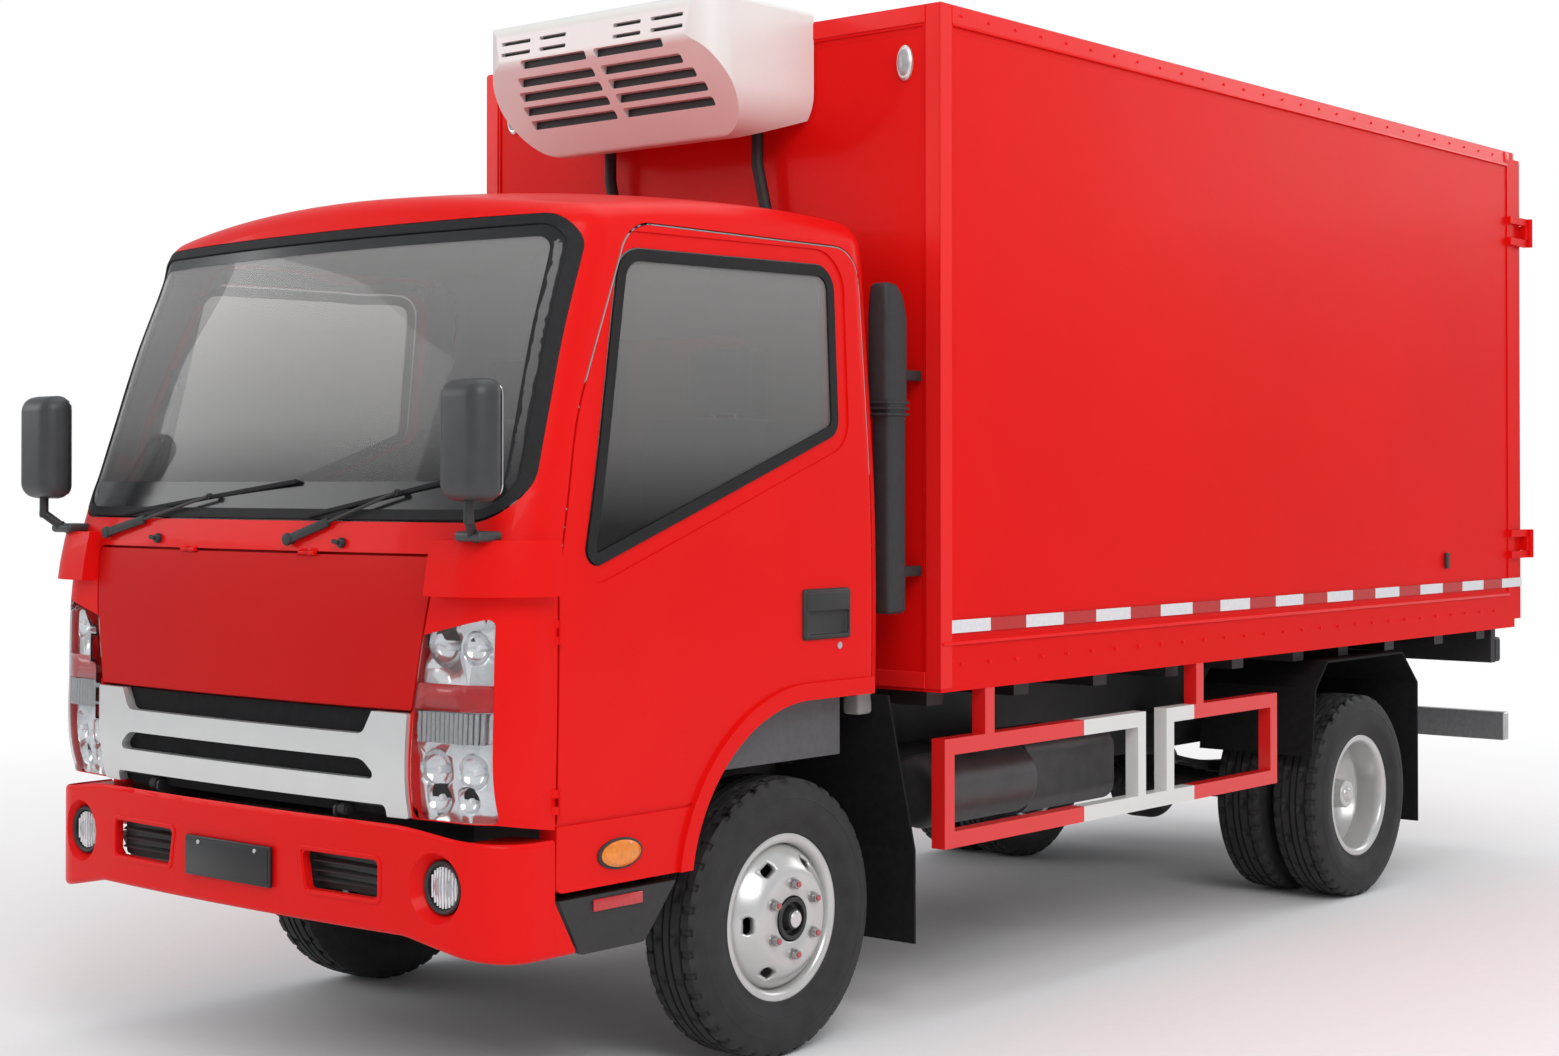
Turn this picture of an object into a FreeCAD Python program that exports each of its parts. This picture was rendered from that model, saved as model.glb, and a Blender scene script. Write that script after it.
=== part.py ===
import FreeCAD, Part
import os
from math import asin, cos, hypot, pi, radians, sin, sqrt, tan

V = FreeCAD.Vector

# Driving sizes of the whole truck, in millimetres. The truck faces -Y, its left side is +X.
# It is drawn with the front axle at y = 0 and moved at the end, so that the origin
# lies under the middle of its outer box.
LENGTH = 5995
FRONT_OVERHANG = 1155
WHEELBASE = 3308
TYRE_RADIUS = 380
TYRE_WIDTH = 200
RIM_RADIUS = 225
FRONT_WHEEL_X = 800
REAR_OUTER_X = 862
TWIN_SPACING = 235
KINGPIN_X = 700
CAB_HALF = 932
CAB_FRONT = -1140
CAB_REAR = 420
CAB_ROOF = 2385
BOX_HALF = 965
BOX_FRONT = 612
BOX_BOTTOM = 952
BOX_TOP = 2964
BOX_WALL = 80
RAIL_OUTER_X = 375
RAIL_TOP = 750
RAIL_HEIGHT = 190
MIRROR_LEAD = 48

# Clearances shared by the whole truck
SEAT_GAP = 0.3
SHUT_GAP = 7
OVERRUN = 40

REAR_TIP = LENGTH - FRONT_OVERHANG
BUMPER_FRONT = -FRONT_OVERHANG
MIDDLE_Y = (BUMPER_FRONT - MIRROR_LEAD + REAR_TIP) / 2
WHEEL_Z = TYRE_RADIUS
RAIL_BOTTOM = RAIL_TOP - RAIL_HEIGHT


# Shapes that every piece uses
def box(x0, x1, y0, y1, z0, z1):
    return Part.makeBox(x1 - x0, y1 - y0, z1 - z0, V(x0, y0, z0))


def rod(radius, start, end):
    return Part.makeCylinder(radius, (end - start).Length, start, end - start)


def mirrored(shape):
    return shape.mirror(V(0, 0, 0), V(1, 0, 0))


def both_sides(shape):
    return Part.makeCompound([shape, mirrored(shape)])


def fused(shapes):
    whole = shapes[0]
    for shape in shapes[1:]:
        whole = whole.fuse(shape)
    return whole.removeSplitter()


def along(axis, level):
    """Map a drawn point (a, b) to the plane across the axis: x gives (y, z), y (x, z), z (x, y)."""
    if axis == "x":
        return lambda p: V(level, p.x, p.y)
    if axis == "y":
        return lambda p: V(p.x, level, p.y)
    return lambda p: V(p.x, p.y, level)


def rounded_wire(corners, place):
    """Closed wire through corners (a, b) or (a, b, radius), each radius rounding its corner."""
    starts, tops, ends = [], [], []
    for i, corner in enumerate(corners):
        here = V(corner[0], corner[1], 0)
        before = V(corners[i - 1][0], corners[i - 1][1], 0) - here
        after = V(*corners[(i + 1) % len(corners)][:2], 0) - here
        radius = corner[2] if len(corner) > 2 else 0
        half = before.getAngle(after) / 2
        before.normalize()
        after.normalize()
        starts.append(here + before * (radius / tan(half)))
        ends.append(here + after * (radius / tan(half)))
        middle = before + after
        top = here
        if radius:
            middle.normalize()
            top = here + middle * (radius / sin(half) - radius)
        tops.append(top)
    edges = []
    for i, start in enumerate(starts):
        if (ends[i] - start).Length > SEAT_GAP / 2:
            edges.append(Part.Arc(place(start), place(tops[i]), place(ends[i])).toShape())
        follow = starts[(i + 1) % len(starts)]
        if (follow - ends[i]).Length > SEAT_GAP / 100:
            edges.append(Part.makeLine(place(ends[i]), place(follow)))
    return Part.Wire(edges)


def plate(axis, low, high, corners):
    """Flat piece with a rounded outline across the axis, from low to high along it."""
    face = Part.Face(rounded_wire(corners, along(axis, low)))
    step = {"x": V(high - low, 0, 0), "y": V(0, high - low, 0), "z": V(0, 0, high - low)}
    return face.extrude(step[axis])


def rectangle(a0, a1, b0, b1, radius=0):
    return [(a0, b0, radius), (a1, b0, radius), (a1, b1, radius), (a0, b1, radius)]


def turned(centre, axis, *profiles, bore=None):
    """Solid of revolution about an axis through centre from closed profiles of (axial, radial)
    corners, joined in their plane, less the bore given the same way."""
    def face(profile):
        return Part.Face(rounded_wire(profile, lambda p: centre + axis * p.x + V(0, 0, p.y)))

    section = face(profiles[0])
    for profile in profiles[1:]:
        section = section.fuse(face(profile))
    if bore:
        section = section.cut(face(bore))
    return section.removeSplitter().Faces[0].revolve(centre, axis, 360)


def bent_tube(points, radius, bend):
    """Round bar along straight runs joined by arcs of the bend radius."""
    edges, last = [], points[0]
    for before, here, after in zip(points, points[1:], points[2:]):
        back, ahead = (before - here), (after - here)
        half = back.getAngle(ahead) / 2
        back.normalize()
        ahead.normalize()
        start, end = here + back * (bend / tan(half)), here + ahead * (bend / tan(half))
        middle = back + ahead
        middle.normalize()
        edges.append(Part.makeLine(last, start))
        edges.append(Part.Arc(start, here + middle * (bend / sin(half) - bend), end).toShape())
        last = end
    edges.append(Part.makeLine(last, points[-1]))
    path = Part.Wire(edges)
    section = Part.Wire(Part.makeCircle(radius, points[0], points[1] - points[0]))
    return path.makePipeShell([section], True, True)


def export(name, shape):
    placed = shape.copy()
    placed.translate(V(0, -MIDDLE_Y, 0))
    placed.exportStep("parts/" + name + ".step")


# Cab body: plan sections lofted upwards, closed by a domed roof
CAB_BASE = 520
CAB_LOFT_TOP = 2440
CAB_CORNER = 140
CAB_REAR_CORNER = 110
CAB_FRONT_ARC = 9000
SCREEN_RAKE = 350
ROOF_ARC = 5000
ROOF_EDGE = 95
CAB_WALL = 45
DOOR_THICK = 60
# height up the loft, setback by the rake, flatness of the front arc, half-width
CAB_SECTION_SHARES = [
    (0.000, 0.050, 1.00, 0.987), (0.146, 0.014, 1.00, 0.993), (0.250, 0.000, 1.00, 0.998),
    (0.354, 0.014, 1.00, 1.000), (0.458, 0.068, 0.78, 0.998), (0.531, 0.150, 0.60, 0.993),
    (0.640, 0.325, 0.55, 0.979), (0.760, 0.530, 0.52, 0.961), (0.880, 0.755, 0.50, 0.940),
    (1.000, 1.000, 0.50, 0.917)]


def cab_section(height, setback, arc, half, inset):
    """Plan wire of the cab: bowed front, round corners, straight sides and rear."""
    front = CAB_FRONT + setback + inset
    radius, corner, side = arc - inset, CAB_CORNER - inset, half - inset
    rear, small = CAB_REAR - inset, CAB_REAR_CORNER - inset / 2
    arc_y = front + radius
    corner_y = arc_y - sqrt((radius - corner) ** 2 - (side - corner) ** 2)
    lean = V(side - corner, corner_y - arc_y, 0)
    lean.normalize()
    tangent = V(side - corner, corner_y, 0) + lean * corner
    slant = lean + V(1, 0, 0)
    slant.normalize()
    crest = V(side - corner, corner_y, 0) + slant * corner
    back = V(side - small, rear - small, 0) + V(1, 1, 0) * (small / sqrt(2))

    def at(x, y):
        return V(x, y, height)

    return Part.Wire([
        Part.Arc(at(-tangent.x, tangent.y), at(0, front), at(tangent.x, tangent.y)).toShape(),
        Part.Arc(at(tangent.x, tangent.y), at(crest.x, crest.y), at(side, corner_y)).toShape(),
        Part.makeLine(at(side, corner_y), at(side, rear - small)),
        Part.Arc(at(side, rear - small), at(back.x, back.y), at(side - small, rear)).toShape(),
        Part.makeLine(at(side - small, rear), at(small - side, rear)),
        Part.Arc(at(small - side, rear), at(-back.x, back.y), at(-side, rear - small)).toShape(),
        Part.makeLine(at(-side, rear - small), at(-side, corner_y)),
        Part.Arc(at(-side, corner_y), at(-crest.x, crest.y), at(-tangent.x, tangent.y)).toShape()])


CAB_BODIES = {}


def cab_body(inset):
    """Solid cab outline, drawn in by inset on every face but the bottom."""
    if inset in CAB_BODIES:
        return CAB_BODIES[inset]
    wires = []
    for height, setback, flat, half in CAB_SECTION_SHARES:
        level = CAB_BASE + height * (CAB_LOFT_TOP - CAB_BASE)
        wires.append(cab_section(level, setback * SCREEN_RAKE, flat * CAB_FRONT_ARC,
                                 half * CAB_HALF, inset))
    loft = Part.makeLoft(wires, True, False)
    dome = Part.makeSphere(ROOF_ARC - inset)
    dome.rotate(V(0, 0, 0), V(0, 1, 0), 90)
    dome.rotate(V(0, 0, 0), V(1, 0, 0), 90)
    dome.translate(V(0, 0, CAB_ROOF - ROOF_ARC))
    body = loft.common(dome)
    top = [face for face in body.Faces if isinstance(face.Surface, Part.Sphere)][0]
    CAB_BODIES[inset] = body.makeFillet(ROOF_EDGE - max(inset, 0), top.Edges)
    return CAB_BODIES[inset]


def cab_skin(outer, inner, *outlines):
    """Slice of the cab wall between two insets, within the outlines."""
    piece = cab_body(outer)
    for outline in outlines:
        piece = piece.common(outline)
    return piece.cut(cab_body(inner))


# Outlines on the cab: the side line, wheel arch, door, side window, screen, lid and lamps
FRONT_HEM = 745
CORNER_HEM = 722
HEM_BREAK_Y = -1050
SHELL_LOW = 800
ARCH_RADIUS = 470
ARCH_Y = 50
ARCH_Z = 500
DOOR_FRONT = -895
DOOR_REAR = 330
DOOR_BOTTOM = 565
DOOR_TOP = 2222
WINDOW_GAP = 0.4
SIDE_WINDOW = [(-816, 1335, 40), (205, 1700, 60), (222, 2172, 70), (-640, 2160, 95)]


def grown(corners, by):
    """The same rounded outline, moved outwards by a distance on every side."""
    wire = rounded_wire(corners, along("z", 0))
    return wire.makeOffset2D(by)


def prism_x(wire, low, high):
    """Stand a wire drawn in (y, z) across the truck and fill it from low to high in x."""
    face = Part.Face(wire.copy())
    face.rotate(V(0, 0, 0), V(1, 1, 1), 120)
    face.translate(V(low, 0, 0))
    return face.extrude(V(high - low, 0, 0))


def prism_y(wire, low, high):
    """Stand a wire drawn in (x, z) along the truck and fill it from low to high in y."""
    face = Part.Face(wire.copy())
    face.rotate(V(0, 0, 0), V(1, 0, 0), 90)
    face.translate(V(0, low, 0))
    return face.extrude(V(0, high - low, 0))


def arch_solid(radius, low, high):
    """Space of the wheel arch: a round front and a flat top running back."""
    round_part = rod(radius, V(low, ARCH_Y, ARCH_Z), V(high, ARCH_Y, ARCH_Z))
    reach = CAB_REAR + ARCH_RADIUS
    flat = box(low, high, ARCH_Y, reach, ARCH_Z - radius, ARCH_Z + radius)
    under = box(low, high, ARCH_Y - radius, reach, ARCH_Z - 2 * radius, ARCH_Z)
    return fused([round_part, flat, under])


def door_outline(by):
    """Door outline in (y, z) without its arch, moved outwards by a gap."""
    span, rake = DOOR_TOP - DOOR_BOTTOM, DOOR_REAR - DOOR_FRONT
    front = [(DOOR_FRONT + back * rake, DOOR_BOTTOM + up * span, bend * span)
             for up, back, bend in DOOR_FRONT_SHARES]
    corners = [(DOOR_FRONT, DOOR_BOTTOM, DOOR_LOW_CORNER), (DOOR_REAR, DOOR_BOTTOM),
               (DOOR_REAR, DOOR_TOP, DOOR_TOP_CORNER)] + front
    return grown(corners, by)


def hinge(centre, axis, leaf, middle):
    """One part of a pinned hinge: the middle knuckle, or the two outer ones with the pin.
    leaf is the vector from the axis into the piece that carries it."""
    spans = [(-HINGE_LONG / 2, HINGE_LONG / 2)] if middle else [
        (-1.5 * HINGE_LONG, -HINGE_LONG / 2 - SEAT_GAP), (HINGE_LONG / 2 + SEAT_GAP, 1.5 * HINGE_LONG)]
    across = leaf.cross(axis)
    across.normalize()
    pieces = []
    for low, high in spans:
        start = centre + axis * low
        pieces.append(rod(HINGE_RADIUS, start, centre + axis * high))
        half = across * (HINGE_RADIUS / 2)
        face = Part.Face(Part.makePolygon([start + half, start + half + leaf, start - half + leaf,
                                           start - half, start + half]))
        pieces.append(face.extrude(axis * (high - low)))
    ends = [centre + axis * (side * 2 * HINGE_LONG) for side in (-1, 1)]
    if middle:
        return fused(pieces).cut(rod(HINGE_PIN + PIN_GAP, *ends))
    pin = rod(HINGE_PIN, centre - axis * 1.5 * HINGE_LONG, centre + axis * 1.5 * HINGE_LONG)
    return fused(pieces + [pin])


# Shell of the cab
SCREEN_BOTTOM = 1465
SCREEN_TOP = 2238
SCREEN_LOW_HALF = 912
SCREEN_TOP_HALF = 862
SCREEN_LOW_CORNER = 115
SCREEN_TOP_CORNER = 95
SCREEN_OUTLINE = [(-SCREEN_LOW_HALF, SCREEN_BOTTOM, SCREEN_LOW_CORNER),
                  (SCREEN_LOW_HALF, SCREEN_BOTTOM, SCREEN_LOW_CORNER),
                  (SCREEN_TOP_HALF, SCREEN_TOP, SCREEN_TOP_CORNER),
                  (-SCREEN_TOP_HALF, SCREEN_TOP, SCREEN_TOP_CORNER)]
SCREEN_SET_IN = 6
GLASS_THICK = 6
BACK_GLASS = rectangle(-420, 420, 1560, 2010, 70)
HINGE_RADIUS = 6
HINGE_PIN = 3
HINGE_LONG = 20
HINGE_BITE = 16
HINGE_RELIEF = 3
DOOR_HINGE_X = CAB_HALF + HINGE_RADIUS
DOOR_HINGE_Y = DOOR_FRONT - 2
DOOR_HINGE_Z = [790, 1200]
LID_HINGE_X = 250
LID_HINGE_Y = -1119
LID_HINGE_Z = 1385.5
LID_TOP = 1382
LID_BOTTOM = 1010
LID_TOP_HALF = 705
LID_MIDDLE_HALF = 683
LID_BOTTOM_HALF = 646
LID_MIDDLE_Z = 1230
LID_THICK = 20
LID_OUTLINE = [(-LID_BOTTOM_HALF, LID_BOTTOM, 8), (LID_BOTTOM_HALF, LID_BOTTOM, 8),
               (LID_MIDDLE_HALF, LID_MIDDLE_Z, 700), (LID_TOP_HALF, LID_TOP, 12),
               (-LID_TOP_HALF, LID_TOP, 12), (-LID_MIDDLE_HALF, LID_MIDDLE_Z, 700)]
GRILLE_TOP = 1003
GRILLE_HALF_TOP = 645
GRILLE_HALF_LOW = 634
GRILLE_LOW = 745
LAMP_OUTLINE = [(664, 1190, 16), (886, 1240, 16), (884, 748, 16), (640, 748, 16)]
LAMP_DEPTH = CAB_WALL - 1
MIRROR_BLOCK_Z = 1290
MIRROR_BLOCK_HIGH = 135
MIRROR_BLOCK_OUT = 42
MIRROR_BLOCK_INNER_X = 715
MIRROR_BLOCK_REAR_Y = -925


def cab_shell():
    """Roof, pillars, rear wall, front wall and corners, with every opening cut."""
    wall = cab_body(0).cut(cab_body(CAB_WALL))
    far_front, far_rear = CAB_FRONT - OVERRUN, CAB_REAR + OVERRUN
    side = [(far_front, FRONT_HEM), (HEM_BREAK_Y, FRONT_HEM), (DOOR_FRONT - SHUT_GAP, CORNER_HEM),
            (DOOR_FRONT - SHUT_GAP, SHELL_LOW), (far_rear, SHELL_LOW),
            (far_rear, CAB_LOFT_TOP), (far_front, CAB_LOFT_TOP)]
    wall = wall.common(plate("x", -CAB_HALF - OVERRUN, CAB_HALF + OVERRUN, side))
    wall = wall.cut(arch_solid(ARCH_RADIUS, -CAB_HALF - OVERRUN, CAB_HALF + OVERRUN))
    block_low = cab_body(-MIRROR_BLOCK_OUT).cut(cab_body(CAB_WALL / 2))
    block = box(MIRROR_BLOCK_INNER_X, CAB_HALF + 2 * MIRROR_BLOCK_OUT, far_front - OVERRUN,
                MIRROR_BLOCK_REAR_Y, MIRROR_BLOCK_Z, MIRROR_BLOCK_Z + MIRROR_BLOCK_HIGH)
    block = block_low.common(block)
    wall = fused([wall, block, mirrored(block)])
    door_hole = prism_x(door_outline(SHUT_GAP), CAB_HALF - 4 * CAB_WALL, CAB_HALF + OVERRUN)
    cuts = [door_hole, mirrored(door_hole)]
    cuts.append(plate("y", far_front - OVERRUN, -CAB_HALF / 2, SCREEN_OUTLINE))
    cuts.append(plate("y", CAB_REAR - 2 * CAB_WALL, far_rear, BACK_GLASS))
    lid_bed = cab_body(LID_THICK + SHUT_GAP)
    lid_hole = prism_y(grown(LID_OUTLINE, SHUT_GAP), far_front, -CAB_HALF / 2)
    cuts.append(lid_hole.cut(lid_bed))
    cuts.append(plate("y", far_front, -CAB_HALF, [
        (-GRILLE_HALF_LOW, FRONT_HEM - OVERRUN), (GRILLE_HALF_LOW, FRONT_HEM - OVERRUN),
        (GRILLE_HALF_LOW, FRONT_HEM), (GRILLE_HALF_TOP, GRILLE_TOP), (-GRILLE_HALF_TOP, GRILLE_TOP),
        (-GRILLE_HALF_LOW, FRONT_HEM)]))
    lamp = plate("y", far_front, -CAB_HALF, LAMP_OUTLINE)
    cuts += [lamp, mirrored(lamp)]
    for cut in cuts:
        wall = wall.cut(cut)
    knuckles = [hinge(V(DOOR_HINGE_X, DOOR_HINGE_Y, z), V(0, 0, 1), V(-HINGE_BITE, -HINGE_BITE, 0), False)
                for z in DOOR_HINGE_Z]
    knuckles.append(hinge(V(LID_HINGE_X, LID_HINGE_Y, LID_HINGE_Z), V(1, 0, 0),
                          V(0, HINGE_BITE, HINGE_BITE), False))
    return fused([wall] + knuckles + [mirrored(piece) for piece in knuckles])


def cab_glass():
    """Bent windscreen and the small rear window, each with its edge close to the opening."""
    front = prism_y(grown(SCREEN_OUTLINE, -WINDOW_GAP), CAB_FRONT - OVERRUN, -CAB_HALF / 2)
    rear = prism_y(grown(BACK_GLASS, -WINDOW_GAP), CAB_REAR - 2 * CAB_WALL, CAB_REAR + OVERRUN)
    return Part.makeCompound([cab_skin(SCREEN_SET_IN, SCREEN_SET_IN + GLASS_THICK, edge)
                              for edge in (front, rear)])


def front_lid():
    """Service lid between the screen and the grille, on two hinge knuckles."""
    panel = cab_skin(0, LID_THICK, plate("y", CAB_FRONT - OVERRUN, -CAB_HALF / 2, LID_OUTLINE))
    relief = rod(HINGE_RADIUS + HINGE_RELIEF, V(LID_HINGE_X - 2 * HINGE_LONG, LID_HINGE_Y, LID_HINGE_Z),
                 V(LID_HINGE_X + 2 * HINGE_LONG, LID_HINGE_Y, LID_HINGE_Z))
    panel = panel.cut(relief).cut(mirrored(relief))
    knuckle_eye = hinge(V(LID_HINGE_X, LID_HINGE_Y, LID_HINGE_Z), V(1, 0, 0),
                        V(0, HINGE_BITE, -HINGE_BITE), True)
    return fused([panel, knuckle_eye, mirrored(knuckle_eye)])


def grille():
    """Bright bars: two cheeks joined by an upper and a lower bar with curved slots."""
    outline = [(-GRILLE_HALF_LOW, GRILLE_LOW, 10), (GRILLE_HALF_LOW, GRILLE_LOW, 10),
               (GRILLE_HALF_TOP, GRILLE_TOP, 6), (-GRILLE_HALF_TOP, GRILLE_TOP, 6)]
    frame = prism_y(grown(outline, -WINDOW_GAP), CAB_FRONT - OVERRUN, CAB_FRONT + 2 * OVERRUN)
    top_slot = [(-GRILLE_SLOT_LOW, GRILLE_BAR_TOP, 30), (GRILLE_SLOT_LOW, GRILLE_BAR_TOP, 30),
                (GRILLE_SLOT_TOP, GRILLE_TOP + OVERRUN), (-GRILLE_SLOT_TOP, GRILLE_TOP + OVERRUN)]
    lower_slot = [(-GRILLE_SLOT_TOP, GRILLE_LOWER_TOP, 12), (GRILLE_SLOT_TOP, GRILLE_LOWER_TOP, 12),
                  (GRILLE_SLOT_LOW, GRILLE_BAR_LOW, 60), (-GRILLE_SLOT_LOW, GRILLE_BAR_LOW, 60)]
    under = [(-GRILLE_FOOT, GRILLE_LOW - OVERRUN), (GRILLE_FOOT, GRILLE_LOW - OVERRUN),
             (GRILLE_FOOT, GRILLE_LOWER_LOW, 14), (-GRILLE_FOOT, GRILLE_LOWER_LOW, 14)]
    for slot in (top_slot, lower_slot, under):
        frame = frame.cut(plate("y", CAB_FRONT - 2 * OVERRUN, CAB_FRONT + 3 * OVERRUN, slot))
    return frame.common(cab_body(-GRILLE_PROUD)).cut(cab_body(GRILLE_DEEP))


GRILLE_PROUD = 12
GRILLE_DEEP = 14
GRILLE_SLOT_LOW = 490
GRILLE_SLOT_TOP = 545
GRILLE_BAR_TOP = 945
GRILLE_BAR_LOW = 885
GRILLE_LOWER_TOP = 836
GRILLE_LOWER_LOW = 775
GRILLE_FOOT = 560


def grille_backing():
    """Black panel behind the bars, with level ribs."""
    wide = GRILLE_HALF_LOW - WINDOW_GAP
    slab = box(-wide, wide, CAB_FRONT - OVERRUN, -CAB_HALF, FRONT_HEM, GRILLE_TOP - WINDOW_GAP)
    notch = box(EAR_X - EAR_THICK, EAR_X + EAR_THICK + EAR_NOTCH_SPARE, CAB_FRONT - OVERRUN, -CAB_HALF,
                FRONT_HEM - OVERRUN, TILT_Z + EAR_RADIUS + EAR_NOTCH_SPARE)
    return cab_skin(GRILLE_DEEP + SEAT_GAP, CAB_WALL, slab).cut(notch).cut(mirrored(notch))


def headlamps():
    """Lamp units that fill the corner pockets, one each side."""
    edge = prism_y(grown(LAMP_OUTLINE, -WINDOW_GAP), CAB_FRONT - OVERRUN, -CAB_HALF)
    lid_room = prism_y(grown(LID_OUTLINE, SHUT_GAP), CAB_FRONT - OVERRUN, -CAB_HALF)
    return both_sides(cab_skin(0, LAMP_DEPTH, edge).cut(lid_room))


# Doors of the cab
DOOR_FRONT_SHARES = [(1.0, 0.245, 0.075), (0.70, 0.062, 0.5), (0.46, 0.0, 0.25)]
DOOR_LOW_CORNER = 25
DOOR_TOP_CORNER = 95
ARCH_LIP = 12
ARCH_LIP_WIDE = 46
SILL_LIP = 10
HANDLE_POCKET = [(22, 1132, 14), (226, 1132, 14), (226, 1272, 14), (22, 1272, 14)]
HANDLE_DEPTH = 22
LEDGE_WIDE = 42
LEDGE_DEEP = 5
CREASE_Z = 728
CREASE_WIDE = 8
CREASE_DEEP = 5


def door():
    """Left cab door: thick shell with the arch, the window and the handle pocket cut."""
    outline = prism_x(door_outline(0), CAB_HALF / 2, CAB_HALF + 2 * OVERRUN)
    panel = cab_skin(0, DOOR_THICK, outline)
    ledge = prism_x(grown(SIDE_WINDOW, LEDGE_WIDE), CAB_HALF / 2, CAB_HALF + OVERRUN)
    panel = panel.cut(ledge.cut(cab_body(LEDGE_DEEP)))
    crease = box(CAB_HALF / 2, CAB_HALF + OVERRUN, DOOR_FRONT, ARCH_Y, CREASE_Z, CREASE_Z + CREASE_WIDE)
    panel = panel.cut(crease.cut(cab_body(CREASE_DEEP)))
    lip = arch_solid(ARCH_RADIUS + ARCH_LIP_WIDE, CAB_HALF / 2, CAB_HALF + OVERRUN)
    lip = cab_skin(-ARCH_LIP, DOOR_THICK / 2, outline, lip)
    panel = panel.fuse(lip).cut(arch_solid(ARCH_RADIUS, CAB_HALF / 2, CAB_HALF + 2 * OVERRUN))
    panel = panel.cut(plate("x", CAB_HALF / 2, CAB_HALF + OVERRUN, SIDE_WINDOW))
    pocket = plate("x", CAB_HALF / 2, CAB_HALF + OVERRUN, HANDLE_POCKET)
    panel = panel.cut(pocket.cut(cab_body(HANDLE_DEPTH)))
    knuckles = [hinge(V(DOOR_HINGE_X, DOOR_HINGE_Y, z), V(0, 0, 1), V(-HINGE_BITE, HINGE_BITE, 0), True)
                for z in DOOR_HINGE_Z]
    return fused([panel] + knuckles)


def door_glass():
    edge = prism_x(grown(SIDE_WINDOW, -WINDOW_GAP), CAB_HALF / 2, CAB_HALF + OVERRUN)
    return cab_skin(SCREEN_SET_IN, SCREEN_SET_IN + GLASS_THICK, edge)


def door_handle():
    edge = prism_x(grown(HANDLE_POCKET, -WINDOW_GAP), CAB_HALF / 2, CAB_HALF + OVERRUN)
    return cab_skin(-SCREEN_SET_IN, HANDLE_DEPTH - SEAT_GAP, edge)


# Inside of the cab: floor, steps, arch liners, dashboard, seats and steering wheel
FLOOR_THICK = 30
FLOOR_FRONT = CAB_FRONT + 2 * CAB_WALL
FOOT_TOP = SHELL_LOW + FLOOR_THICK
SEAT_DECK = 1015
SEAT_RISER_Y = -455
DOOR_CLEAR = 20
DOOR_SILL_HALF = CAB_HALF - DOOR_THICK - DOOR_CLEAR
EAR_X = 384
EAR_THICK = 24
EAR_RADIUS = 15
EAR_NOTCH_SPARE = 12
EAR_ROOT_Y = -1000
EAR_RISE_Y = -1065
TILT_Y = -1115
TILT_Z = 750
TILT_PIN = 11
PIN_GAP = 0.1


def door_room():
    """Room that both doors take up inside the cab, with some air round them."""
    room = prism_x(door_outline(SHUT_GAP), CAB_HALF / 2, CAB_HALF + OVERRUN)
    return both_sides(room.cut(cab_body(DOOR_THICK + SHUT_GAP)))


def cab_floor():
    """Folded floor with a raised seat deck, and the two tilt ears under its front."""
    inner = cab_body(CAB_WALL + SEAT_GAP)
    profile = [(FLOOR_FRONT - OVERRUN, SHELL_LOW), (SEAT_RISER_Y, SHELL_LOW),
               (SEAT_RISER_Y, SEAT_DECK - FLOOR_THICK), (CAB_REAR, SEAT_DECK - FLOOR_THICK),
               (CAB_REAR, SEAT_DECK), (SEAT_RISER_Y - FLOOR_THICK, SEAT_DECK),
               (SEAT_RISER_Y - FLOOR_THICK, FOOT_TOP), (FLOOR_FRONT - OVERRUN, FOOT_TOP)]
    floor = plate("x", -DOOR_SILL_HALF, DOOR_SILL_HALF, profile).common(inner).cut(door_room())
    ear = plate("x", EAR_X, EAR_X + EAR_THICK, [
        (TILT_Y - EAR_RADIUS, TILT_Z - EAR_RADIUS, EAR_RADIUS - 1),
        (EAR_RISE_Y + EAR_RADIUS, TILT_Z - EAR_RADIUS, EAR_RADIUS), (EAR_ROOT_Y, SHELL_LOW),
        (EAR_RISE_Y + EAR_RADIUS, SHELL_LOW), (EAR_RISE_Y, TILT_Z + EAR_RADIUS),
        (TILT_Y - EAR_RADIUS, TILT_Z + EAR_RADIUS, EAR_RADIUS - 1)])
    hole = rod(TILT_PIN + PIN_GAP, V(EAR_X - EAR_RADIUS, TILT_Y, TILT_Z),
               V(EAR_X + 2 * EAR_THICK, TILT_Y, TILT_Z))
    ear = ear.cut(hole)
    return fused([floor, ear, mirrored(ear)])


STEP_INNER_X = 610
STEP_OUTER_X = 915
STEP_TREAD = 545
STEP_LOW = 405
STEP_SKIN = 12
STEP_FRONT_TOP_Y = -880
STEP_FRONT_LOW_Y = -808
STEP_REAR_TOP_Y = -462
STEP_REAR_LOW_Y = -580


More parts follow.
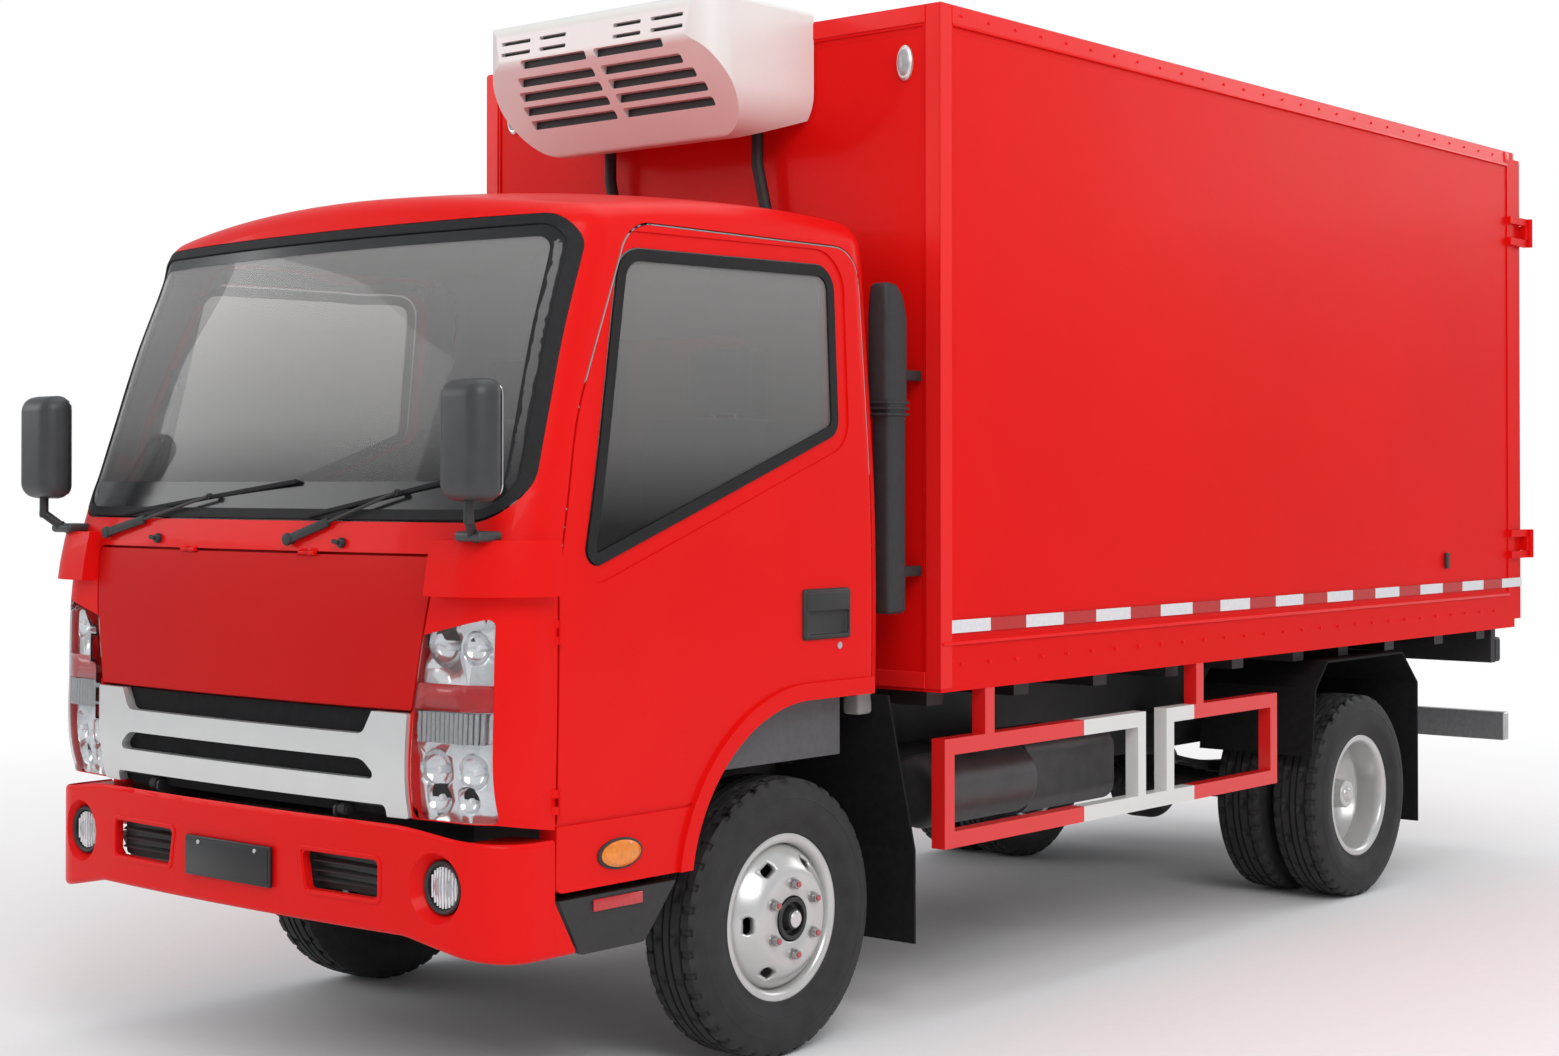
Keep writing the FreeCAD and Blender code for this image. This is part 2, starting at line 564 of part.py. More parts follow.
def cab_steps():
    """Black step boxes under the doors, open at the top, hung from the floor."""
    outer = plate("x", STEP_INNER_X, STEP_OUTER_X, [
        (STEP_FRONT_LOW_Y, STEP_LOW, 20), (STEP_REAR_LOW_Y, STEP_LOW, 30),
        (STEP_REAR_TOP_Y, STEP_TREAD, 30), (STEP_REAR_TOP_Y, SHELL_LOW - SEAT_GAP),
        (STEP_FRONT_TOP_Y, SHELL_LOW - SEAT_GAP), (STEP_FRONT_TOP_Y, STEP_TREAD)])
    well = box(STEP_INNER_X + STEP_SKIN, STEP_OUTER_X + OVERRUN, STEP_FRONT_TOP_Y + STEP_SKIN,
               STEP_REAR_TOP_Y - STEP_SKIN, STEP_TREAD, SHELL_LOW)
    beside_door = box(DOOR_SILL_HALF, STEP_OUTER_X + OVERRUN, STEP_FRONT_TOP_Y - OVERRUN,
                      STEP_REAR_TOP_Y + OVERRUN, STEP_TREAD, SHELL_LOW)
    under = box(STEP_INNER_X + STEP_SKIN, STEP_OUTER_X - STEP_SKIN,
                STEP_FRONT_LOW_Y + STEP_SKIN, STEP_REAR_LOW_Y - STEP_SKIN,
                STEP_LOW - OVERRUN, STEP_TREAD - STEP_SKIN)
    return both_sides(outer.cut(well).cut(beside_door).cut(under))


LINER_RADIUS = 463
LINER_SKIN = 8
LINER_INNER_X = 560
LINER_LOW = 610


def arch_liners():
    """Rolled liners over the front wheels, under the seat deck."""
    outer_x = DOOR_SILL_HALF
    sheet = arch_solid(LINER_RADIUS, LINER_INNER_X, outer_x)
    sheet = sheet.cut(arch_solid(LINER_RADIUS - LINER_SKIN, LINER_INNER_X - OVERRUN,
                                 outer_x + OVERRUN))
    keep = box(LINER_INNER_X, outer_x, ARCH_Y - LINER_RADIUS, CAB_REAR - CAB_WALL, LINER_LOW,
               ARCH_Z + LINER_RADIUS)
    hanger = box(LINER_INNER_X, outer_x, ARCH_Y, CAB_REAR - 2 * CAB_WALL,
                 ARCH_Z + LINER_RADIUS - LINER_SKIN, SEAT_DECK - FLOOR_THICK - SEAT_GAP)
    return both_sides(sheet.common(keep).fuse(hanger).removeSplitter().cut(door_room()))


DASH_HALF = 800
DASH_BACK_Y = -700
DASH_TOP = 1430
DASH_LOW = 1180


def dashboard():
    """Full-width moulding under the screen, resting on legs from the footwell."""
    profile = [(CAB_FRONT, DASH_LOW), (DASH_BACK_Y - 60, DASH_LOW, 40), (DASH_BACK_Y, DASH_TOP - 120, 50),
               (DASH_BACK_Y - 70, DASH_TOP, 60), (CAB_FRONT, DASH_TOP - 20)]
    body = plate("x", -DASH_HALF, DASH_HALF, profile)
    stack = box(-170, 170, DASH_BACK_Y - 230, DASH_BACK_Y - 90, FOOT_TOP + SEAT_GAP, DASH_LOW + 60)
    return fused([body, stack]).common(cab_body(CAB_WALL + SEAT_GAP))


SEAT_X = 430
SEAT_HALF = 245
BENCH_OUTER = 640
BENCH_INNER = -140
SEAT_FRONT_Y = -440
SEAT_REAR_Y = 120
CUSHION_THICK = 150
BACK_HIGH = 1760


def seat(x0, x1, headrests):
    """Cushion, leaning back and headrests of one seat, as solids that touch."""
    low, top = SEAT_DECK + SEAT_GAP, SEAT_DECK + CUSHION_THICK
    cushion = plate("x", x0, x1, [
        (SEAT_FRONT_Y, low, 20), (SEAT_REAR_Y + 40, low, 20), (SEAT_REAR_Y + 60, top, 30),
        (SEAT_FRONT_Y, top + 20, 50)])
    back = plate("x", x0, x1, [
        (SEAT_REAR_Y - 60, top + SEAT_GAP, 20), (SEAT_REAR_Y + 70, top + SEAT_GAP, 30),
        (SEAT_REAR_Y + 190, BACK_HIGH, 40), (SEAT_REAR_Y + 90, BACK_HIGH, 40)])
    pads = [plate("x", x - 130, x + 130, [
        (SEAT_REAR_Y + 110, BACK_HIGH + SEAT_GAP, 20), (SEAT_REAR_Y + 190, BACK_HIGH + SEAT_GAP, 20),
        (SEAT_REAR_Y + 200, BACK_HIGH + 200, 35), (SEAT_REAR_Y + 120, BACK_HIGH + 200, 35)])
        for x in headrests]
    return [cushion, back] + pads


def seats():
    driver = seat(SEAT_X - SEAT_HALF, SEAT_X + SEAT_HALF, [SEAT_X])
    bench = seat(-BENCH_OUTER - 40, BENCH_INNER + 60, [-SEAT_X - 20, -SEAT_X + 260])
    return Part.makeCompound(driver + bench)


WHEEL_RIM_RADIUS = 205
WHEEL_RIM_TUBE = 14
WHEEL_HUB_Y = -590
WHEEL_HUB_Z = 1440


def steering_wheel():
    """Rim, three spokes, hub and column; the column stands on the footwell floor."""
    centre = V(SEAT_X, WHEEL_HUB_Y, WHEEL_HUB_Z)
    foot = V(SEAT_X, WHEEL_HUB_Y - 260, FOOT_TOP + SEAT_GAP)
    axis = centre - foot
    axis.normalize()
    ring = Part.makeTorus(WHEEL_RIM_RADIUS, WHEEL_RIM_TUBE, centre, axis)
    hub = rod(55, centre - axis * 40, centre + axis * 12)
    column = rod(30, foot + axis * 8, centre)
    pieces = [ring, hub, column]
    side = V(1, 0, 0)
    for turn in (0, 180, 270):
        reach = FreeCAD.Rotation(axis, turn).multVec(side)
        pieces.append(rod(11, centre, centre + reach * WHEEL_RIM_RADIUS))
    floor_cut = box(0, CAB_HALF, CAB_FRONT, 0, 0, FOOT_TOP + SEAT_GAP)
    return fused(pieces).cut(floor_cut)


MIRROR_X = 888
MIRROR_HALF_WIDE = 88
MIRROR_HALF_DEEP = 42
MIRROR_LOW = 1510
MIRROR_TOP = 1815
MIRROR_FOOT_X = 850
MIRROR_FOOT_Y = -1085
MIRROR_ARM = 13


def mirrors():
    """Upright mirror heads on bent arms that stand on the corner blocks."""
    rear = BUMPER_FRONT - MIRROR_LEAD + 2 * MIRROR_HALF_DEEP
    middle_y = rear - MIRROR_HALF_DEEP
    head = plate("y", rear - 2 * MIRROR_HALF_DEEP, rear, rectangle(
        MIRROR_X - MIRROR_HALF_WIDE, MIRROR_X + MIRROR_HALF_WIDE, MIRROR_LOW, MIRROR_TOP,
        MIRROR_HALF_WIDE - 12))
    head = head.makeFillet(MIRROR_HALF_DEEP / 2, head.Edges)
    foot_z = MIRROR_BLOCK_Z + MIRROR_BLOCK_HIGH + SEAT_GAP
    foot = rod(2 * MIRROR_ARM, V(MIRROR_FOOT_X, MIRROR_FOOT_Y, foot_z),
               V(MIRROR_FOOT_X, MIRROR_FOOT_Y, foot_z + MIRROR_ARM))
    arm = bent_tube([V(MIRROR_FOOT_X, MIRROR_FOOT_Y, foot_z + MIRROR_ARM / 2),
                     V(MIRROR_FOOT_X, MIRROR_FOOT_Y, foot_z + 4 * MIRROR_ARM),
                     V(MIRROR_X, middle_y, MIRROR_LOW - MIRROR_ARM),
                     V(MIRROR_X, middle_y, MIRROR_LOW + 2 * MIRROR_ARM)], MIRROR_ARM, MIRROR_ARM)
    return both_sides(fused([head, foot, arm]))


# Chassis frame, engine, axles and springs
RAIL_FRONT = -1020
RAIL_REAR = 4690
RAIL_FLANGE = 65
RAIL_STEEL = 7
CROSS_Y = [-975, -330, 620, 1500, 2600, 3308, 3960, 4640]
CROSS_LONG = 90
CROSS_HIGH = 110
PIN_END_GAP = 6


def rail():
    """Left frame rail: a channel open to the inside, with the tilt pin at its front."""
    outer, inner = RAIL_OUTER_X, RAIL_OUTER_X - RAIL_FLANGE
    channel = box(inner, outer, RAIL_FRONT, RAIL_REAR, RAIL_BOTTOM, RAIL_TOP)
    hollow = box(inner - OVERRUN, outer - RAIL_STEEL, RAIL_FRONT - OVERRUN, RAIL_REAR + OVERRUN,
                 RAIL_BOTTOM + RAIL_STEEL, RAIL_TOP - RAIL_STEEL)
    lug = plate("x", outer - RAIL_STEEL, outer, [
        (RAIL_FRONT, RAIL_BOTTOM + OVERRUN), (RAIL_FRONT, RAIL_TOP - RAIL_STEEL),
        (TILT_Y - EAR_RADIUS, TILT_Z + EAR_RADIUS, EAR_RADIUS - 1),
        (TILT_Y - EAR_RADIUS, TILT_Z - EAR_RADIUS, EAR_RADIUS - 1)])
    pin = rod(TILT_PIN, V(outer - RAIL_STEEL, TILT_Y, TILT_Z),
              V(EAR_X + EAR_THICK + PIN_END_GAP, TILT_Y, TILT_Z))
    return fused([channel.cut(hollow), lug, pin])


def chassis_frame():
    """Ladder of two channel rails and box cross-members, with the hoop the cab rests on."""
    left = rail()
    pieces = [left, mirrored(left), cab_rest()]
    wide = RAIL_OUTER_X - RAIL_STEEL
    middle = (RAIL_TOP + RAIL_BOTTOM) / 2
    for y in CROSS_Y:
        pieces.append(box(-wide, wide, y - CROSS_LONG / 2, y + CROSS_LONG / 2,
                          middle - CROSS_HIGH / 2, middle + CROSS_HIGH / 2))
    return fused(pieces)


MOUNT_Y = 330
MOUNT_HALF_LONG = 30
MOUNT_X = 320
MOUNT_HALF_WIDE = 45


def cab_rest():
    """Hoop behind the engine with rubber pads that the tilting cab comes down on."""
    top = SEAT_DECK - FLOOR_THICK - SEAT_GAP
    legs = [box(x - MOUNT_HALF_WIDE, x + MOUNT_HALF_WIDE, MOUNT_Y - MOUNT_HALF_LONG,
                MOUNT_Y + MOUNT_HALF_LONG, RAIL_TOP, top) for x in (-MOUNT_X, MOUNT_X)]
    beam = box(-MOUNT_X, MOUNT_X, MOUNT_Y - MOUNT_HALF_LONG, MOUNT_Y + MOUNT_HALF_LONG,
               top - 3 * MOUNT_HALF_LONG, top - MOUNT_HALF_LONG)
    return fused(legs + [beam])


ENGINE_HALF = 250
ENGINE_FRONT = -640
ENGINE_REAR = 240
ENGINE_LOW = 450
ENGINE_TOP = 940
ENGINE_NOSE_TOP = 760
GEARBOX_HALF = 150
GEARBOX_REAR = 760
GEARBOX_TOP = 690


def engine():
    """Engine with its gearbox as plain blocks, carried by arms on the rails."""
    block = plate("x", -ENGINE_HALF, ENGINE_HALF, [
        (ENGINE_FRONT, ENGINE_LOW), (ENGINE_REAR, ENGINE_LOW), (ENGINE_REAR, ENGINE_TOP),
        (SEAT_RISER_Y + FLOOR_THICK, ENGINE_TOP), (SEAT_RISER_Y + FLOOR_THICK, ENGINE_NOSE_TOP),
        (ENGINE_FRONT, ENGINE_NOSE_TOP)])
    gearbox = box(-GEARBOX_HALF, GEARBOX_HALF, ENGINE_REAR, GEARBOX_REAR - CROSS_LONG, ENGINE_LOW,
                  GEARBOX_TOP)
    middle = (RAIL_TOP + RAIL_BOTTOM) / 2
    reach = RAIL_OUTER_X - RAIL_STEEL - SEAT_GAP
    arms = [box(-reach, reach, y - CROSS_LONG / 3, y + CROSS_LONG / 3, middle - CROSS_LONG / 3,
                middle + CROSS_LONG / 3) for y in (ENGINE_FRONT / 4, ENGINE_REAR / 2)]
    cross = box(-reach, reach, CROSS_Y[1] - CROSS_LONG, CROSS_Y[1] + CROSS_LONG,
                middle - CROSS_HIGH, middle + CROSS_HIGH)
    gear_cross = box(-reach, reach, CROSS_Y[2] - CROSS_LONG / 2 - SEAT_GAP,
                     GEARBOX_REAR, middle - CROSS_HIGH, middle + CROSS_HIGH)
    return fused([block, gearbox] + arms).cut(cross).cut(gear_cross)


BEAM_LOW = 285
BEAM_HALF_LONG = 38
BEAM_FLANGE = 14
BEAM_WEB = 9
BEAM_HIGH = 80
KING_BOSS_RADIUS = 34
KING_LOW = 330
KING_HIGH = 430
KING_PIN = 16
SPRING_FRONT_X = 440
SPRING_HALF_WIDE = 35
SPRING_LEAF = 9
SPRING_HALF_LONG = 600
SPRING_END_Z = 530
SPRING_CLAMP = 55


def front_axle():
    """Forged beam of I section with an eye for the kingpin at each end."""
    half = KINGPIN_X - KING_BOSS_RADIUS / 2
    flat = half - KING_BOSS_RADIUS
    beam = plate("y", -BEAM_HALF_LONG, BEAM_HALF_LONG, [
        (-half, KING_LOW), (-flat, KING_LOW), (-SPRING_FRONT_X - 120, KING_LOW - 10, 60), (-SPRING_FRONT_X - 60, BEAM_LOW, 60),
        (SPRING_FRONT_X + 60, BEAM_LOW, 60), (SPRING_FRONT_X + 120, KING_LOW - 10, 60), (flat, KING_LOW), (half, KING_LOW),
        (half, KING_HIGH - 10), (SPRING_FRONT_X + 110, KING_HIGH - 30, 60),
        (SPRING_FRONT_X + 60, BEAM_LOW + BEAM_HIGH, 60), (-SPRING_FRONT_X - 60, BEAM_LOW + BEAM_HIGH, 60),
        (-SPRING_FRONT_X - 110, KING_HIGH - 30, 60), (-half, KING_HIGH - 10)])
    for side in (-1, 1):
        slot_y = sorted((side * BEAM_WEB, side * (BEAM_HALF_LONG + OVERRUN)))
        beam = beam.cut(box(-SPRING_FRONT_X - 40, SPRING_FRONT_X + 40, slot_y[0], slot_y[1],
                            BEAM_LOW + BEAM_FLANGE, BEAM_LOW + BEAM_HIGH - BEAM_FLANGE))
    eye = rod(KING_BOSS_RADIUS, V(KINGPIN_X, 0, KING_LOW), V(KINGPIN_X, 0, KING_HIGH))
    pin_hole = rod(KING_PIN + PIN_GAP, V(KINGPIN_X, 0, KING_LOW - OVERRUN),
                   V(KINGPIN_X, 0, KING_HIGH + OVERRUN))
    return fused([beam, eye, mirrored(eye)]).cut(pin_hole).cut(mirrored(pin_hole))


YOKE_GAP = SEAT_GAP
YOKE_THICK = 34
SPINDLE_RADIUS = 24
SPINDLE_END_X = 800
STEER_ARM_LONG = 150


def knuckle():
    """Left steering knuckle: yoke on the kingpin, spindle and steering arm."""
    low, high = KING_LOW - YOKE_GAP, KING_HIGH + YOKE_GAP
    pin = rod(KING_PIN, V(KINGPIN_X, 0, low - YOKE_THICK), V(KINGPIN_X, 0, high + YOKE_THICK))
    cheeks = [rod(KING_BOSS_RADIUS, V(KINGPIN_X, 0, z), V(KINGPIN_X, 0, z + YOKE_THICK))
              for z in (low - YOKE_THICK, high)]
    face_x = KINGPIN_X + KING_BOSS_RADIUS + 2 * YOKE_GAP
    face = box(face_x, face_x + YOKE_THICK / 2, -KING_BOSS_RADIUS, KING_BOSS_RADIUS,
               low - YOKE_THICK, high + YOKE_THICK)
    links = [box(KINGPIN_X, face_x + YOKE_THICK / 2, -KING_BOSS_RADIUS, KING_BOSS_RADIUS, z,
                 z + YOKE_THICK) for z in (low - YOKE_THICK, high)]
    spindle = rod(SPINDLE_RADIUS, V(face_x, 0, WHEEL_Z), V(SPINDLE_END_X, 0, WHEEL_Z))
    arm = plate("z", low - YOKE_THICK, low - YOKE_THICK / 3, [
        (KINGPIN_X - 20, 0), (KINGPIN_X + 20, 0), (KINGPIN_X - 10, STEER_ARM_LONG, 12),
        (KINGPIN_X - 45, STEER_ARM_LONG, 12)])
    return fused([pin, face, spindle, arm] + cheeks + links)


def leaf_spring(x, y, end_z, seat_z, leaves, half_long):
    """Stack of bent leaves, longest on top, with eyes on the frame brackets."""
    rise = end_z - seat_z - leaves * SPRING_LEAF
    radius = (half_long ** 2 + rise ** 2) / (2 * rise)
    pieces = []
    for i in range(leaves):
        reach = half_long * (1 - i / (leaves + 1))
        low = seat_z + (leaves - 1 - i) * SPRING_LEAF
        angle = asin(reach / radius)
        outer, inner = radius, radius - SPRING_LEAF
        centre = V(0, y, low + radius)

        def at(r, turn):
            return centre + V(0, r * sin(turn), -r * cos(turn))
        wire = Part.Wire([Part.Arc(at(outer, -angle), at(outer, 0), at(outer, angle)).toShape(),
                          Part.makeLine(at(outer, angle), at(inner, angle)),
                          Part.Arc(at(inner, angle), at(inner, 0), at(inner, -angle)).toShape(),
                          Part.makeLine(at(inner, -angle), at(outer, -angle))])
        leaf = Part.Face(wire).extrude(V(2 * SPRING_HALF_WIDE, 0, 0))
        leaf.translate(V(x - SPRING_HALF_WIDE, 0, 0))
        pieces.append(leaf)
    for end in (y - half_long, y + half_long):
        eye = rod(2 * SPRING_LEAF, V(x - SPRING_HALF_WIDE, end, end_z), V(x + SPRING_HALF_WIDE, end, end_z))
        bracket = plate("x", RAIL_OUTER_X + SEAT_GAP, x + SPRING_HALF_WIDE, [
            (end - 4 * SPRING_LEAF, RAIL_TOP - OVERRUN), (end + 4 * SPRING_LEAF, RAIL_TOP - OVERRUN),
            (end + 2 * SPRING_LEAF, end_z), (end - 2 * SPRING_LEAF, end_z)])
        bracket = bracket.cut(box(x - SPRING_HALF_WIDE, x + SPRING_HALF_WIDE + OVERRUN, end - 5 * SPRING_LEAF,
                                  end + 5 * SPRING_LEAF, end_z - OVERRUN, end_z))
        pieces += [eye, bracket]
    pieces.append(box(x - SPRING_HALF_WIDE - SPRING_LEAF, x + SPRING_HALF_WIDE + SPRING_LEAF,
                      y - SPRING_CLAMP, y + SPRING_CLAMP, seat_z,
                      seat_z + (leaves + 1) * SPRING_LEAF))
    return fused(pieces)


REAR_TUBE_RADIUS = 58
REAR_SPRING_X = 440
REAR_SPRING_HALF_LONG = 640


def leaf_springs():
    front = leaf_spring(SPRING_FRONT_X, 0, SPRING_END_Z, BEAM_LOW + BEAM_HIGH + SEAT_GAP, 4,
                        SPRING_HALF_LONG)
    rear = leaf_spring(REAR_SPRING_X, WHEELBASE, SPRING_END_Z + OVERRUN,
                       WHEEL_Z + REAR_TUBE_RADIUS + SEAT_GAP, 5, REAR_SPRING_HALF_LONG)
    return Part.makeCompound([front, mirrored(front), rear, mirrored(rear)])


DIFF_RADIUS = 165
DIFF_HALF_WIDE = 95
REAR_TUBE_END = 600
REAR_STUB = 30
REAR_STUB_END = 820
SHAFT_RADIUS = 38


def rear_axle():
    """Banjo axle: round tubes, a domed differential housing and the shaft that drives it."""
    tube = rod(REAR_TUBE_RADIUS, V(-REAR_TUBE_END, WHEELBASE, WHEEL_Z), V(REAR_TUBE_END, WHEELBASE, WHEEL_Z))
    stub = rod(REAR_STUB, V(-REAR_STUB_END, WHEELBASE, WHEEL_Z), V(REAR_STUB_END, WHEELBASE, WHEEL_Z))
    housing = turned(V(0, WHEELBASE, WHEEL_Z), V(1, 0, 0),
                     [(-DIFF_HALF_WIDE, 0), (-DIFF_HALF_WIDE, DIFF_RADIUS, 60),
                      (DIFF_HALF_WIDE, DIFF_RADIUS, 60), (DIFF_HALF_WIDE, 0)])
    nose = rod(REAR_TUBE_RADIUS, V(0, WHEELBASE - DIFF_RADIUS - 80, WHEEL_Z + 20),
               V(0, WHEELBASE, WHEEL_Z + 20))
    return fused([tube, stub, housing, nose, drive_shaft()])


def drive_shaft():
    """Tube from the gearbox to the rear axle."""
    start = V(0, GEARBOX_REAR - CROSS_LONG + SHAFT_RADIUS / 4, (ENGINE_LOW + GEARBOX_TOP) / 2)
    end = V(0, WHEELBASE - DIFF_RADIUS - 60, WHEEL_Z + 20)
    shaft = rod(SHAFT_RADIUS, start, end)
    joints = [rod(SHAFT_RADIUS + 14, start, start + V(0, 60, 0)),
              rod(SHAFT_RADIUS + 14, end - V(0, 60, 0), end)]
    return fused([shaft] + joints)


# Wheels and tyres
RIM_HALF = 82
RIM_SEAT_RADIUS = 206
RIM_STEEL = 8
RIM_LIP = 7
WHEEL_OFFSET = (TWIN_SPACING - SEAT_GAP) / 2
DISC_THICK = 12
DISC_FLAT_RADIUS = 122
DISC_ROOT_A = 38
BOLT_CIRCLE = 95
HAND_HOLE_RADIUS = 152
HAND_HOLES = 6
HUB_RADIUS = 62
DRUM_RADIUS = 158
DRUM_WALL = 10
NUT_RADIUS = 13
NUTS = 6


def faceted_ring(x, outline):
    """Solid ring of flat faces about the wheel's axis, its outline given as (offset from x, radius)."""
    turns = [2 * pi * i / TYRE_FACETS - pi / 2 for i in range(TYRE_FACETS)]
    rows = [[V(x + offset, radius * cos(turn), WHEEL_Z + radius * sin(turn)) for turn in turns]
            for offset, radius in outline]
    faces = []
    for row, after in zip(rows, rows[1:] + rows[:1]):
        for i in range(TYRE_FACETS):
            j = (i + 1) % TYRE_FACETS
            faces.append(Part.Face(Part.makePolygon([row[i], row[j], after[j], after[i], row[i]])))
    shell = Part.Shell(faces)
    shell.sewShape()
    return Part.Solid(shell)


def tyre(x):
    """Tyre with a rounded wall, standing upright with its middle plane at x."""
    half, bead = TYRE_WIDTH / 2, RIM_HALF - RIM_LIP - 2 * SEAT_GAP
    bore = (RIM_SEAT_RADIUS + SEAT_GAP) / cos(pi / TYRE_FACETS)
    foot = (RIM_RADIUS + RIM_LIP) / cos(pi / TYRE_FACETS)
    wall = [(share * half, RIM_RADIUS + up * (TYRE_RADIUS - RIM_RADIUS)) for share, up in WALL_SHARES]
    return faceted_ring(x, [(-bead, bore), (-bead, foot)] + [(-out, radius) for out, radius in wall]
                        + wall[::-1] + [(bead, foot), (bead, bore)])


TYRE_FACETS = 48
# how far out the wall is and how high up the tyre, from its widest place to the tread's edge
WALL_SHARES = [(1.0, 0.50), (0.93, 0.83), (0.76, 1.0)]


def rim_profile(middle, side):
    """Rim section about its middle plane, its disc bulging towards side (1 or -1)."""
    seat, lip, inner = RIM_SEAT_RADIUS, RIM_RADIUS, RIM_SEAT_RADIUS - RIM_STEEL
    face, root, shoulder = WHEEL_OFFSET, DISC_ROOT_A, DISC_FLAT_RADIUS + DISC_THICK
    corners = [(-RIM_HALF, inner), (root - DISC_THICK, inner), (face - DISC_THICK, shoulder),
               (face - DISC_THICK, HUB_RADIUS), (face, HUB_RADIUS), (face, shoulder),
               (root + DISC_THICK, inner), (RIM_HALF, inner), (RIM_HALF, lip),
               (RIM_HALF - RIM_LIP, lip), (RIM_HALF - RIM_LIP, seat),
               (-RIM_HALF + RIM_LIP, seat), (-RIM_HALF + RIM_LIP, lip), (-RIM_HALF, lip)]
    return [(middle + side * corner[0],) + corner[1:] for corner in corners]


def hand_holes(middle, side):
    """Cutters for the openings round the disc, each two round holes side by side."""
    cutters = []
    for i in range(HAND_HOLES):
        turn = 2 * pi * (i + 0.5) / HAND_HOLES
        for swing in (-HAND_SWING_SHARE, HAND_SWING_SHARE):
            y, z = HAND_HOLE_RADIUS * cos(turn + swing), HAND_HOLE_RADIUS * sin(turn + swing)
            cutters.append(rod(HAND_HOLE_SMALL, V(middle + side * DISC_ROOT_A / 2, y, WHEEL_Z + z),
                               V(middle + side * (WHEEL_OFFSET + OVERRUN), y, WHEEL_Z + z)))
    return cutters


HAND_SWING_SHARE = 0.09
HAND_HOLE_SMALL = 15
FRONT_HUB_START = 758
FRONT_HUB_CAP = 930
REAR_HUB_START = 640
REAR_HUB_CAP = 905


def nuts(face_x):
    """Ring of wheel nuts standing on the disc."""
    ring = []
    for i in range(NUTS):
        turn = 2 * pi * i / NUTS
        y, z = BOLT_CIRCLE * cos(turn), BOLT_CIRCLE * sin(turn)
        ring.append(rod(NUT_RADIUS, V(face_x, y, WHEEL_Z + z), V(face_x + 2 * NUT_RADIUS, y, WHEEL_Z + z)))
    return ring


def hub_profile(start, cap, disc_x, drum_start):
    """Hub with a flange behind the disc and a brake drum at its inner end."""
    drum_end, wall = drum_start + DRUM_LONG, DRUM_WALL
    return [(start, 0), (cap, 0), (cap, HUB_RADIUS / 2), (disc_x + wall, HUB_RADIUS), (disc_x, HUB_RADIUS),
            (disc_x - DISC_THICK, DISC_FLAT_RADIUS), (disc_x - DISC_THICK - wall, DISC_FLAT_RADIUS),
            (disc_x - DISC_THICK - wall, HUB_RADIUS), (drum_end, HUB_RADIUS), (drum_end, DRUM_RADIUS),
            (drum_start, DRUM_RADIUS), (drum_start, DRUM_RADIUS - wall), (drum_end - wall, DRUM_RADIUS - wall),
            (drum_end - wall, HUB_RADIUS), (start, HUB_RADIUS)]


DRUM_LONG = 55


def front_wheel():
    """Left front wheel: rim, nuts, hub and drum round the spindle."""
    disc_x = FRONT_WHEEL_X + WHEEL_OFFSET
    wheel = turned(V(0, 0, WHEEL_Z), V(1, 0, 0), rim_profile(FRONT_WHEEL_X, 1),
                   hub_profile(FRONT_HUB_START, FRONT_HUB_CAP, disc_x, FRONT_HUB_START - DRUM_WALL),
                   bore=[(FRONT_HUB_START - OVERRUN, -OVERRUN), (SPINDLE_END_X + PIN_END_GAP, -OVERRUN),
                         (SPINDLE_END_X + PIN_END_GAP, SPINDLE_RADIUS + PIN_GAP),
                         (FRONT_HUB_START - OVERRUN, SPINDLE_RADIUS + PIN_GAP)])
    wheel = wheel.cut(Part.makeCompound(hand_holes(FRONT_WHEEL_X, 1)))
    return wheel.fuse(nuts(disc_x)).removeSplitter()


def rear_wheel():
    """Left twin wheels: two rims back to back on one hub and drum."""
    joint_x = REAR_OUTER_X - TWIN_SPACING / 2
    disc_x = REAR_OUTER_X - WHEEL_OFFSET + DISC_THICK
    inner_x = REAR_OUTER_X - TWIN_SPACING
    shim = [(joint_x - DISC_THICK, HUB_RADIUS / 2), (joint_x + DISC_THICK, HUB_RADIUS / 2),
            (joint_x + DISC_THICK, DISC_FLAT_RADIUS), (joint_x - DISC_THICK, DISC_FLAT_RADIUS)]
    wheel = turned(V(0, 0, WHEEL_Z), V(1, 0, 0), rim_profile(REAR_OUTER_X, -1), rim_profile(inner_x, 1),
                   hub_profile(REAR_HUB_START, REAR_HUB_CAP, disc_x - DISC_THICK, REAR_HUB_START - DRUM_WALL),
                   shim,
                   bore=[(REAR_HUB_START - OVERRUN, -OVERRUN), (REAR_STUB_END + PIN_END_GAP, -OVERRUN),
                         (REAR_STUB_END + PIN_END_GAP, REAR_STUB + PIN_GAP),
                         (REAR_HUB_START - OVERRUN, REAR_STUB + PIN_GAP)])
    cutters = hand_holes(inner_x, 1)
    cutters += hand_holes(REAR_OUTER_X, -1)
    wheel = wheel.cut(Part.makeCompound(cutters)).fuse(nuts(disc_x))
    wheel.translate(V(0, WHEELBASE, 0))
    return wheel


def rear_tyres():
    pair = Part.makeCompound([tyre(REAR_OUTER_X), tyre(REAR_OUTER_X - TWIN_SPACING)])
    pair.translate(V(0, WHEELBASE, 0))
    return pair


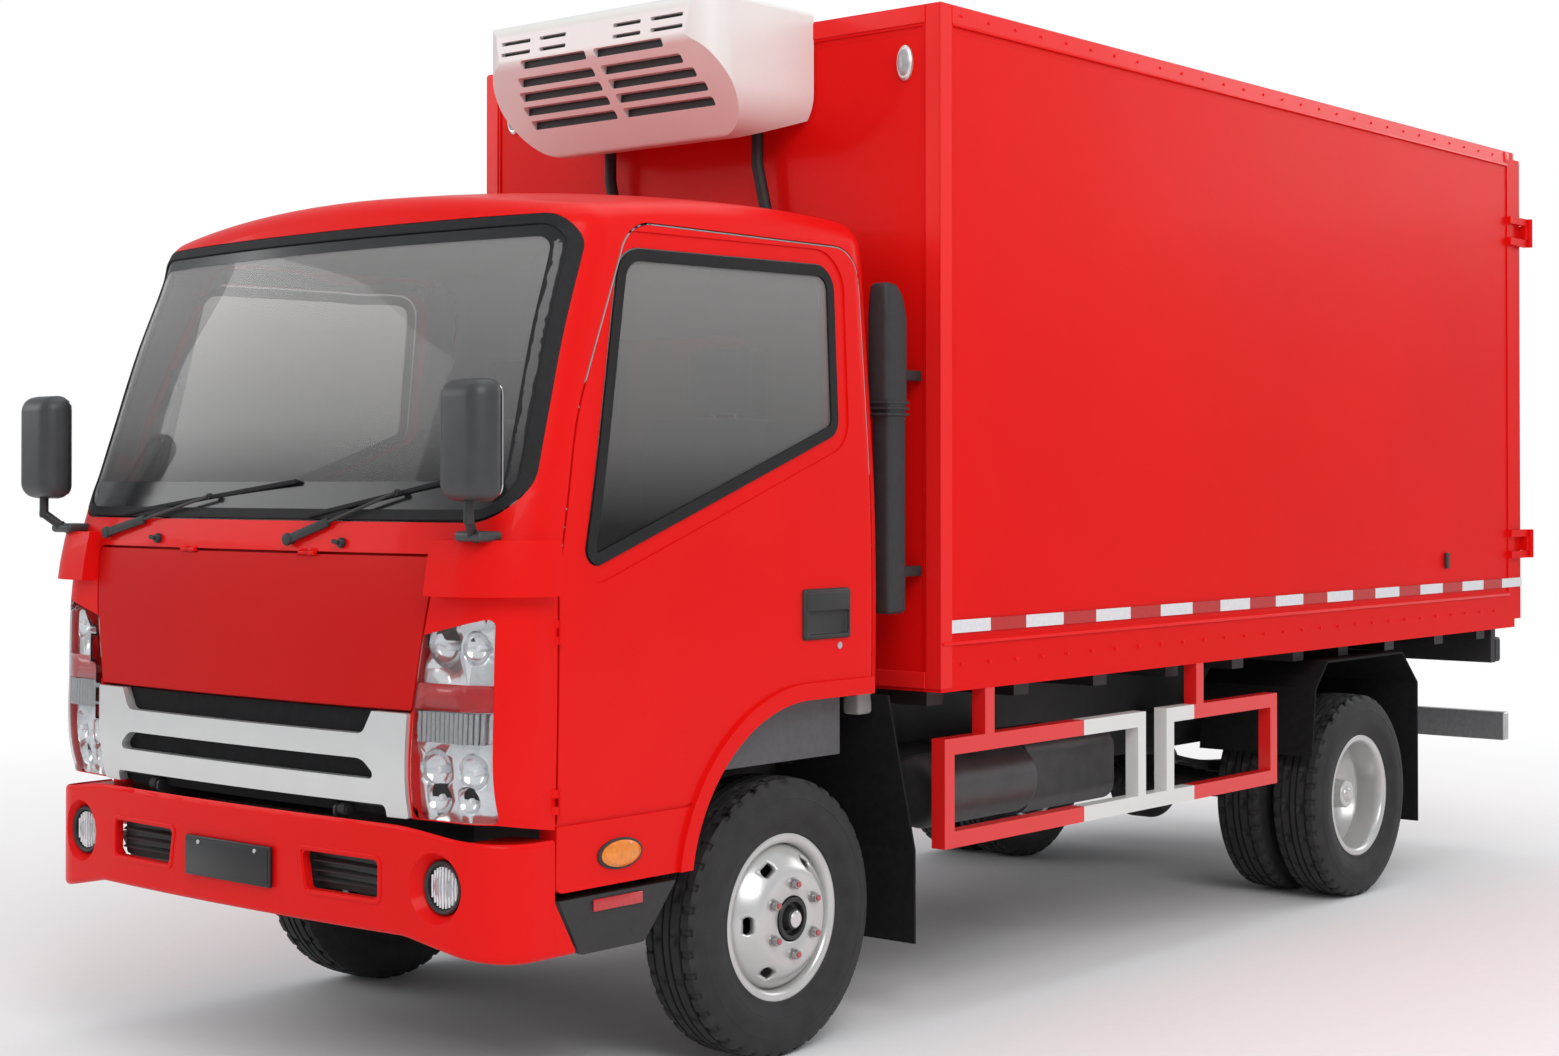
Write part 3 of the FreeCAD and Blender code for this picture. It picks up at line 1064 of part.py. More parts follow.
# Bumper, lamps and what hangs under the frame
BUMPER_TOP = 735
BUMPER_TOP_END = 700
BUMPER_LOW = 463
BUMPER_LOW_END = 408
BUMPER_SKIN = 22
BUMPER_HALF = 925
BUMPER_ARC = 9000
BUMPER_CORNER = 150
BUMPER_REAR_TOP = -903
BUMPER_REAR_LOW = -826
BUMPER_EDGE = 16
VENT_TOP = 640
VENT_OUTLINE = [(290, 545, 14), (548, 545, 14), (548, VENT_TOP, 14), (272, VENT_TOP, 14)]
FOG_X = 745
FOG_Z = 590
FOG_RADIUS = 58
FOG_DEEP = 40
FOG_MOUTH = 84
FOG_SET_BACK = 32
PLATE_OUTLINE = rectangle(-190, 190, 530, 640, 6)


def bumper_body(inset):
    """Solid bumper block with a bowed front and round corners, drawn in by inset."""
    front, half, corner = BUMPER_FRONT + inset, BUMPER_HALF - inset, BUMPER_CORNER - inset
    radius = BUMPER_ARC - inset
    arc_y = front + radius
    corner_y = arc_y - sqrt((radius - corner) ** 2 - (half - corner) ** 2)
    lean = V(half - corner, corner_y - arc_y, 0)
    lean.normalize()
    tangent = V(half - corner, corner_y, 0) + lean * corner
    slant = lean + V(1, 0, 0)
    slant.normalize()
    crest = V(half - corner, corner_y, 0) + slant * corner
    rear = BUMPER_REAR_LOW + OVERRUN
    wire = Part.Wire([
        Part.Arc(V(-tangent.x, tangent.y, 0), V(0, front, 0), V(tangent.x, tangent.y, 0)).toShape(),
        Part.Arc(V(tangent.x, tangent.y, 0), V(crest.x, crest.y, 0), V(half, corner_y, 0)).toShape(),
        Part.makeLine(V(half, corner_y, 0), V(half, rear, 0)),
        Part.makeLine(V(half, rear, 0), V(-half, rear, 0)),
        Part.makeLine(V(-half, rear, 0), V(-half, corner_y, 0)),
        Part.Arc(V(-half, corner_y, 0), V(-crest.x, crest.y, 0), V(-tangent.x, tangent.y, 0)).toShape()])
    body = Part.Face(wire).extrude(V(0, 0, BUMPER_TOP))
    face = [(-BUMPER_HALF, BUMPER_LOW_END + inset), (-FOG_X + 2 * FOG_RADIUS, BUMPER_LOW + inset, 200),
            (FOG_X - 2 * FOG_RADIUS, BUMPER_LOW + inset, 200), (BUMPER_HALF, BUMPER_LOW_END + inset),
            (BUMPER_HALF, BUMPER_TOP_END - inset), (FOG_X - 2 * FOG_RADIUS, BUMPER_TOP - inset, 900),
            (-FOG_X + 2 * FOG_RADIUS, BUMPER_TOP - inset, 900), (-BUMPER_HALF, BUMPER_TOP_END - inset)]
    body = body.common(plate("y", BUMPER_FRONT - OVERRUN, 0, face))
    if not inset:
        rim_edges = [e for e in body.Edges
                     if min(v.Y for v in e.Vertexes) < rear - 1 and not e.BoundBox.ZLength > BUMPER_SKIN * 4]
        body = body.makeFillet(BUMPER_EDGE, rim_edges)
    return body


def fog_cone(wall):
    """Cone of the lamp recess, thicker all round by a wall and longer by it at its end."""
    slope = (FOG_MOUTH - FOG_RADIUS) / FOG_DEEP
    long = FOG_DEEP + OVERRUN + wall
    cone = Part.makeCone(FOG_MOUTH + wall + slope * OVERRUN, FOG_RADIUS + wall - slope * wall, long,
                         V(FOG_X, BUMPER_FRONT - OVERRUN + FOG_SET_BACK, FOG_Z), V(0, 1, 0))
    return cone


def front_bumper():
    """Pressed bumper that wraps round the corners, with vents and lamp and plate seats."""
    shell = bumper_body(0)
    core = bumper_body(BUMPER_SKIN)
    core.translate(V(0, OVERRUN / 100, 0))
    shell = shell.cut(core)
    side = plate("x", -BUMPER_HALF - OVERRUN, BUMPER_HALF + OVERRUN, [
        (BUMPER_FRONT - OVERRUN, 0), (BUMPER_REAR_LOW + OVERRUN / 10, 0), (BUMPER_REAR_LOW, BUMPER_LOW_END),
        (BUMPER_REAR_TOP, STEP_TREAD), (BUMPER_REAR_TOP, BUMPER_TOP + OVERRUN),
        (BUMPER_FRONT - OVERRUN, BUMPER_TOP + OVERRUN)])
    shell = shell.common(side)
    front = BUMPER_FRONT - OVERRUN
    vent = plate("y", front, 0, VENT_OUTLINE)
    lamp = rod(FOG_RADIUS, V(FOG_X, front, FOG_Z), V(FOG_X, -CAB_HALF, FOG_Z))
    cup = fog_cone(BUMPER_SKIN / 2).common(bumper_body(BUMPER_SKIN / 2))
    shell = fused([shell, cup, mirrored(cup)])
    bowl = fog_cone(0)
    shell = shell.cut(bowl).cut(mirrored(bowl))
    for cut in (vent, mirrored(vent), lamp, mirrored(lamp)):
        shell = shell.cut(cut)
    well = bumper_body(BUMPER_RIM)
    well.translate(V(0, 0, BUMPER_SKIN))
    shell = shell.cut(well.common(box(-BUMPER_HALF, BUMPER_HALF, front, 0, BUMPER_WELL_LOW,
                                      BUMPER_TOP + OVERRUN)))
    under = bumper_body(2 * BUMPER_SKIN)
    under.translate(V(0, 0, -3 * BUMPER_SKIN))
    shell = shell.cut(under.common(box(-BUMPER_HALF, BUMPER_HALF, front, 0, 0, BUMPER_LOW + 2 * BUMPER_SKIN)))
    arms = [box(x - BUMPER_ARM / 2, x + BUMPER_ARM / 2, BUMPER_FRONT + BUMPER_SKIN - BUMPER_EDGE / 4,
                RAIL_FRONT - SEAT_GAP, VENT_TOP + BUMPER_EDGE / 2, VENT_TOP + BUMPER_ARM)
            for x in (-RAIL_IN_X, RAIL_IN_X)]
    behind = box(-BUMPER_HALF - OVERRUN, BUMPER_HALF + OVERRUN, BUMPER_REAR_TOP, 0, 0, BUMPER_TOP + OVERRUN)
    tails = shell.common(behind)
    tails.translate(V(0, SEAT_GAP, 0))
    return Part.makeCompound([fused([shell.cut(behind)] + arms), tails])


BUMPER_ARM = 50
BUMPER_RIM = 6
BUMPER_WELL_LOW = 695
RAIL_IN_X = RAIL_OUTER_X - RAIL_FLANGE / 2


def small_lamps():
    """Fog lamps in the bumper and marker lamps high on the front of the box."""
    front = BUMPER_FRONT + FOG_SET_BACK + FOG_DEEP - BUMPER_SKIN / 2
    lamp = rod(FOG_RADIUS - SEAT_GAP, V(FOG_X, front, FOG_Z), V(FOG_X, front + FOG_DEEP, FOG_Z))
    marker = plate("y", BOX_FRONT - MARKER_PROUD, BOX_FRONT + SIDE_RAIL_PROUD - SEAT_GAP, rectangle(
        MARKER_X - MARKER_HALF_WIDE, MARKER_X + MARKER_HALF_WIDE, MARKER_Z - MARKER_HALF_HIGH,
        MARKER_Z + MARKER_HALF_HIGH, MARKER_HALF_WIDE - 1))
    return both_sides(Part.makeCompound([lamp, marker]))


MARKER_X = 835
MARKER_Z = 2800
MARKER_PROUD = 22
MARKER_HALF_WIDE = 27
MARKER_HALF_HIGH = 50
MUD_SKIN = 8
MUD_INNER_X = 520
MUD_OUTER_X = 925
MUD_LOW = 232
FRONT_MUD_TOP_Y = 410
FRONT_MUD_TOP_Z = 955
FRONT_MUD_LOW_Y = 535
FRONT_MUD_KNEE_Z = 500


def sheet_x(points, thick, x0, x1):
    """Sheet that follows points (y, z) and is thick to the rear or top of them."""
    wire = Part.makePolygon([V(x0, y, z) for y, z in points])
    offset = [V(x0, y, z) for y, z in points]
    back = []
    for i, here in enumerate(offset):
        a = offset[max(i - 1, 0)]
        b = offset[min(i + 1, len(offset) - 1)]
        run = b - a
        run.normalize()
        back.append(here + V(0, -run.z, run.y) * thick)
    face = Part.Face(Part.makePolygon(offset + back[::-1] + [offset[0]]))
    return face.extrude(V(x1 - x0, 0, 0))


def front_mudguards():
    """Sloping guards with flaps behind the front wheels, on arms from the rails."""
    points = [(FRONT_MUD_LOW_Y, MUD_LOW), (FRONT_MUD_LOW_Y, FRONT_MUD_KNEE_Z),
              (FRONT_MUD_TOP_Y, FRONT_MUD_TOP_Z)]
    guard = sheet_x(points, -MUD_SKIN, MUD_INNER_X, MUD_OUTER_X)
    arm_z = RAIL_BOTTOM + BUMPER_ARM
    arm = rod(SHAFT_RADIUS / 2, V(RAIL_OUTER_X + SEAT_GAP, FRONT_MUD_LOW_Y, arm_z),
              V(MUD_OUTER_X - BUMPER_ARM, FRONT_MUD_LOW_Y, arm_z))
    up_share = (arm_z - FRONT_MUD_KNEE_Z) / (FRONT_MUD_TOP_Z - FRONT_MUD_KNEE_Z)
    guard_y = FRONT_MUD_LOW_Y - up_share * (FRONT_MUD_LOW_Y - FRONT_MUD_TOP_Y)
    tab = box(MUD_INNER_X + BUMPER_ARM, MUD_OUTER_X - BUMPER_ARM, guard_y + MUD_SKIN / 4,
              FRONT_MUD_LOW_Y, arm_z - MUD_SKIN, arm_z + MUD_SKIN)
    return both_sides(fused([guard, arm, tab]))


REAR_MUD_HALF = 400
REAR_MUD_TOP = 897 - SEAT_GAP
REAR_MUD_INNER_X = 490
REAR_MUD_LOW = 560


def rear_mudguards():
    """Black guards over the twin wheels, under the cross bearers, with flaps behind."""
    y, half = WHEELBASE, REAR_MUD_HALF
    points = [(y + half + 70, MUD_LOW), (y + half + 70, REAR_MUD_TOP - 120), (y + half - 60, REAR_MUD_TOP),
              (y - half + 120, REAR_MUD_TOP), (y - half + 30, REAR_MUD_TOP - 90), (y - half, REAR_MUD_LOW)]
    guard = sheet_x(points, -MUD_SKIN, REAR_MUD_INNER_X, BOX_HALF - MUD_SKIN)
    return both_sides(guard)


TANK_FRONT = 1350
TANK_REAR = 2150
TANK_INNER_X = 450
TANK_OUTER_X = 860
TANK_LOW = 385
TANK_TOP = 745


def side_tank(front, rear, x_in, x_out, low, top):
    """Rounded tank on the right side of the frame, with its two saddle brackets."""
    body = plate("y", front, rear, rectangle(x_in, x_out, low, top, 60))
    straps = [box(RAIL_OUTER_X + SEAT_GAP, x_in + BUMPER_ARM, y - BUMPER_ARM / 2, y + BUMPER_ARM / 2,
                  RAIL_BOTTOM + BUMPER_ARM, RAIL_BOTTOM + 2 * BUMPER_ARM)
              for y in (front + 2 * BUMPER_ARM, rear - 2 * BUMPER_ARM)]
    return fused([body] + straps)


def fuel_tank():
    tank = side_tank(TANK_FRONT, TANK_REAR, TANK_INNER_X, TANK_OUTER_X, TANK_LOW, TANK_TOP)
    return mirrored(tank)


BATTERY_FRONT = 1290
BATTERY_REAR = 1790
AIR_TANK_RADIUS = 110
AIR_TANK_FRONT = 700
AIR_TANK_REAR = 1230


def battery_box():
    return side_tank(BATTERY_FRONT, BATTERY_REAR, TANK_INNER_X, TANK_OUTER_X - BUMPER_ARM, RAIL_BOTTOM - BUMPER_ARM,
                     TANK_TOP)


def air_tanks():
    """Two lengthwise pressure tanks on the left side, joined by straps to the rail."""
    z = RAIL_TOP - AIR_TANK_RADIUS
    pieces = []
    for x in (TANK_INNER_X + AIR_TANK_RADIUS, TANK_INNER_X + 3.1 * AIR_TANK_RADIUS):
        tank = rod(AIR_TANK_RADIUS, V(x, AIR_TANK_FRONT, z), V(x, AIR_TANK_REAR, z))
        pieces.append(tank.makeFillet(AIR_TANK_RADIUS / 3, [e for e in tank.Edges if e.Closed and e.Length > AIR_TANK_RADIUS * 6]))
    for y in (AIR_TANK_FRONT + 2 * BUMPER_ARM, AIR_TANK_REAR - 2 * BUMPER_ARM):
        pieces.append(box(RAIL_OUTER_X + SEAT_GAP, TANK_INNER_X + 3 * AIR_TANK_RADIUS, y - BUMPER_ARM / 2,
                          y + BUMPER_ARM / 2, z - BUMPER_ARM / 4, z + BUMPER_ARM / 4))
    return fused(pieces)


GUARD_TUBE = 48
GUARD_FRONT = 631
GUARD_REAR = 2625
GUARD_SPLIT = 1740
GUARD_NEXT = 1870
GUARD_LOW = 495
GUARD_TOP = 815
GUARD_POSTS = [858, 2087]


def side_guards():
    """Two welded frames on a common lower rail each side, hung from posts under the box."""
    x0, x1 = BOX_HALF - GUARD_TUBE, BOX_HALF - SEAT_GAP
    low = GUARD_LOW
    bars = [box(x0, x1, GUARD_FRONT, GUARD_REAR, low, low + GUARD_TUBE)]
    for y0, y1 in ((GUARD_FRONT, GUARD_SPLIT), (GUARD_NEXT, GUARD_REAR)):
        bars.append(box(x0, x1, y0, y1, GUARD_TOP - GUARD_TUBE, GUARD_TOP))
        bars.append(box(x0, x1, y0, y0 + GUARD_TUBE, low, GUARD_TOP))
        bars.append(box(x0, x1, y1 - GUARD_TUBE, y1, low, GUARD_TOP))
    for y in GUARD_POSTS:
        bars.append(box(x0, x1, y - GUARD_TUBE / 2, y + GUARD_TUBE / 2, GUARD_TOP - GUARD_TUBE,
                        BOX_BOTTOM - SEAT_GAP))
    return both_sides(fused(bars))


UNDERRUN_LOW = 470
UNDERRUN_TOP = 588
UNDERRUN_Y = 4690
UNDERRUN_THICK = 45
UNDERRUN_HALF = 928


def rear_underrun():
    """Rear bar on two brackets that drop from the rails."""
    bar = box(-UNDERRUN_HALF, UNDERRUN_HALF, UNDERRUN_Y, UNDERRUN_Y + UNDERRUN_THICK, UNDERRUN_LOW, UNDERRUN_TOP)
    bar = bar.makeFillet(UNDERRUN_THICK / 4, [e for e in bar.Edges if e.Length < UNDERRUN_HALF])
    legs = [box(x, x + 4 * MUD_SKIN, RAIL_REAR + SEAT_GAP, UNDERRUN_Y + UNDERRUN_THICK / 2, UNDERRUN_LOW,
                RAIL_TOP) for x in (RAIL_OUTER_X - RAIL_FLANGE, -RAIL_OUTER_X + RAIL_FLANGE - 4 * MUD_SKIN)]
    return fused([bar] + legs)


LAMP_BAR_Y = 4640
LAMP_BAR_LOW = 800
LAMP_BAR_TOP = 905
TAIL_LAMP_HALF = 200
TAIL_LAMP_X = 690


def tail_lamps():
    """Tail lamp units and the bar that carries them under the rear sill."""
    bar = box(-UNDERRUN_HALF + OVERRUN, UNDERRUN_HALF - OVERRUN, LAMP_BAR_Y, LAMP_BAR_Y + UNDERRUN_THICK,
              LAMP_BAR_LOW, BOX_BOTTOM - SEAT_GAP)
    lamp = plate("y", LAMP_BAR_Y + UNDERRUN_THICK, LAMP_BAR_Y + 2 * UNDERRUN_THICK, rectangle(
        TAIL_LAMP_X - TAIL_LAMP_HALF, TAIL_LAMP_X + TAIL_LAMP_HALF, LAMP_BAR_LOW, LAMP_BAR_TOP, 14))
    return fused([bar, lamp, mirrored(lamp)])


INTAKE_X = 880
INTAKE_HALF = 40
INTAKE_Y = 475
INTAKE_DEEP = 34
INTAKE_TOP = 2150
INTAKE_LOW = 1185


def air_intake():
    """Flat intake duct that stands behind the left corner of the cab on the box wall."""
    front, rear = INTAKE_Y - INTAKE_DEEP / 2, INTAKE_Y + INTAKE_DEEP
    duct = plate("x", INTAKE_X - INTAKE_HALF, INTAKE_X + INTAKE_HALF, [
        (front, INTAKE_LOW), (rear, INTAKE_LOW), (rear, INTAKE_TOP - 2 * INTAKE_HALF, INTAKE_DEEP),
        (front, INTAKE_TOP, INTAKE_DEEP / 3), (front - INTAKE_DEEP / 2, INTAKE_TOP - INTAKE_DEEP, INTAKE_DEEP / 3),
        (front, INTAKE_TOP - 4 * INTAKE_HALF, INTAKE_DEEP)])
    stays = [box(INTAKE_X - INTAKE_HALF / 2, INTAKE_X + INTAKE_HALF / 2, INTAKE_Y,
                 BOX_FRONT + SIDE_RAIL_PROUD - SEAT_GAP, z, z + INTAKE_HALF) for z in (INTAKE_LOW + INTAKE_HALF, INTAKE_TOP - 6 * INTAKE_HALF)]
    return fused([duct] + stays)


# Insulated box
FLOOR_HIGH = 100
BEARER_HIGH = 47
SILL_HALF_WIDE = 40
BOX_REAR = REAR_TIP - 133
BEARER_Y = [700, 1150, 1600, 2050, 2500, 2950, 3308, 3700, 4150, 4560]
SIDE_RAIL_TOP = 1105
SIDE_RAIL_PROUD = 5
POST_WIDE = 62
INNER_HALF = BOX_HALF - SIDE_RAIL_PROUD - BOX_WALL


def box_floor():
    """Insulated floor on cross bearers and two long sills."""
    slab = box(-INNER_HALF, INNER_HALF, BOX_FRONT + BOX_WALL, BOX_REAR - POST_WIDE, BOX_BOTTOM,
               BOX_BOTTOM + FLOOR_HIGH)
    pieces = [slab]
    wide = BOX_HALF - GUARD_TUBE - OVERRUN
    for y in BEARER_Y:
        pieces.append(box(-wide, wide, y - SILL_HALF_WIDE, y + SILL_HALF_WIDE, BOX_BOTTOM - BEARER_HIGH,
                          BOX_BOTTOM))
    for x in (-RAIL_IN_X, RAIL_IN_X):
        pieces.append(box(x - SILL_HALF_WIDE, x + SILL_HALF_WIDE, BOX_FRONT + OVERRUN, LAMP_BAR_Y - OVERRUN,
                          RAIL_TOP + SEAT_GAP, BOX_BOTTOM - BEARER_HIGH))
    return fused(pieces)


def box_wall_left():
    """Left wall panel with its lower side rail."""
    x0, x1 = INNER_HALF + SEAT_GAP, BOX_HALF - SIDE_RAIL_PROUD
    panel = box(x0, x1, BOX_FRONT + BOX_WALL, BOX_REAR - POST_WIDE, BOX_BOTTOM, BOX_TOP - BOX_WALL)
    rail_bar = box(x1, BOX_HALF, BOX_FRONT + POST_WIDE, BOX_REAR - POST_WIDE, BOX_BOTTOM, SIDE_RAIL_TOP)
    return fused([panel, rail_bar])


def box_front_wall():
    return box(SIDE_RAIL_PROUD - BOX_HALF, BOX_HALF - SIDE_RAIL_PROUD, BOX_FRONT + SIDE_RAIL_PROUD,
               BOX_FRONT + BOX_WALL - SEAT_GAP, BOX_BOTTOM, BOX_TOP - BOX_WALL)


def box_roof():
    return box(SIDE_RAIL_PROUD - BOX_HALF, BOX_HALF - SIDE_RAIL_PROUD, BOX_FRONT + SIDE_RAIL_PROUD,
               BOX_REAR - POST_WIDE, BOX_TOP - BOX_WALL + SEAT_GAP, BOX_TOP - SIDE_RAIL_PROUD)


def box_trims():
    """Corner posts at the front and rails along the roof edges, as one welded frame."""
    wide, thin = POST_WIDE, SIDE_RAIL_PROUD
    outer = box(-BOX_HALF, BOX_HALF, BOX_FRONT, BOX_REAR - POST_WIDE, BOX_BOTTOM, BOX_TOP)
    core = box(thin - BOX_HALF - SEAT_GAP, BOX_HALF - thin + SEAT_GAP, BOX_FRONT + thin - SEAT_GAP, BOX_REAR, BOX_BOTTOM - thin,
               BOX_TOP - thin + SEAT_GAP)
    shell = outer.cut(core)
    keep_side = box(-BOX_HALF - thin, BOX_HALF + thin, BOX_FRONT + wide, BOX_REAR, 0, BOX_TOP - wide)
    keep_top = box(wide - BOX_HALF, BOX_HALF - wide, BOX_FRONT + wide, BOX_REAR, BOX_BOTTOM, BOX_TOP + wide)
    keep_front = box(wide - BOX_HALF, BOX_HALF - wide, 0, BOX_FRONT + wide / 2, BOX_BOTTOM - wide, BOX_TOP - wide)
    return shell.cut(keep_side).cut(keep_top).cut(keep_front)


def box_rear_frame():
    """Rear portal that the doors shut against, with the hinge brackets on its posts."""
    y0, y1 = BOX_REAR - POST_WIDE + SEAT_GAP, BOX_REAR
    frame = box(-BOX_HALF, BOX_HALF, y0, y1, BOX_BOTTOM, BOX_TOP)
    hole = box(-INNER_HALF, INNER_HALF, y0 - OVERRUN, y1 + OVERRUN, BOX_BOTTOM + FLOOR_HIGH,
               BOX_TOP - BOX_WALL)
    brackets = []
    for z in REAR_HINGE_Z:
        for low in (z - REAR_HINGE_HALF, z + REAR_HINGE_HALF / 2):
            high = low + REAR_HINGE_HALF / 2
            arm = box(BOX_HALF - REAR_PIN, BOX_HALF + REAR_BRACKET, y0, REAR_HINGE_Y, low, high)
            knuckle_eye = rod(REAR_BARREL, V(REAR_HINGE_X, REAR_HINGE_Y, low), V(REAR_HINGE_X, REAR_HINGE_Y, high))
            brackets += [arm, knuckle_eye]
        brackets.append(rod(REAR_PIN, V(REAR_HINGE_X, REAR_HINGE_Y, z - REAR_HINGE_HALF),
                            V(REAR_HINGE_X, REAR_HINGE_Y, z + REAR_HINGE_HALF)))
    left = fused(brackets)
    return fused([frame.cut(hole), left, mirrored(left)])


REAR_BARREL = 11
REAR_PIN = 5
REAR_BRACKET = 16
REAR_HINGE_X = BOX_HALF + 2 * REAR_BARREL
REAR_HINGE_Y = REAR_TIP - REAR_BARREL
REAR_HINGE_BACK = 30
REAR_HINGE_HALF = 60
REAR_HINGE_Z = [1304, 2631]
REAR_DOOR_OUT = REAR_HINGE_Y - REAR_HINGE_BACK
REAR_DOOR_EDGE = BOX_HALF - 12
REAR_DOOR_LOW = 985
REAR_DOOR_TOP = 2940
REAR_DOOR_MEET = 4


def rear_door():
    """Left insulated rear door with three hinge straps."""
    panel = box(REAR_DOOR_MEET, REAR_DOOR_EDGE, REAR_DOOR_OUT - BOX_WALL, REAR_DOOR_OUT, REAR_DOOR_LOW,
                REAR_DOOR_TOP)
    pieces = [panel]
    strap_in = REAR_DOOR_EDGE - 3 * POST_WIDE
    for z in REAR_HINGE_Z:
        low, high = z - REAR_HINGE_HALF / 2 + SEAT_GAP, z + REAR_HINGE_HALF / 2 - SEAT_GAP
        strap = box(strap_in, REAR_HINGE_X - REAR_BARREL / 2, REAR_DOOR_OUT, REAR_DOOR_OUT + MUD_SKIN, low, high)
        link = plate("z", low, high, [
            (REAR_DOOR_EDGE - MUD_SKIN, REAR_DOOR_OUT), (REAR_HINGE_X - REAR_BARREL / 2, REAR_DOOR_OUT),
            (REAR_HINGE_X, REAR_HINGE_Y), (REAR_HINGE_X - REAR_BARREL / 2, REAR_HINGE_Y + REAR_BARREL / 2)])
        eye = rod(REAR_BARREL, V(REAR_HINGE_X, REAR_HINGE_Y, low), V(REAR_HINGE_X, REAR_HINGE_Y, high))
        hole = rod(REAR_PIN + PIN_GAP, V(REAR_HINGE_X, REAR_HINGE_Y, low - OVERRUN),
                   V(REAR_HINGE_X, REAR_HINGE_Y, high + OVERRUN))
        pieces.append(fused([strap, link, eye]).cut(hole))
    return fused(pieces)


LOCK_ROD = 11
LOCK_OFF = 16
LOCK_X = 330
LOCK_HANDLE_Z = 1330
LOCK_HANDLE_LONG = 300


def lock_gear():
    """Upright lock rod in four guides, with its handle, on the left rear door."""
    y = REAR_DOOR_OUT + LOCK_OFF
    bar = rod(LOCK_ROD, V(LOCK_X, y, REAR_DOOR_LOW + OVERRUN / 4), V(LOCK_X, y, REAR_DOOR_TOP - OVERRUN / 4))
    pieces = [bar]
    for z in (REAR_DOOR_LOW + 2 * OVERRUN, LOCK_HANDLE_Z + 3 * OVERRUN, BOX_TOP - 20 * OVERRUN,
              REAR_DOOR_TOP - 2 * OVERRUN):
        pieces.append(box(LOCK_X - OVERRUN, LOCK_X + OVERRUN, REAR_DOOR_OUT + SEAT_GAP, y + LOCK_ROD / 2,
                          z - OVERRUN / 2, z + OVERRUN / 2))
    pieces.append(box(LOCK_X - LOCK_HANDLE_LONG, LOCK_X, y, y + LOCK_ROD, LOCK_HANDLE_Z - LOCK_ROD,
                      LOCK_HANDLE_Z + LOCK_ROD))
    return fused(pieces)


# Cooling unit on the front wall
UNIT_HALF = 487
UNIT_TOP = 2992
UNIT_LOW = 2598
UNIT_REAR_LOW = 2665
UNIT_NOSE_Y = 132
UNIT_CHIN_Y = 350
UNIT_STRIP_Z = 2862
UNIT_PLAN_CORNER = 110
UNIT_LOW_CORNER = 150
UNIT_TOP_CORNER = 45
UNIT_EDGE = 14
LOUVRE_DEEP = 45
LOUVRE_HIGH = 25
LOUVRE_POST = 18
# height of each row's middle, and how far its outer end lies from the middle post
LOUVRES = [(2858, 300), (2811, 345), (2772, 370), (2733, 386), (2693, 385)]
STRIP_LOUVRES = [(100, 215), (255, 385)]
STRIP_LOUVRE_HIGH = 12
STRIP_LOUVRE_Z = [2896, 2930]


def slot_across(x0, x1, middle_z, high, radius):
    """Level slot with rounded ends, cut from the front."""
    return plate("y", 0, BOX_FRONT, rectangle(x0, x1, middle_z - high / 2, middle_z + high / 2, radius))


def cooling_unit():
    """Moulded casing of the cooling unit: a sloping chin with louvres under a level brow."""
    side = plate("x", -UNIT_HALF, UNIT_HALF, [
        (BOX_FRONT - SEAT_GAP, UNIT_REAR_LOW), (UNIT_CHIN_Y + UNIT_TOP_CORNER, UNIT_LOW, UNIT_TOP_CORNER),
        (UNIT_CHIN_Y, UNIT_LOW, UNIT_TOP_CORNER / 2), (UNIT_NOSE_Y, UNIT_STRIP_Z, UNIT_TOP_CORNER),
        (UNIT_NOSE_Y + UNIT_EDGE / 2, UNIT_TOP, UNIT_TOP_CORNER), (BOX_FRONT - SEAT_GAP, UNIT_TOP)])
    front = plate("y", 0, BOX_FRONT, [
        (-UNIT_HALF, UNIT_LOW, UNIT_LOW_CORNER), (UNIT_HALF, UNIT_LOW, UNIT_LOW_CORNER),
        (UNIT_HALF, UNIT_TOP, UNIT_EDGE), (-UNIT_HALF, UNIT_TOP, UNIT_EDGE)])
    plan = plate("z", UNIT_LOW - OVERRUN, UNIT_TOP + OVERRUN, [
        (-UNIT_HALF, UNIT_NOSE_Y, UNIT_PLAN_CORNER), (UNIT_HALF, UNIT_NOSE_Y, UNIT_PLAN_CORNER),
        (UNIT_HALF, BOX_FRONT), (-UNIT_HALF, BOX_FRONT)])
    body = side.common(front).common(plan)
    core = body.copy()
    core.translate(V(0, LOUVRE_DEEP, 0))
    slots = []
    for z, reach in LOUVRES:
        slots.append(slot_across(LOUVRE_POST, reach, z, LOUVRE_HIGH, LOUVRE_HIGH / 3))
    for x0, x1 in STRIP_LOUVRES:
        for z in STRIP_LOUVRE_Z:
            slots.append(slot_across(x0, x1, z, STRIP_LOUVRE_HIGH, STRIP_LOUVRE_HIGH / 3))
    slots += [mirrored(slot) for slot in slots]
    return body.cut(Part.makeCompound(slots).cut(core))


HOSE_RADIUS = 19
HOSE_X = [(-325, -295, -335), (305, 340, 335)]
HOSE_Y = 560
HOSE_WALL_Y = 580
HOSE_TOP = 2643
HOSE_KINK_TOP = 2540
HOSE_KINK_LOW = 2330
HOSE_BEND_TOP = 1200
HOSE_BEND_LOW = 1000
CLIP_Z = [2200, 1650, 900]
CLIP_HALF = 14


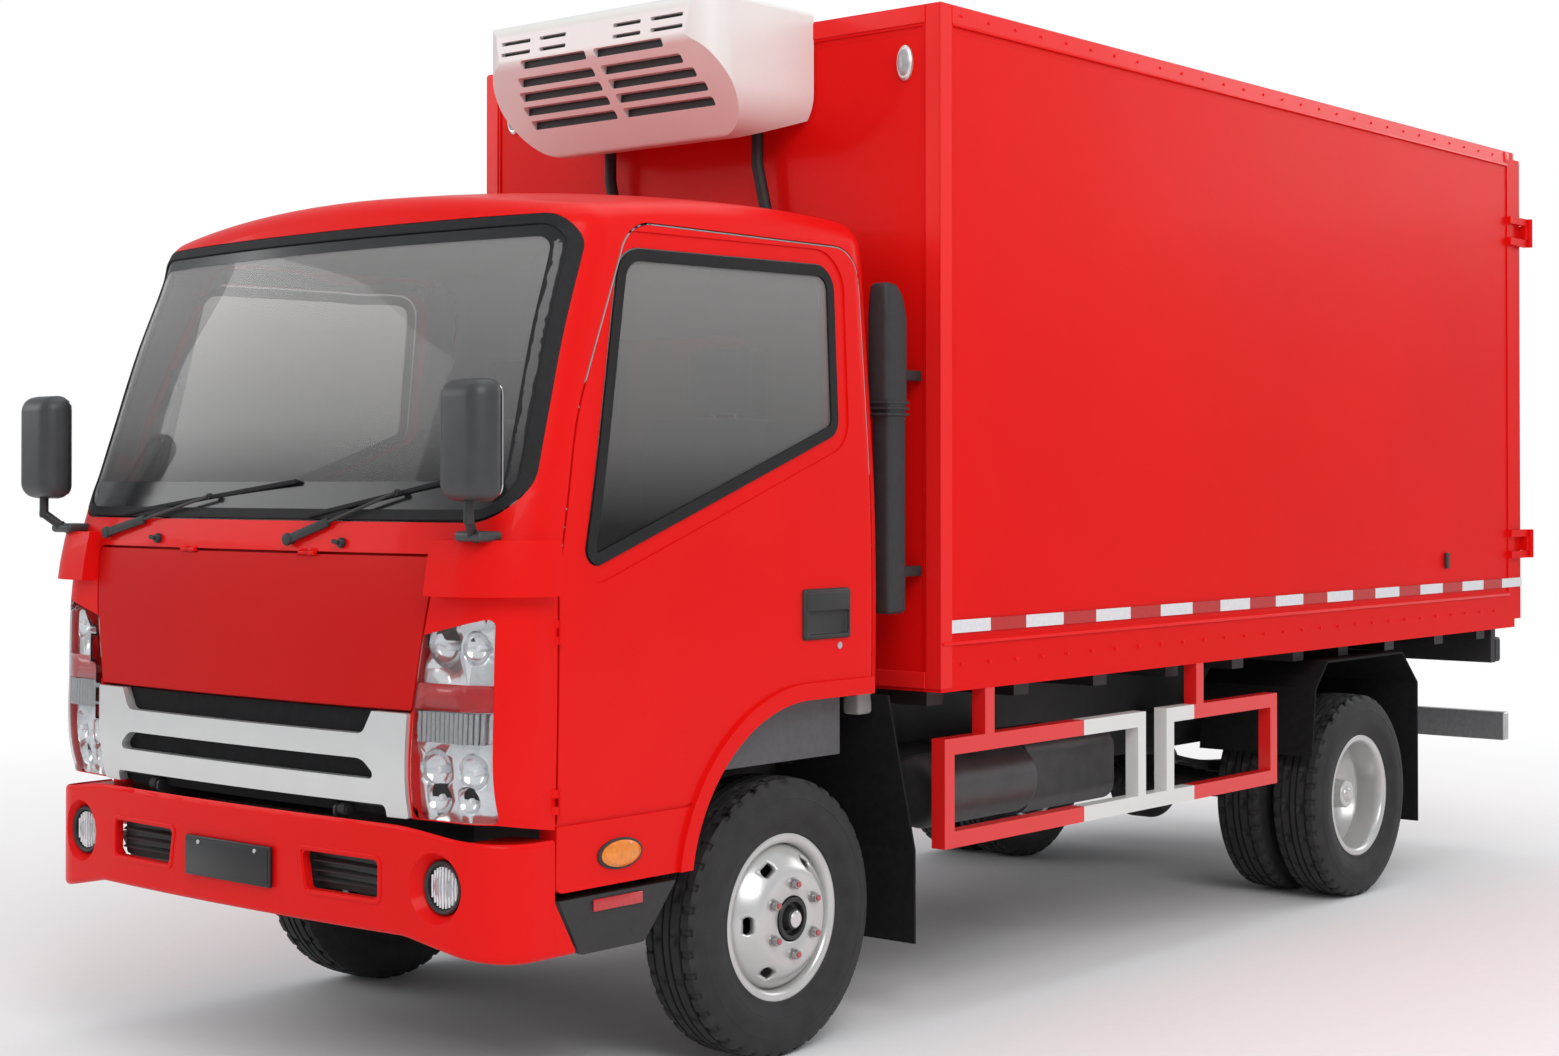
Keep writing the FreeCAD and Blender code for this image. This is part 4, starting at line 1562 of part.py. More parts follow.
def cooling_hoses():
    """Two hoses from the unit down the front wall to the frame rails, held by clips."""
    pieces = []
    for top_x, x, foot_x in HOSE_X:
        hose = bent_tube([V(top_x, HOSE_Y, HOSE_TOP), V(top_x, HOSE_Y, HOSE_KINK_TOP),
                          V(x, HOSE_WALL_Y, HOSE_KINK_LOW), V(x, HOSE_WALL_Y, HOSE_BEND_TOP),
                          V(foot_x, HOSE_WALL_Y, HOSE_BEND_LOW), V(foot_x, HOSE_WALL_Y, RAIL_TOP + SEAT_GAP)],
                         HOSE_RADIUS, 4 * HOSE_RADIUS)
        clips = []
        for z in CLIP_Z:
            clip_x = x if z > HOSE_BEND_TOP else foot_x
            rear = BOX_FRONT + SIDE_RAIL_PROUD - SEAT_GAP if z > BOX_BOTTOM else HOSE_WALL_Y + HOSE_RADIUS
            clips.append(box(clip_x - CLIP_HALF, clip_x + CLIP_HALF, HOSE_WALL_Y, rear, z - CLIP_HALF, z + CLIP_HALF))
        pieces.append(fused([hose] + clips))
    return Part.makeCompound(pieces)


def mudguards():
    return Part.makeCompound([front_mudguards(), rear_mudguards()])


def tanks():
    """Fuel tank on the right; battery box and pressure tanks on the left."""
    return Part.makeCompound([fuel_tank(), battery_box(), air_tanks()])


def box_walls():
    """Both long walls and the front wall of the load space."""
    left = box_wall_left()
    return Part.makeCompound([left, mirrored(left), box_front_wall()])


MODEL = {
    "cab_shell": cab_shell, "cab_glass": cab_glass, "front_lid": front_lid, "grille": grille,
    "grille_backing": grille_backing, "headlamps": headlamps, "cab_door_left": door,
    "door_glass_left": door_glass, "door_handle_left": door_handle, "cab_floor": cab_floor,
    "step_boxes": cab_steps, "arch_liners": arch_liners, "dashboard": dashboard, "seats": seats,
    "steering_wheel": steering_wheel, "mirrors": mirrors, "chassis_frame": chassis_frame,
    "engine": engine, "front_axle": front_axle, "knuckle_left": knuckle, "leaf_springs": leaf_springs,
    "rear_axle": rear_axle, "tyre_front_left": lambda: tyre(FRONT_WHEEL_X), "rim_front_left": front_wheel,
    "tyres_rear_left": rear_tyres, "rims_rear_left": rear_wheel, "front_bumper": front_bumper,
    "small_lamps": small_lamps, "mudguards": mudguards, "tanks": tanks, "side_guards": side_guards,
    "rear_underrun": rear_underrun, "tail_lamps": tail_lamps, "air_intake": air_intake,
    "box_floor": box_floor, "box_walls": box_walls, "box_roof": box_roof, "box_trims": box_trims,
    "box_rear_frame": box_rear_frame, "box_door_left": rear_door, "lock_gear_left": lock_gear,
    "cooling_unit": cooling_unit, "cooling_hoses": cooling_hoses}

os.makedirs("parts", exist_ok=True)
for name, make in MODEL.items():
    shape = make()
    export(name, shape)
    if "left" in name:
        export(name.replace("left", "right"), mirrored(shape))
    print(name, shape.isValid(), len(shape.Solids), round(shape.Volume / 1e6, 2))
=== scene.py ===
import bpy, bmesh, math
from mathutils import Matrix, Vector


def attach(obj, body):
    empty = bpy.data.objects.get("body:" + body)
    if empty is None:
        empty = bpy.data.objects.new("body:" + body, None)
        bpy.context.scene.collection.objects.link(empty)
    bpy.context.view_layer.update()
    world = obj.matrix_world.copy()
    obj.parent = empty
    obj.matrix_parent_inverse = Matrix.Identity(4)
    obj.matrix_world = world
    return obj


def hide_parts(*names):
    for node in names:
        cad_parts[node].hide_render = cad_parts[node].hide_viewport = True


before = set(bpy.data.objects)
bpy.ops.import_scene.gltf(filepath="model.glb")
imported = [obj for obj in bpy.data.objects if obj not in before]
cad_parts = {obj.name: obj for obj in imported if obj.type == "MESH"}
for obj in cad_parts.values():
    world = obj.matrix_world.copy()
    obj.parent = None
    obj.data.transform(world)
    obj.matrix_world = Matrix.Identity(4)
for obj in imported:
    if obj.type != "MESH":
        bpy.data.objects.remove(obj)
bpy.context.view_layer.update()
scene = bpy.context.scene

# Studio: a pale floor and soft lamps round the truck. The camera stands in front of
# the left corner of the cab, at the height of a person's eyes.
scene.view_settings.view_transform = "Standard"
camera = bpy.data.objects.new("camera", bpy.data.cameras.new("camera"))
scene.collection.objects.link(camera)
camera.location = (5.0167, -6.7032, 1.5606)
camera.rotation_euler = (math.radians(90.684), 0, math.radians(39.828))
camera.data.sensor_width, camera.data.lens = 36, 54.17
camera.data.shift_x, camera.data.shift_y = -0.0132, -0.0466
camera.data.clip_end = 200
scene.camera = camera

SURROUND = (0.92, 0.94, 0.97, 1)
SURROUND_LIGHT = 0.62
world = bpy.data.worlds.new("studio")
scene.world = world
world.use_nodes = True
sky = world.node_tree
sky.nodes.clear()
surround = sky.nodes.new("ShaderNodeBackground")
surround.inputs["Color"].default_value = SURROUND
surround.inputs["Strength"].default_value = SURROUND_LIGHT
backdrop = sky.nodes.new("ShaderNodeBackground")
backdrop.inputs["Color"].default_value = (1, 1, 1, 1)
rays = sky.nodes.new("ShaderNodeLightPath")
seen = sky.nodes.new("ShaderNodeMath")
seen.operation = "MAXIMUM"
shown = sky.nodes.new("ShaderNodeMixShader")
last = sky.nodes.new("ShaderNodeOutputWorld")
sky.links.new(rays.outputs["Is Camera Ray"], seen.inputs[0])
sky.links.new(rays.outputs["Is Transmission Ray"], seen.inputs[1])
sky.links.new(seen.outputs[0], shown.inputs[0])
sky.links.new(surround.outputs[0], shown.inputs[1])
sky.links.new(backdrop.outputs[0], shown.inputs[2])
sky.links.new(shown.outputs[0], last.inputs[0])


def soft_lamp(name, place, aim, size, watts):
    lamp = bpy.data.objects.new(name, bpy.data.lights.new(name, "AREA"))
    lamp.data.shape, lamp.data.size, lamp.data.size_y = "RECTANGLE", size[0], size[1]
    lamp.data.energy = watts
    lamp.location = place
    lamp.rotation_euler = (Vector(aim) - Vector(place)).to_track_quat("-Z", "Y").to_euler()
    scene.collection.objects.link(lamp)


soft_lamp("key_lamp", (8, -6, 8), (0, 0, 1.2), (6, 6), 520)
soft_lamp("fill_lamp", (-8, -8, 5), (0, -1, 1.2), (6, 4), 190)
soft_lamp("top_lamp", (0, 1, 10), (0, 0.5, 0), (6, 10), 210)
soft_lamp("back_lamp", (4, 11, 6), (0, 1, 1.2), (7, 5), 240)


def finish_of(name, colour, rough=0.5, spread=0.08, grain=30, bump=0.0, relief=0.0005, wear=0.05, **sockets):
    """Material whose colour, gloss and surface vary finely over the piece, on its own coordinates."""
    material = bpy.data.materials.new(name)
    material.use_nodes = True
    tree = material.node_tree
    shader = tree.nodes["Principled BSDF"]
    for socket, value in sockets.items():
        shader.inputs[socket.replace("_", " ")].default_value = value
    place = tree.nodes.new("ShaderNodeTexCoord")
    cloud = tree.nodes.new("ShaderNodeTexNoise")
    cloud.inputs["Scale"].default_value = grain
    cloud.inputs["Detail"].default_value = 4
    tree.links.new(place.outputs["Object"], cloud.inputs["Vector"])
    shade = tree.nodes.new("ShaderNodeValToRGB")
    shade.color_ramp.elements[0].position, shade.color_ramp.elements[1].position = 0.3, 0.7
    shade.color_ramp.elements[0].color = (*(max(0, c * (1 - spread)) for c in colour), 1)
    shade.color_ramp.elements[1].color = (*(min(1, c * (1 + spread)) for c in colour), 1)
    tree.links.new(cloud.outputs["Fac"], shade.inputs["Fac"])
    tree.links.new(shade.outputs["Color"], shader.inputs["Base Color"])
    patch = tree.nodes.new("ShaderNodeTexNoise")
    patch.inputs["Scale"].default_value = 3
    gloss = tree.nodes.new("ShaderNodeMapRange")
    gloss.inputs["To Min"].default_value = max(0.0, rough - wear)
    gloss.inputs["To Max"].default_value = min(1.0, rough + wear)
    tree.links.new(place.outputs["Object"], patch.inputs["Vector"])
    tree.links.new(patch.outputs["Fac"], gloss.inputs["Value"])
    tree.links.new(gloss.outputs["Result"], shader.inputs["Roughness"])
    if bump:
        pores = tree.nodes.new("ShaderNodeTexNoise")
        pores.inputs["Scale"].default_value = bump
        pores.inputs["Detail"].default_value = 2
        press = tree.nodes.new("ShaderNodeBump")
        press.inputs["Strength"].default_value = 0.6
        press.inputs["Distance"].default_value = relief
        tree.links.new(place.outputs["Object"], pores.inputs["Vector"])
        tree.links.new(pores.outputs["Fac"], press.inputs["Height"])
        tree.links.new(press.outputs["Normal"], shader.inputs["Normal"])
    return material


def dress(material, *nodes):
    """Give carried-over solids their material."""
    for name in nodes:
        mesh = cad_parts[name].data
        mesh.materials.clear()
        mesh.materials.append(material)


bpy.ops.object.select_all(action="DESELECT")
bpy.ops.mesh.primitive_plane_add(size=160, location=(0, 0, 0))
floor = bpy.context.object
floor.name = floor.data.name = "floor"
floor_paint = finish_of("floor_paint", (0.9, 0.9, 0.9), 0.9, spread=0.01)
floor.data.materials.append(floor_paint)
paint_nodes, paint_links = floor_paint.node_tree.nodes, floor_paint.node_tree.links
floor_place, reach = paint_nodes.new("ShaderNodeTexCoord"), paint_nodes.new("ShaderNodeVectorMath")
reach.operation = "LENGTH"
fade, glow = paint_nodes.new("ShaderNodeMapRange"), paint_nodes.new("ShaderNodeEmission")
fade.inputs["From Min"].default_value, fade.inputs["From Max"].default_value = 2.2, 7.5
glow.inputs["Color"].default_value = (1, 1, 1, 1)
floor_rays, far_off = paint_nodes.new("ShaderNodeLightPath"), paint_nodes.new("ShaderNodeMath")
far_off.operation = "MULTIPLY"
faded = paint_nodes.new("ShaderNodeMixShader")
paint_links.new(floor_place.outputs["Object"], reach.inputs[0])
paint_links.new(reach.outputs["Value"], fade.inputs["Value"])
paint_links.new(fade.outputs["Result"], far_off.inputs[0])
paint_links.new(floor_rays.outputs["Is Camera Ray"], far_off.inputs[1])
paint_links.new(far_off.outputs[0], faded.inputs[0])
paint_links.new(paint_nodes["Principled BSDF"].outputs[0], faded.inputs[1])
paint_links.new(glow.outputs[0], faded.inputs[2])
paint_links.new(faded.outputs[0], paint_nodes["Material Output"].inputs["Surface"])

# Tyres: black rubber over steel belts, moulded with four tread grooves, notched
# shoulders and rings on the walls. One is spun and notched, then copied to all six places.
FRONT_AXLE_Y = -1.8185
REAR_AXLE_Y = 1.4895
WHEEL_HEIGHT = 0.38
FRONT_WHEEL_X = 0.8
REAR_OUTER_X = 0.862
REAR_INNER_X = 0.627
TYRE_SECTION = [
    (-0.0735, 0.2085), (-0.076, 0.222), (-0.0845, 0.231), (-0.0845, 0.236), (-0.0895, 0.246),
    (-0.0955, 0.268), (-0.0965, 0.2695), (-0.0965, 0.2725), (-0.0975, 0.274), (-0.0995, 0.292),
    (-0.0995, 0.306), (-0.0970, 0.322), (-0.0980, 0.3235), (-0.0960, 0.327), (-0.0935, 0.338),
    (-0.0890, 0.352), (-0.0845, 0.366), (-0.0760, 0.3765), (-0.0520, 0.3792), (-0.0510, 0.3690),
    (-0.0440, 0.3690), (-0.0430, 0.3795), (-0.0170, 0.3800), (-0.0160, 0.3690), (-0.0090, 0.3690),
    (-0.0080, 0.3800)]
TYRE_STEPS = 120
NOTCH_DEEP = 0.005


def drawn_line(name, points):
    """A line of joined edges through the points, drawn by extruding a single corner."""
    bpy.ops.object.select_all(action="DESELECT")
    bpy.ops.mesh.primitive_plane_add(size=0.01, location=(0, 0, 0))
    piece = bpy.context.object
    piece.name = piece.data.name = name
    bpy.ops.object.mode_set(mode="EDIT")
    bpy.ops.mesh.select_mode(type="VERT")
    bpy.ops.mesh.merge(type="CENTER")
    bpy.ops.transform.translate(value=points[0])
    for before, after in zip(points, points[1:]):
        bpy.ops.mesh.extrude_vertices_move(
            TRANSFORM_OT_translate={"value": tuple(b - a for a, b in zip(before, after))})
    bpy.ops.object.mode_set(mode="OBJECT")
    return piece


def spun(name, section, place, steps=48, axis=(1, 0, 0), out=(0, 0, 1), smooth=30, closed=True):
    """Turn a section of (along, outward) points about the axis through place."""
    along, out = Vector(axis), Vector(out)
    corners = list(section) + ([section[0]] if closed else [])
    piece = drawn_line(name, [tuple(Vector(place) + along * a + out * r) for a, r in corners])
    bpy.ops.object.mode_set(mode="EDIT")
    bpy.ops.mesh.select_mode(type="VERT")
    bpy.ops.mesh.select_all(action="SELECT")
    bpy.ops.mesh.spin(steps=steps, angle=2 * math.pi, center=place, axis=axis)
    bpy.ops.mesh.select_all(action="SELECT")
    bpy.ops.mesh.remove_doubles(threshold=0.00002)
    bpy.ops.mesh.normals_make_consistent(inside=False)
    bpy.ops.object.mode_set(mode="OBJECT")
    bpy.ops.object.shade_smooth_by_angle(angle=math.radians(smooth))
    return piece


def pick_faces(piece, wanted):
    """In edit mode, select the faces of the piece that the test wants."""
    bpy.ops.object.select_all(action="DESELECT")
    bpy.context.view_layer.objects.active = piece
    piece.select_set(True)
    bpy.ops.object.mode_set(mode="EDIT")
    bpy.ops.mesh.select_mode(type="FACE")
    bpy.ops.mesh.select_all(action="DESELECT")
    mesh = bmesh.from_edit_mesh(piece.data)
    for face in mesh.faces:
        face.select_set(bool(wanted(face)))
    bmesh.update_edit_mesh(piece.data)


def copy_to(piece, name, shift=(0, 0, 0), flip=False):
    """Copy of a finished piece with its own mesh, mirrored in X where asked, then moved."""
    twin = piece.copy()
    twin.data = piece.data.copy()
    twin.name = twin.data.name = name
    scene.collection.objects.link(twin)
    bpy.ops.object.select_all(action="DESELECT")
    bpy.context.view_layer.objects.active = twin
    twin.select_set(True)
    bpy.ops.object.mode_set(mode="EDIT")
    bpy.ops.mesh.select_mode(type="VERT")
    bpy.ops.mesh.select_all(action="SELECT")
    if flip:
        bpy.ops.transform.mirror(constraint_axis=(True, False, False), center_override=(0, 0, 0))
        bpy.ops.mesh.flip_normals()
    bpy.ops.transform.translate(value=shift)
    bpy.ops.object.mode_set(mode="OBJECT")
    return twin


def settle(piece, material, body, replaces=()):
    """Put the piece's place in its mesh, give it its material and hang it on its body."""
    bpy.ops.object.select_all(action="DESELECT")
    bpy.context.view_layer.objects.active = piece
    piece.select_set(True)
    bpy.ops.object.transform_apply(location=True, rotation=True, scale=True)
    piece.data.materials.clear()
    piece.data.materials.append(material)
    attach(piece, body)
    if replaces:
        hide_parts(*replaces)
    piece.select_set(False)
    return piece


def steps_round(face, steps):
    """Which step of the turn about the wheel's axle the face lies in."""
    middle = face.calc_center_median()
    turn = math.atan2(middle.z - WHEEL_HEIGHT, middle.y - FRONT_AXLE_Y)
    return int(round(turn / (2 * math.pi) * steps + steps))


tyre_line = TYRE_SECTION + [(-a, r) for a, r in reversed(TYRE_SECTION)]
tyre = spun("tyre_front_left_rubber", tyre_line, (FRONT_WHEEL_X, FRONT_AXLE_Y, WHEEL_HEIGHT), TYRE_STEPS)


def on_shoulder(face):
    middle = face.calc_center_median()
    reach = math.hypot(middle.y - FRONT_AXLE_Y, middle.z - WHEEL_HEIGHT)
    across = abs(middle.x - FRONT_WHEEL_X)
    notched = 0.05 < across < 0.086 and reach > 0.367 and steps_round(face, TYRE_STEPS) % 3 == 0
    rib = 0.017 < across < 0.043 and reach > 0.374 and steps_round(face, TYRE_STEPS) % 6 == 1
    return notched or rib


pick_faces(tyre, on_shoulder)
bpy.ops.mesh.extrude_region_shrink_fatten(TRANSFORM_OT_shrink_fatten={"value": -NOTCH_DEEP})
bpy.ops.object.mode_set(mode="OBJECT")
rubber = finish_of("tyre_rubber", (0.019, 0.019, 0.020), 0.72, spread=0.25, grain=18, bump=420, relief=0.0003)
rear_shift = REAR_AXLE_Y - FRONT_AXLE_Y
for side, flip in (("left", False), ("right", True)):
    sign = -1 if flip else 1
    front = tyre if not flip else copy_to(tyre, "tyre_front_right_rubber", flip=True)
    outer = copy_to(front, "tyre_rear_outer_%s_rubber" % side,
                    (sign * (REAR_OUTER_X - FRONT_WHEEL_X), rear_shift, 0))
    inner = copy_to(front, "tyre_rear_inner_%s_rubber" % side,
                    (sign * (REAR_INNER_X - FRONT_WHEEL_X), rear_shift, 0))
    settle(front, rubber, "front_wheel_" + side, ["tyre_front_" + side])
    settle(outer, rubber, "rear_wheels_" + side, ["tyres_rear_" + side])
    settle(inner, rubber, "rear_wheels_" + side, ["tyres_rear_" + side])

# Rims: pressed steel painted silver, a rolled hoop welded to a dished disc with six hand
# holes. Wheel nuts with red tips hold it, and the hub with its bright cap stands in the middle.
RIM_STEPS = 96
HOOP = [
    (-0.082, 0.199), (-0.082, 0.2235), (-0.0795, 0.2275), (-0.0765, 0.2275), (-0.0745, 0.2235),
    (-0.074, 0.2075), (-0.02, 0.203), (0.02, 0.203), (0.074, 0.2075), (0.0745, 0.2235), (0.0765, 0.2275),
    (0.0795, 0.2275), (0.082, 0.2235), (0.0815, 0.214), (0.079, 0.206), (0.07, 0.2), (0.04, 0.197),
    (-0.04, 0.197)]
DISC_FACE, DISC_BACK = 0.1174, 0.1054
DISC = [
    (0.030, 0.199), (0.048, 0.1985), (0.062, 0.191), (0.078, 0.179), (0.094, 0.163), (0.108, 0.147),
    (0.1155, 0.134), (DISC_FACE, 0.125), (DISC_FACE, 0.066), (0.1150, 0.0625), (DISC_BACK, 0.0625),
    (DISC_BACK, 0.121), (0.1, 0.131), (0.084, 0.153), (0.066, 0.170), (0.045, 0.183), (0.030, 0.190)]
HAND_HOLES = 6
HAND_REACH = 0.158
HAND_HALF_LONG = 0.024
HAND_HALF_WIDE = 0.0125
NUT_CIRCLE = 0.095
NUTS = 6
NUT_RADIUS = 0.0135
NUT_STEPS = (0.004, 0.020, 0.026)
HAND_CORNER = 0.011
HUB = [
    (-0.03, 0.0), (-0.03, 0.058), (0.116, 0.058), (0.1185, 0.0555), (0.1185, 0.046), (0.100, 0.043),
    (0.098, 0.034), (0.108, 0.030), (0.124, 0.0275), (0.1275, 0.024), (0.1285, 0.0)]
REAR_HUB = [
    (-0.115, 0.0), (-0.115, 0.058), (0.06, 0.058), (0.10, 0.054), (0.1325, 0.052), (0.137, 0.048),
    (0.137, 0.030), (0.142, 0.027), (0.148, 0.018), (0.149, 0.0)]
REAR_DRUM_BACK = 0.066
CAP = [(0.124, 0.0), (0.124, 0.0225), (0.129, 0.0225), (0.1315, 0.0195), (0.1325, 0.012), (0.1330, 0.0)]
DRUM = [(-0.058, 0.06), (-0.058, 0.158), (-0.052, 0.163), (-0.01, 0.163), (-0.002, 0.158), (-0.002, 0.06)]


def bored(piece, tool):
    """Cut the tool out of the piece and remove the tool."""
    bpy.ops.object.select_all(action="DESELECT")
    bpy.context.view_layer.objects.active = piece
    piece.select_set(True)
    cut = piece.modifiers.new("cut", "BOOLEAN")
    cut.operation, cut.solver, cut.object = "DIFFERENCE", "EXACT", tool
    bpy.ops.object.modifier_apply(modifier="cut")
    bpy.data.objects.remove(tool, do_unlink=True)
    return piece


def joined(name, pieces):
    """Join pieces into one mesh under a name."""
    bpy.ops.object.select_all(action="DESELECT")
    for piece in pieces:
        piece.select_set(True)
    bpy.context.view_layer.objects.active = pieces[0]
    if len(pieces) > 1:
        bpy.ops.object.join()
    pieces[0].name = pieces[0].data.name = name
    return pieces[0]


def rounded(piece, width, segments=2, angle=40):
    """Round the sharp edges of the piece."""
    bpy.ops.object.select_all(action="DESELECT")
    bpy.context.view_layer.objects.active = piece
    piece.select_set(True)
    edge = piece.modifiers.new("edge", "BEVEL")
    edge.width, edge.segments = width, segments
    edge.limit_method, edge.angle_limit = "ANGLE", math.radians(angle)
    edge.use_clamp_overlap = True
    bpy.ops.object.modifier_apply(modifier="edge")
    bpy.ops.object.shade_smooth_by_angle(angle=math.radians(35))
    return piece


def block(name, low, high, round_off=0.0, segments=2):
    """A block between two corners with rounded edges."""
    bpy.ops.object.select_all(action="DESELECT")
    middle = [(a + b) / 2 for a, b in zip(low, high)]
    bpy.ops.mesh.primitive_cube_add(size=1, location=middle)
    piece = bpy.context.object
    piece.name = piece.data.name = name
    bpy.ops.object.mode_set(mode="EDIT")
    bpy.ops.transform.resize(value=[b - a for a, b in zip(low, high)])
    bpy.ops.object.mode_set(mode="OBJECT")
    if round_off:
        rounded(piece, round_off, segments)
    return piece


def rod(name, start, end, radius, sides=24, round_off=0.0):
    """A round bar from start to end."""
    bpy.ops.object.select_all(action="DESELECT")
    start, end = Vector(start), Vector(end)
    bpy.ops.mesh.primitive_cylinder_add(vertices=sides, radius=radius, depth=(end - start).length,
                                        location=(start + end) / 2,
                                        rotation=(end - start).to_track_quat("Z", "Y").to_euler())
    piece = bpy.context.object
    piece.name = piece.data.name = name
    bpy.ops.object.transform_apply(location=True, rotation=True, scale=True)
    if round_off:
        rounded(piece, round_off)
    else:
        bpy.ops.object.shade_smooth_by_angle(angle=math.radians(35))
    return piece


def pressed_rim(name, centre, side):
    """Rim with its disc bulging to side (1 or -1) and the hand holes cut through."""
    x, y, z = centre
    disc = spun(name, [(side * a, r) for a, r in DISC], centre, RIM_STEPS, smooth=50)
    for i in range(HAND_HOLES):
        turn = 2 * math.pi * (i + 0.5) / HAND_HOLES
        hole = block("hand_hole", (x - 0.2, -HAND_HALF_LONG, -HAND_HALF_WIDE),
                     (x + 0.2, HAND_HALF_LONG, HAND_HALF_WIDE), HAND_CORNER, 4)
        bpy.ops.object.mode_set(mode="EDIT")
        bpy.ops.mesh.select_all(action="SELECT")
        bpy.ops.transform.translate(value=(0, 0, HAND_REACH))
        bpy.ops.transform.rotate(value=turn, orient_axis="X", center_override=(x, 0, 0))
        bpy.ops.transform.translate(value=(0, y, z))
        bpy.ops.object.mode_set(mode="OBJECT")
        bored(disc, hole)
    hoop = spun(name + "_hoop", HOOP, centre, RIM_STEPS, smooth=50)
    return joined(name, [disc, hoop])


def wheel_nuts(name, face_x, y, side):
    """Ring of hexagon nuts with domed tips on washers."""
    nuts, tips = [], []
    for i in range(NUTS):
        turn = 2 * math.pi * i / NUTS + math.pi / 6
        at = (face_x, y + NUT_CIRCLE * math.cos(turn), WHEEL_HEIGHT + NUT_CIRCLE * math.sin(turn))
        ahead = [(at[0] + side * step, at[1], at[2]) for step in NUT_STEPS]
        nuts.append(rod("washer", at, ahead[0], NUT_RADIUS * 1.25, 24))
        nuts.append(rod("nut", ahead[0], ahead[1], NUT_RADIUS, 6, 0.0012))
        tips.append(rod("tip", ahead[1], ahead[2], NUT_RADIUS * 0.62, 16, 0.003))
    return joined(name, nuts), joined(name + "_tips", tips)


silver = finish_of("wheel_silver", (0.60, 0.60, 0.59), 0.3, spread=0.05, grain=8, bump=500, relief=0.0001,
                   Metallic=0.55, Coat_Weight=0.3, Coat_Roughness=0.15)
hub_black = finish_of("hub_black", (0.02, 0.02, 0.021), 0.45, spread=0.2, bump=300)
nut_steel = finish_of("nut_steel", (0.45, 0.44, 0.43), 0.35, Metallic=0.9)
nut_tip = finish_of("nut_tip_paint", (0.45, 0.10, 0.10), 0.4)
cap_metal = finish_of("cap_metal", (0.72, 0.72, 0.72), 0.25, Metallic=0.9)
drum_iron = finish_of("drum_iron", (0.06, 0.055, 0.05), 0.6, spread=0.3, grain=25, bump=200, Metallic=0.6)
for side, sign in (("left", 1), ("right", -1)):
    front = (sign * FRONT_WHEEL_X, FRONT_AXLE_Y, WHEEL_HEIGHT)
    body, nodes = "front_wheel_" + side, ["rim_front_" + side]
    settle(pressed_rim("front_rim_" + side, front, sign), silver, body, nodes)
    nuts, tips = wheel_nuts("front_nuts_" + side, sign * (FRONT_WHEEL_X + DISC_FACE), FRONT_AXLE_Y, sign)
    settle(nuts, nut_steel, body, nodes)
    settle(tips, nut_tip, body, nodes)
    settle(spun("front_hub_" + side, [(sign * a, r) for a, r in HUB], front, closed=False), hub_black, body,
           nodes)
    settle(spun("front_cap_" + side, [(sign * a, r) for a, r in CAP], front, closed=False), cap_metal, body,
           nodes)
    drum = spun("front_drum_" + side, [(sign * a, r) for a, r in DRUM], front)
    settle(drum, drum_iron, body, nodes)
    body, nodes = "rear_wheels_" + side, ["rims_rear_" + side]
    outer = (sign * REAR_OUTER_X, REAR_AXLE_Y, WHEEL_HEIGHT)
    inner = (sign * REAR_INNER_X, REAR_AXLE_Y, WHEEL_HEIGHT)
    settle(pressed_rim("rear_rim_outer_" + side, outer, -sign), silver, body, nodes)
    settle(pressed_rim("rear_rim_inner_" + side, inner, sign), silver, body, nodes)
    disc_x = REAR_OUTER_X - DISC_BACK
    nuts, tips = wheel_nuts("rear_nuts_" + side, sign * disc_x, REAR_AXLE_Y, sign)
    settle(nuts, nut_steel, body, nodes)
    settle(tips, nut_tip, body, nodes)
    hub = spun("rear_hub_" + side, [(sign * a, r) for a, r in REAR_HUB],
               (sign * disc_x, REAR_AXLE_Y, WHEEL_HEIGHT), closed=False)
    settle(hub, silver, body, nodes)
    drum = spun("rear_drum_" + side, [(sign * a, r) for a, r in DRUM],
                (sign * (disc_x - REAR_DRUM_BACK), REAR_AXLE_Y, WHEEL_HEIGHT))
    settle(drum, drum_iron, body, nodes)

# Red body paint: clear coat over red, on the cab's shell, its doors and bumper and on the box.
# The cab is pressed steel; its solids carry over and take the paint as they are.
red_paint = finish_of("red_paint", (0.76, 0.007, 0.006), 0.32, spread=0.03, grain=2, wear=0.04,
                      Coat_Weight=0.08, Coat_Roughness=0.04, Specular_IOR_Level=0.08)
# The front lid takes the cab's red darkened: painted shade on the lid.
lid_red_shaded = finish_of("lid_red_shaded", (0.56, 0.007, 0.006), 0.42, spread=0.03, grain=2, wear=0.04,
                      Coat_Weight=0.03, Coat_Roughness=0.12, Specular_IOR_Level=0.08)
box_paint = finish_of("box_paint", (0.77, 0.006, 0.005), 0.38, spread=0.03, grain=1.5, wear=0.05,
                      bump=3, relief=0.0008, Coat_Weight=0.03, Coat_Roughness=0.1, Specular_IOR_Level=0.06)
black_paint = finish_of("chassis_black", (0.020, 0.020, 0.021), 0.5, spread=0.25, grain=12, bump=160)
plastic = finish_of("black_plastic", (0.022, 0.022, 0.023), 0.55, spread=0.12, grain=60, bump=700)
grey_plastic = finish_of("grey_plastic", (0.036, 0.037, 0.039), 0.5, spread=0.1, grain=40, bump=600,
                         Specular_IOR_Level=0.25)
seal_rubber = finish_of("seal_rubber", (0.012, 0.012, 0.013), 0.65, spread=0.2, grain=50,
                        Specular_IOR_Level=0.25)
liner_black = finish_of("liner_black", (0.011, 0.011, 0.012), 0.8, spread=0.2, grain=40, bump=300,
                        Specular_IOR_Level=0.15)
steel = finish_of("bare_steel", (0.42, 0.42, 0.42), 0.35, spread=0.12, grain=20, Metallic=0.9)
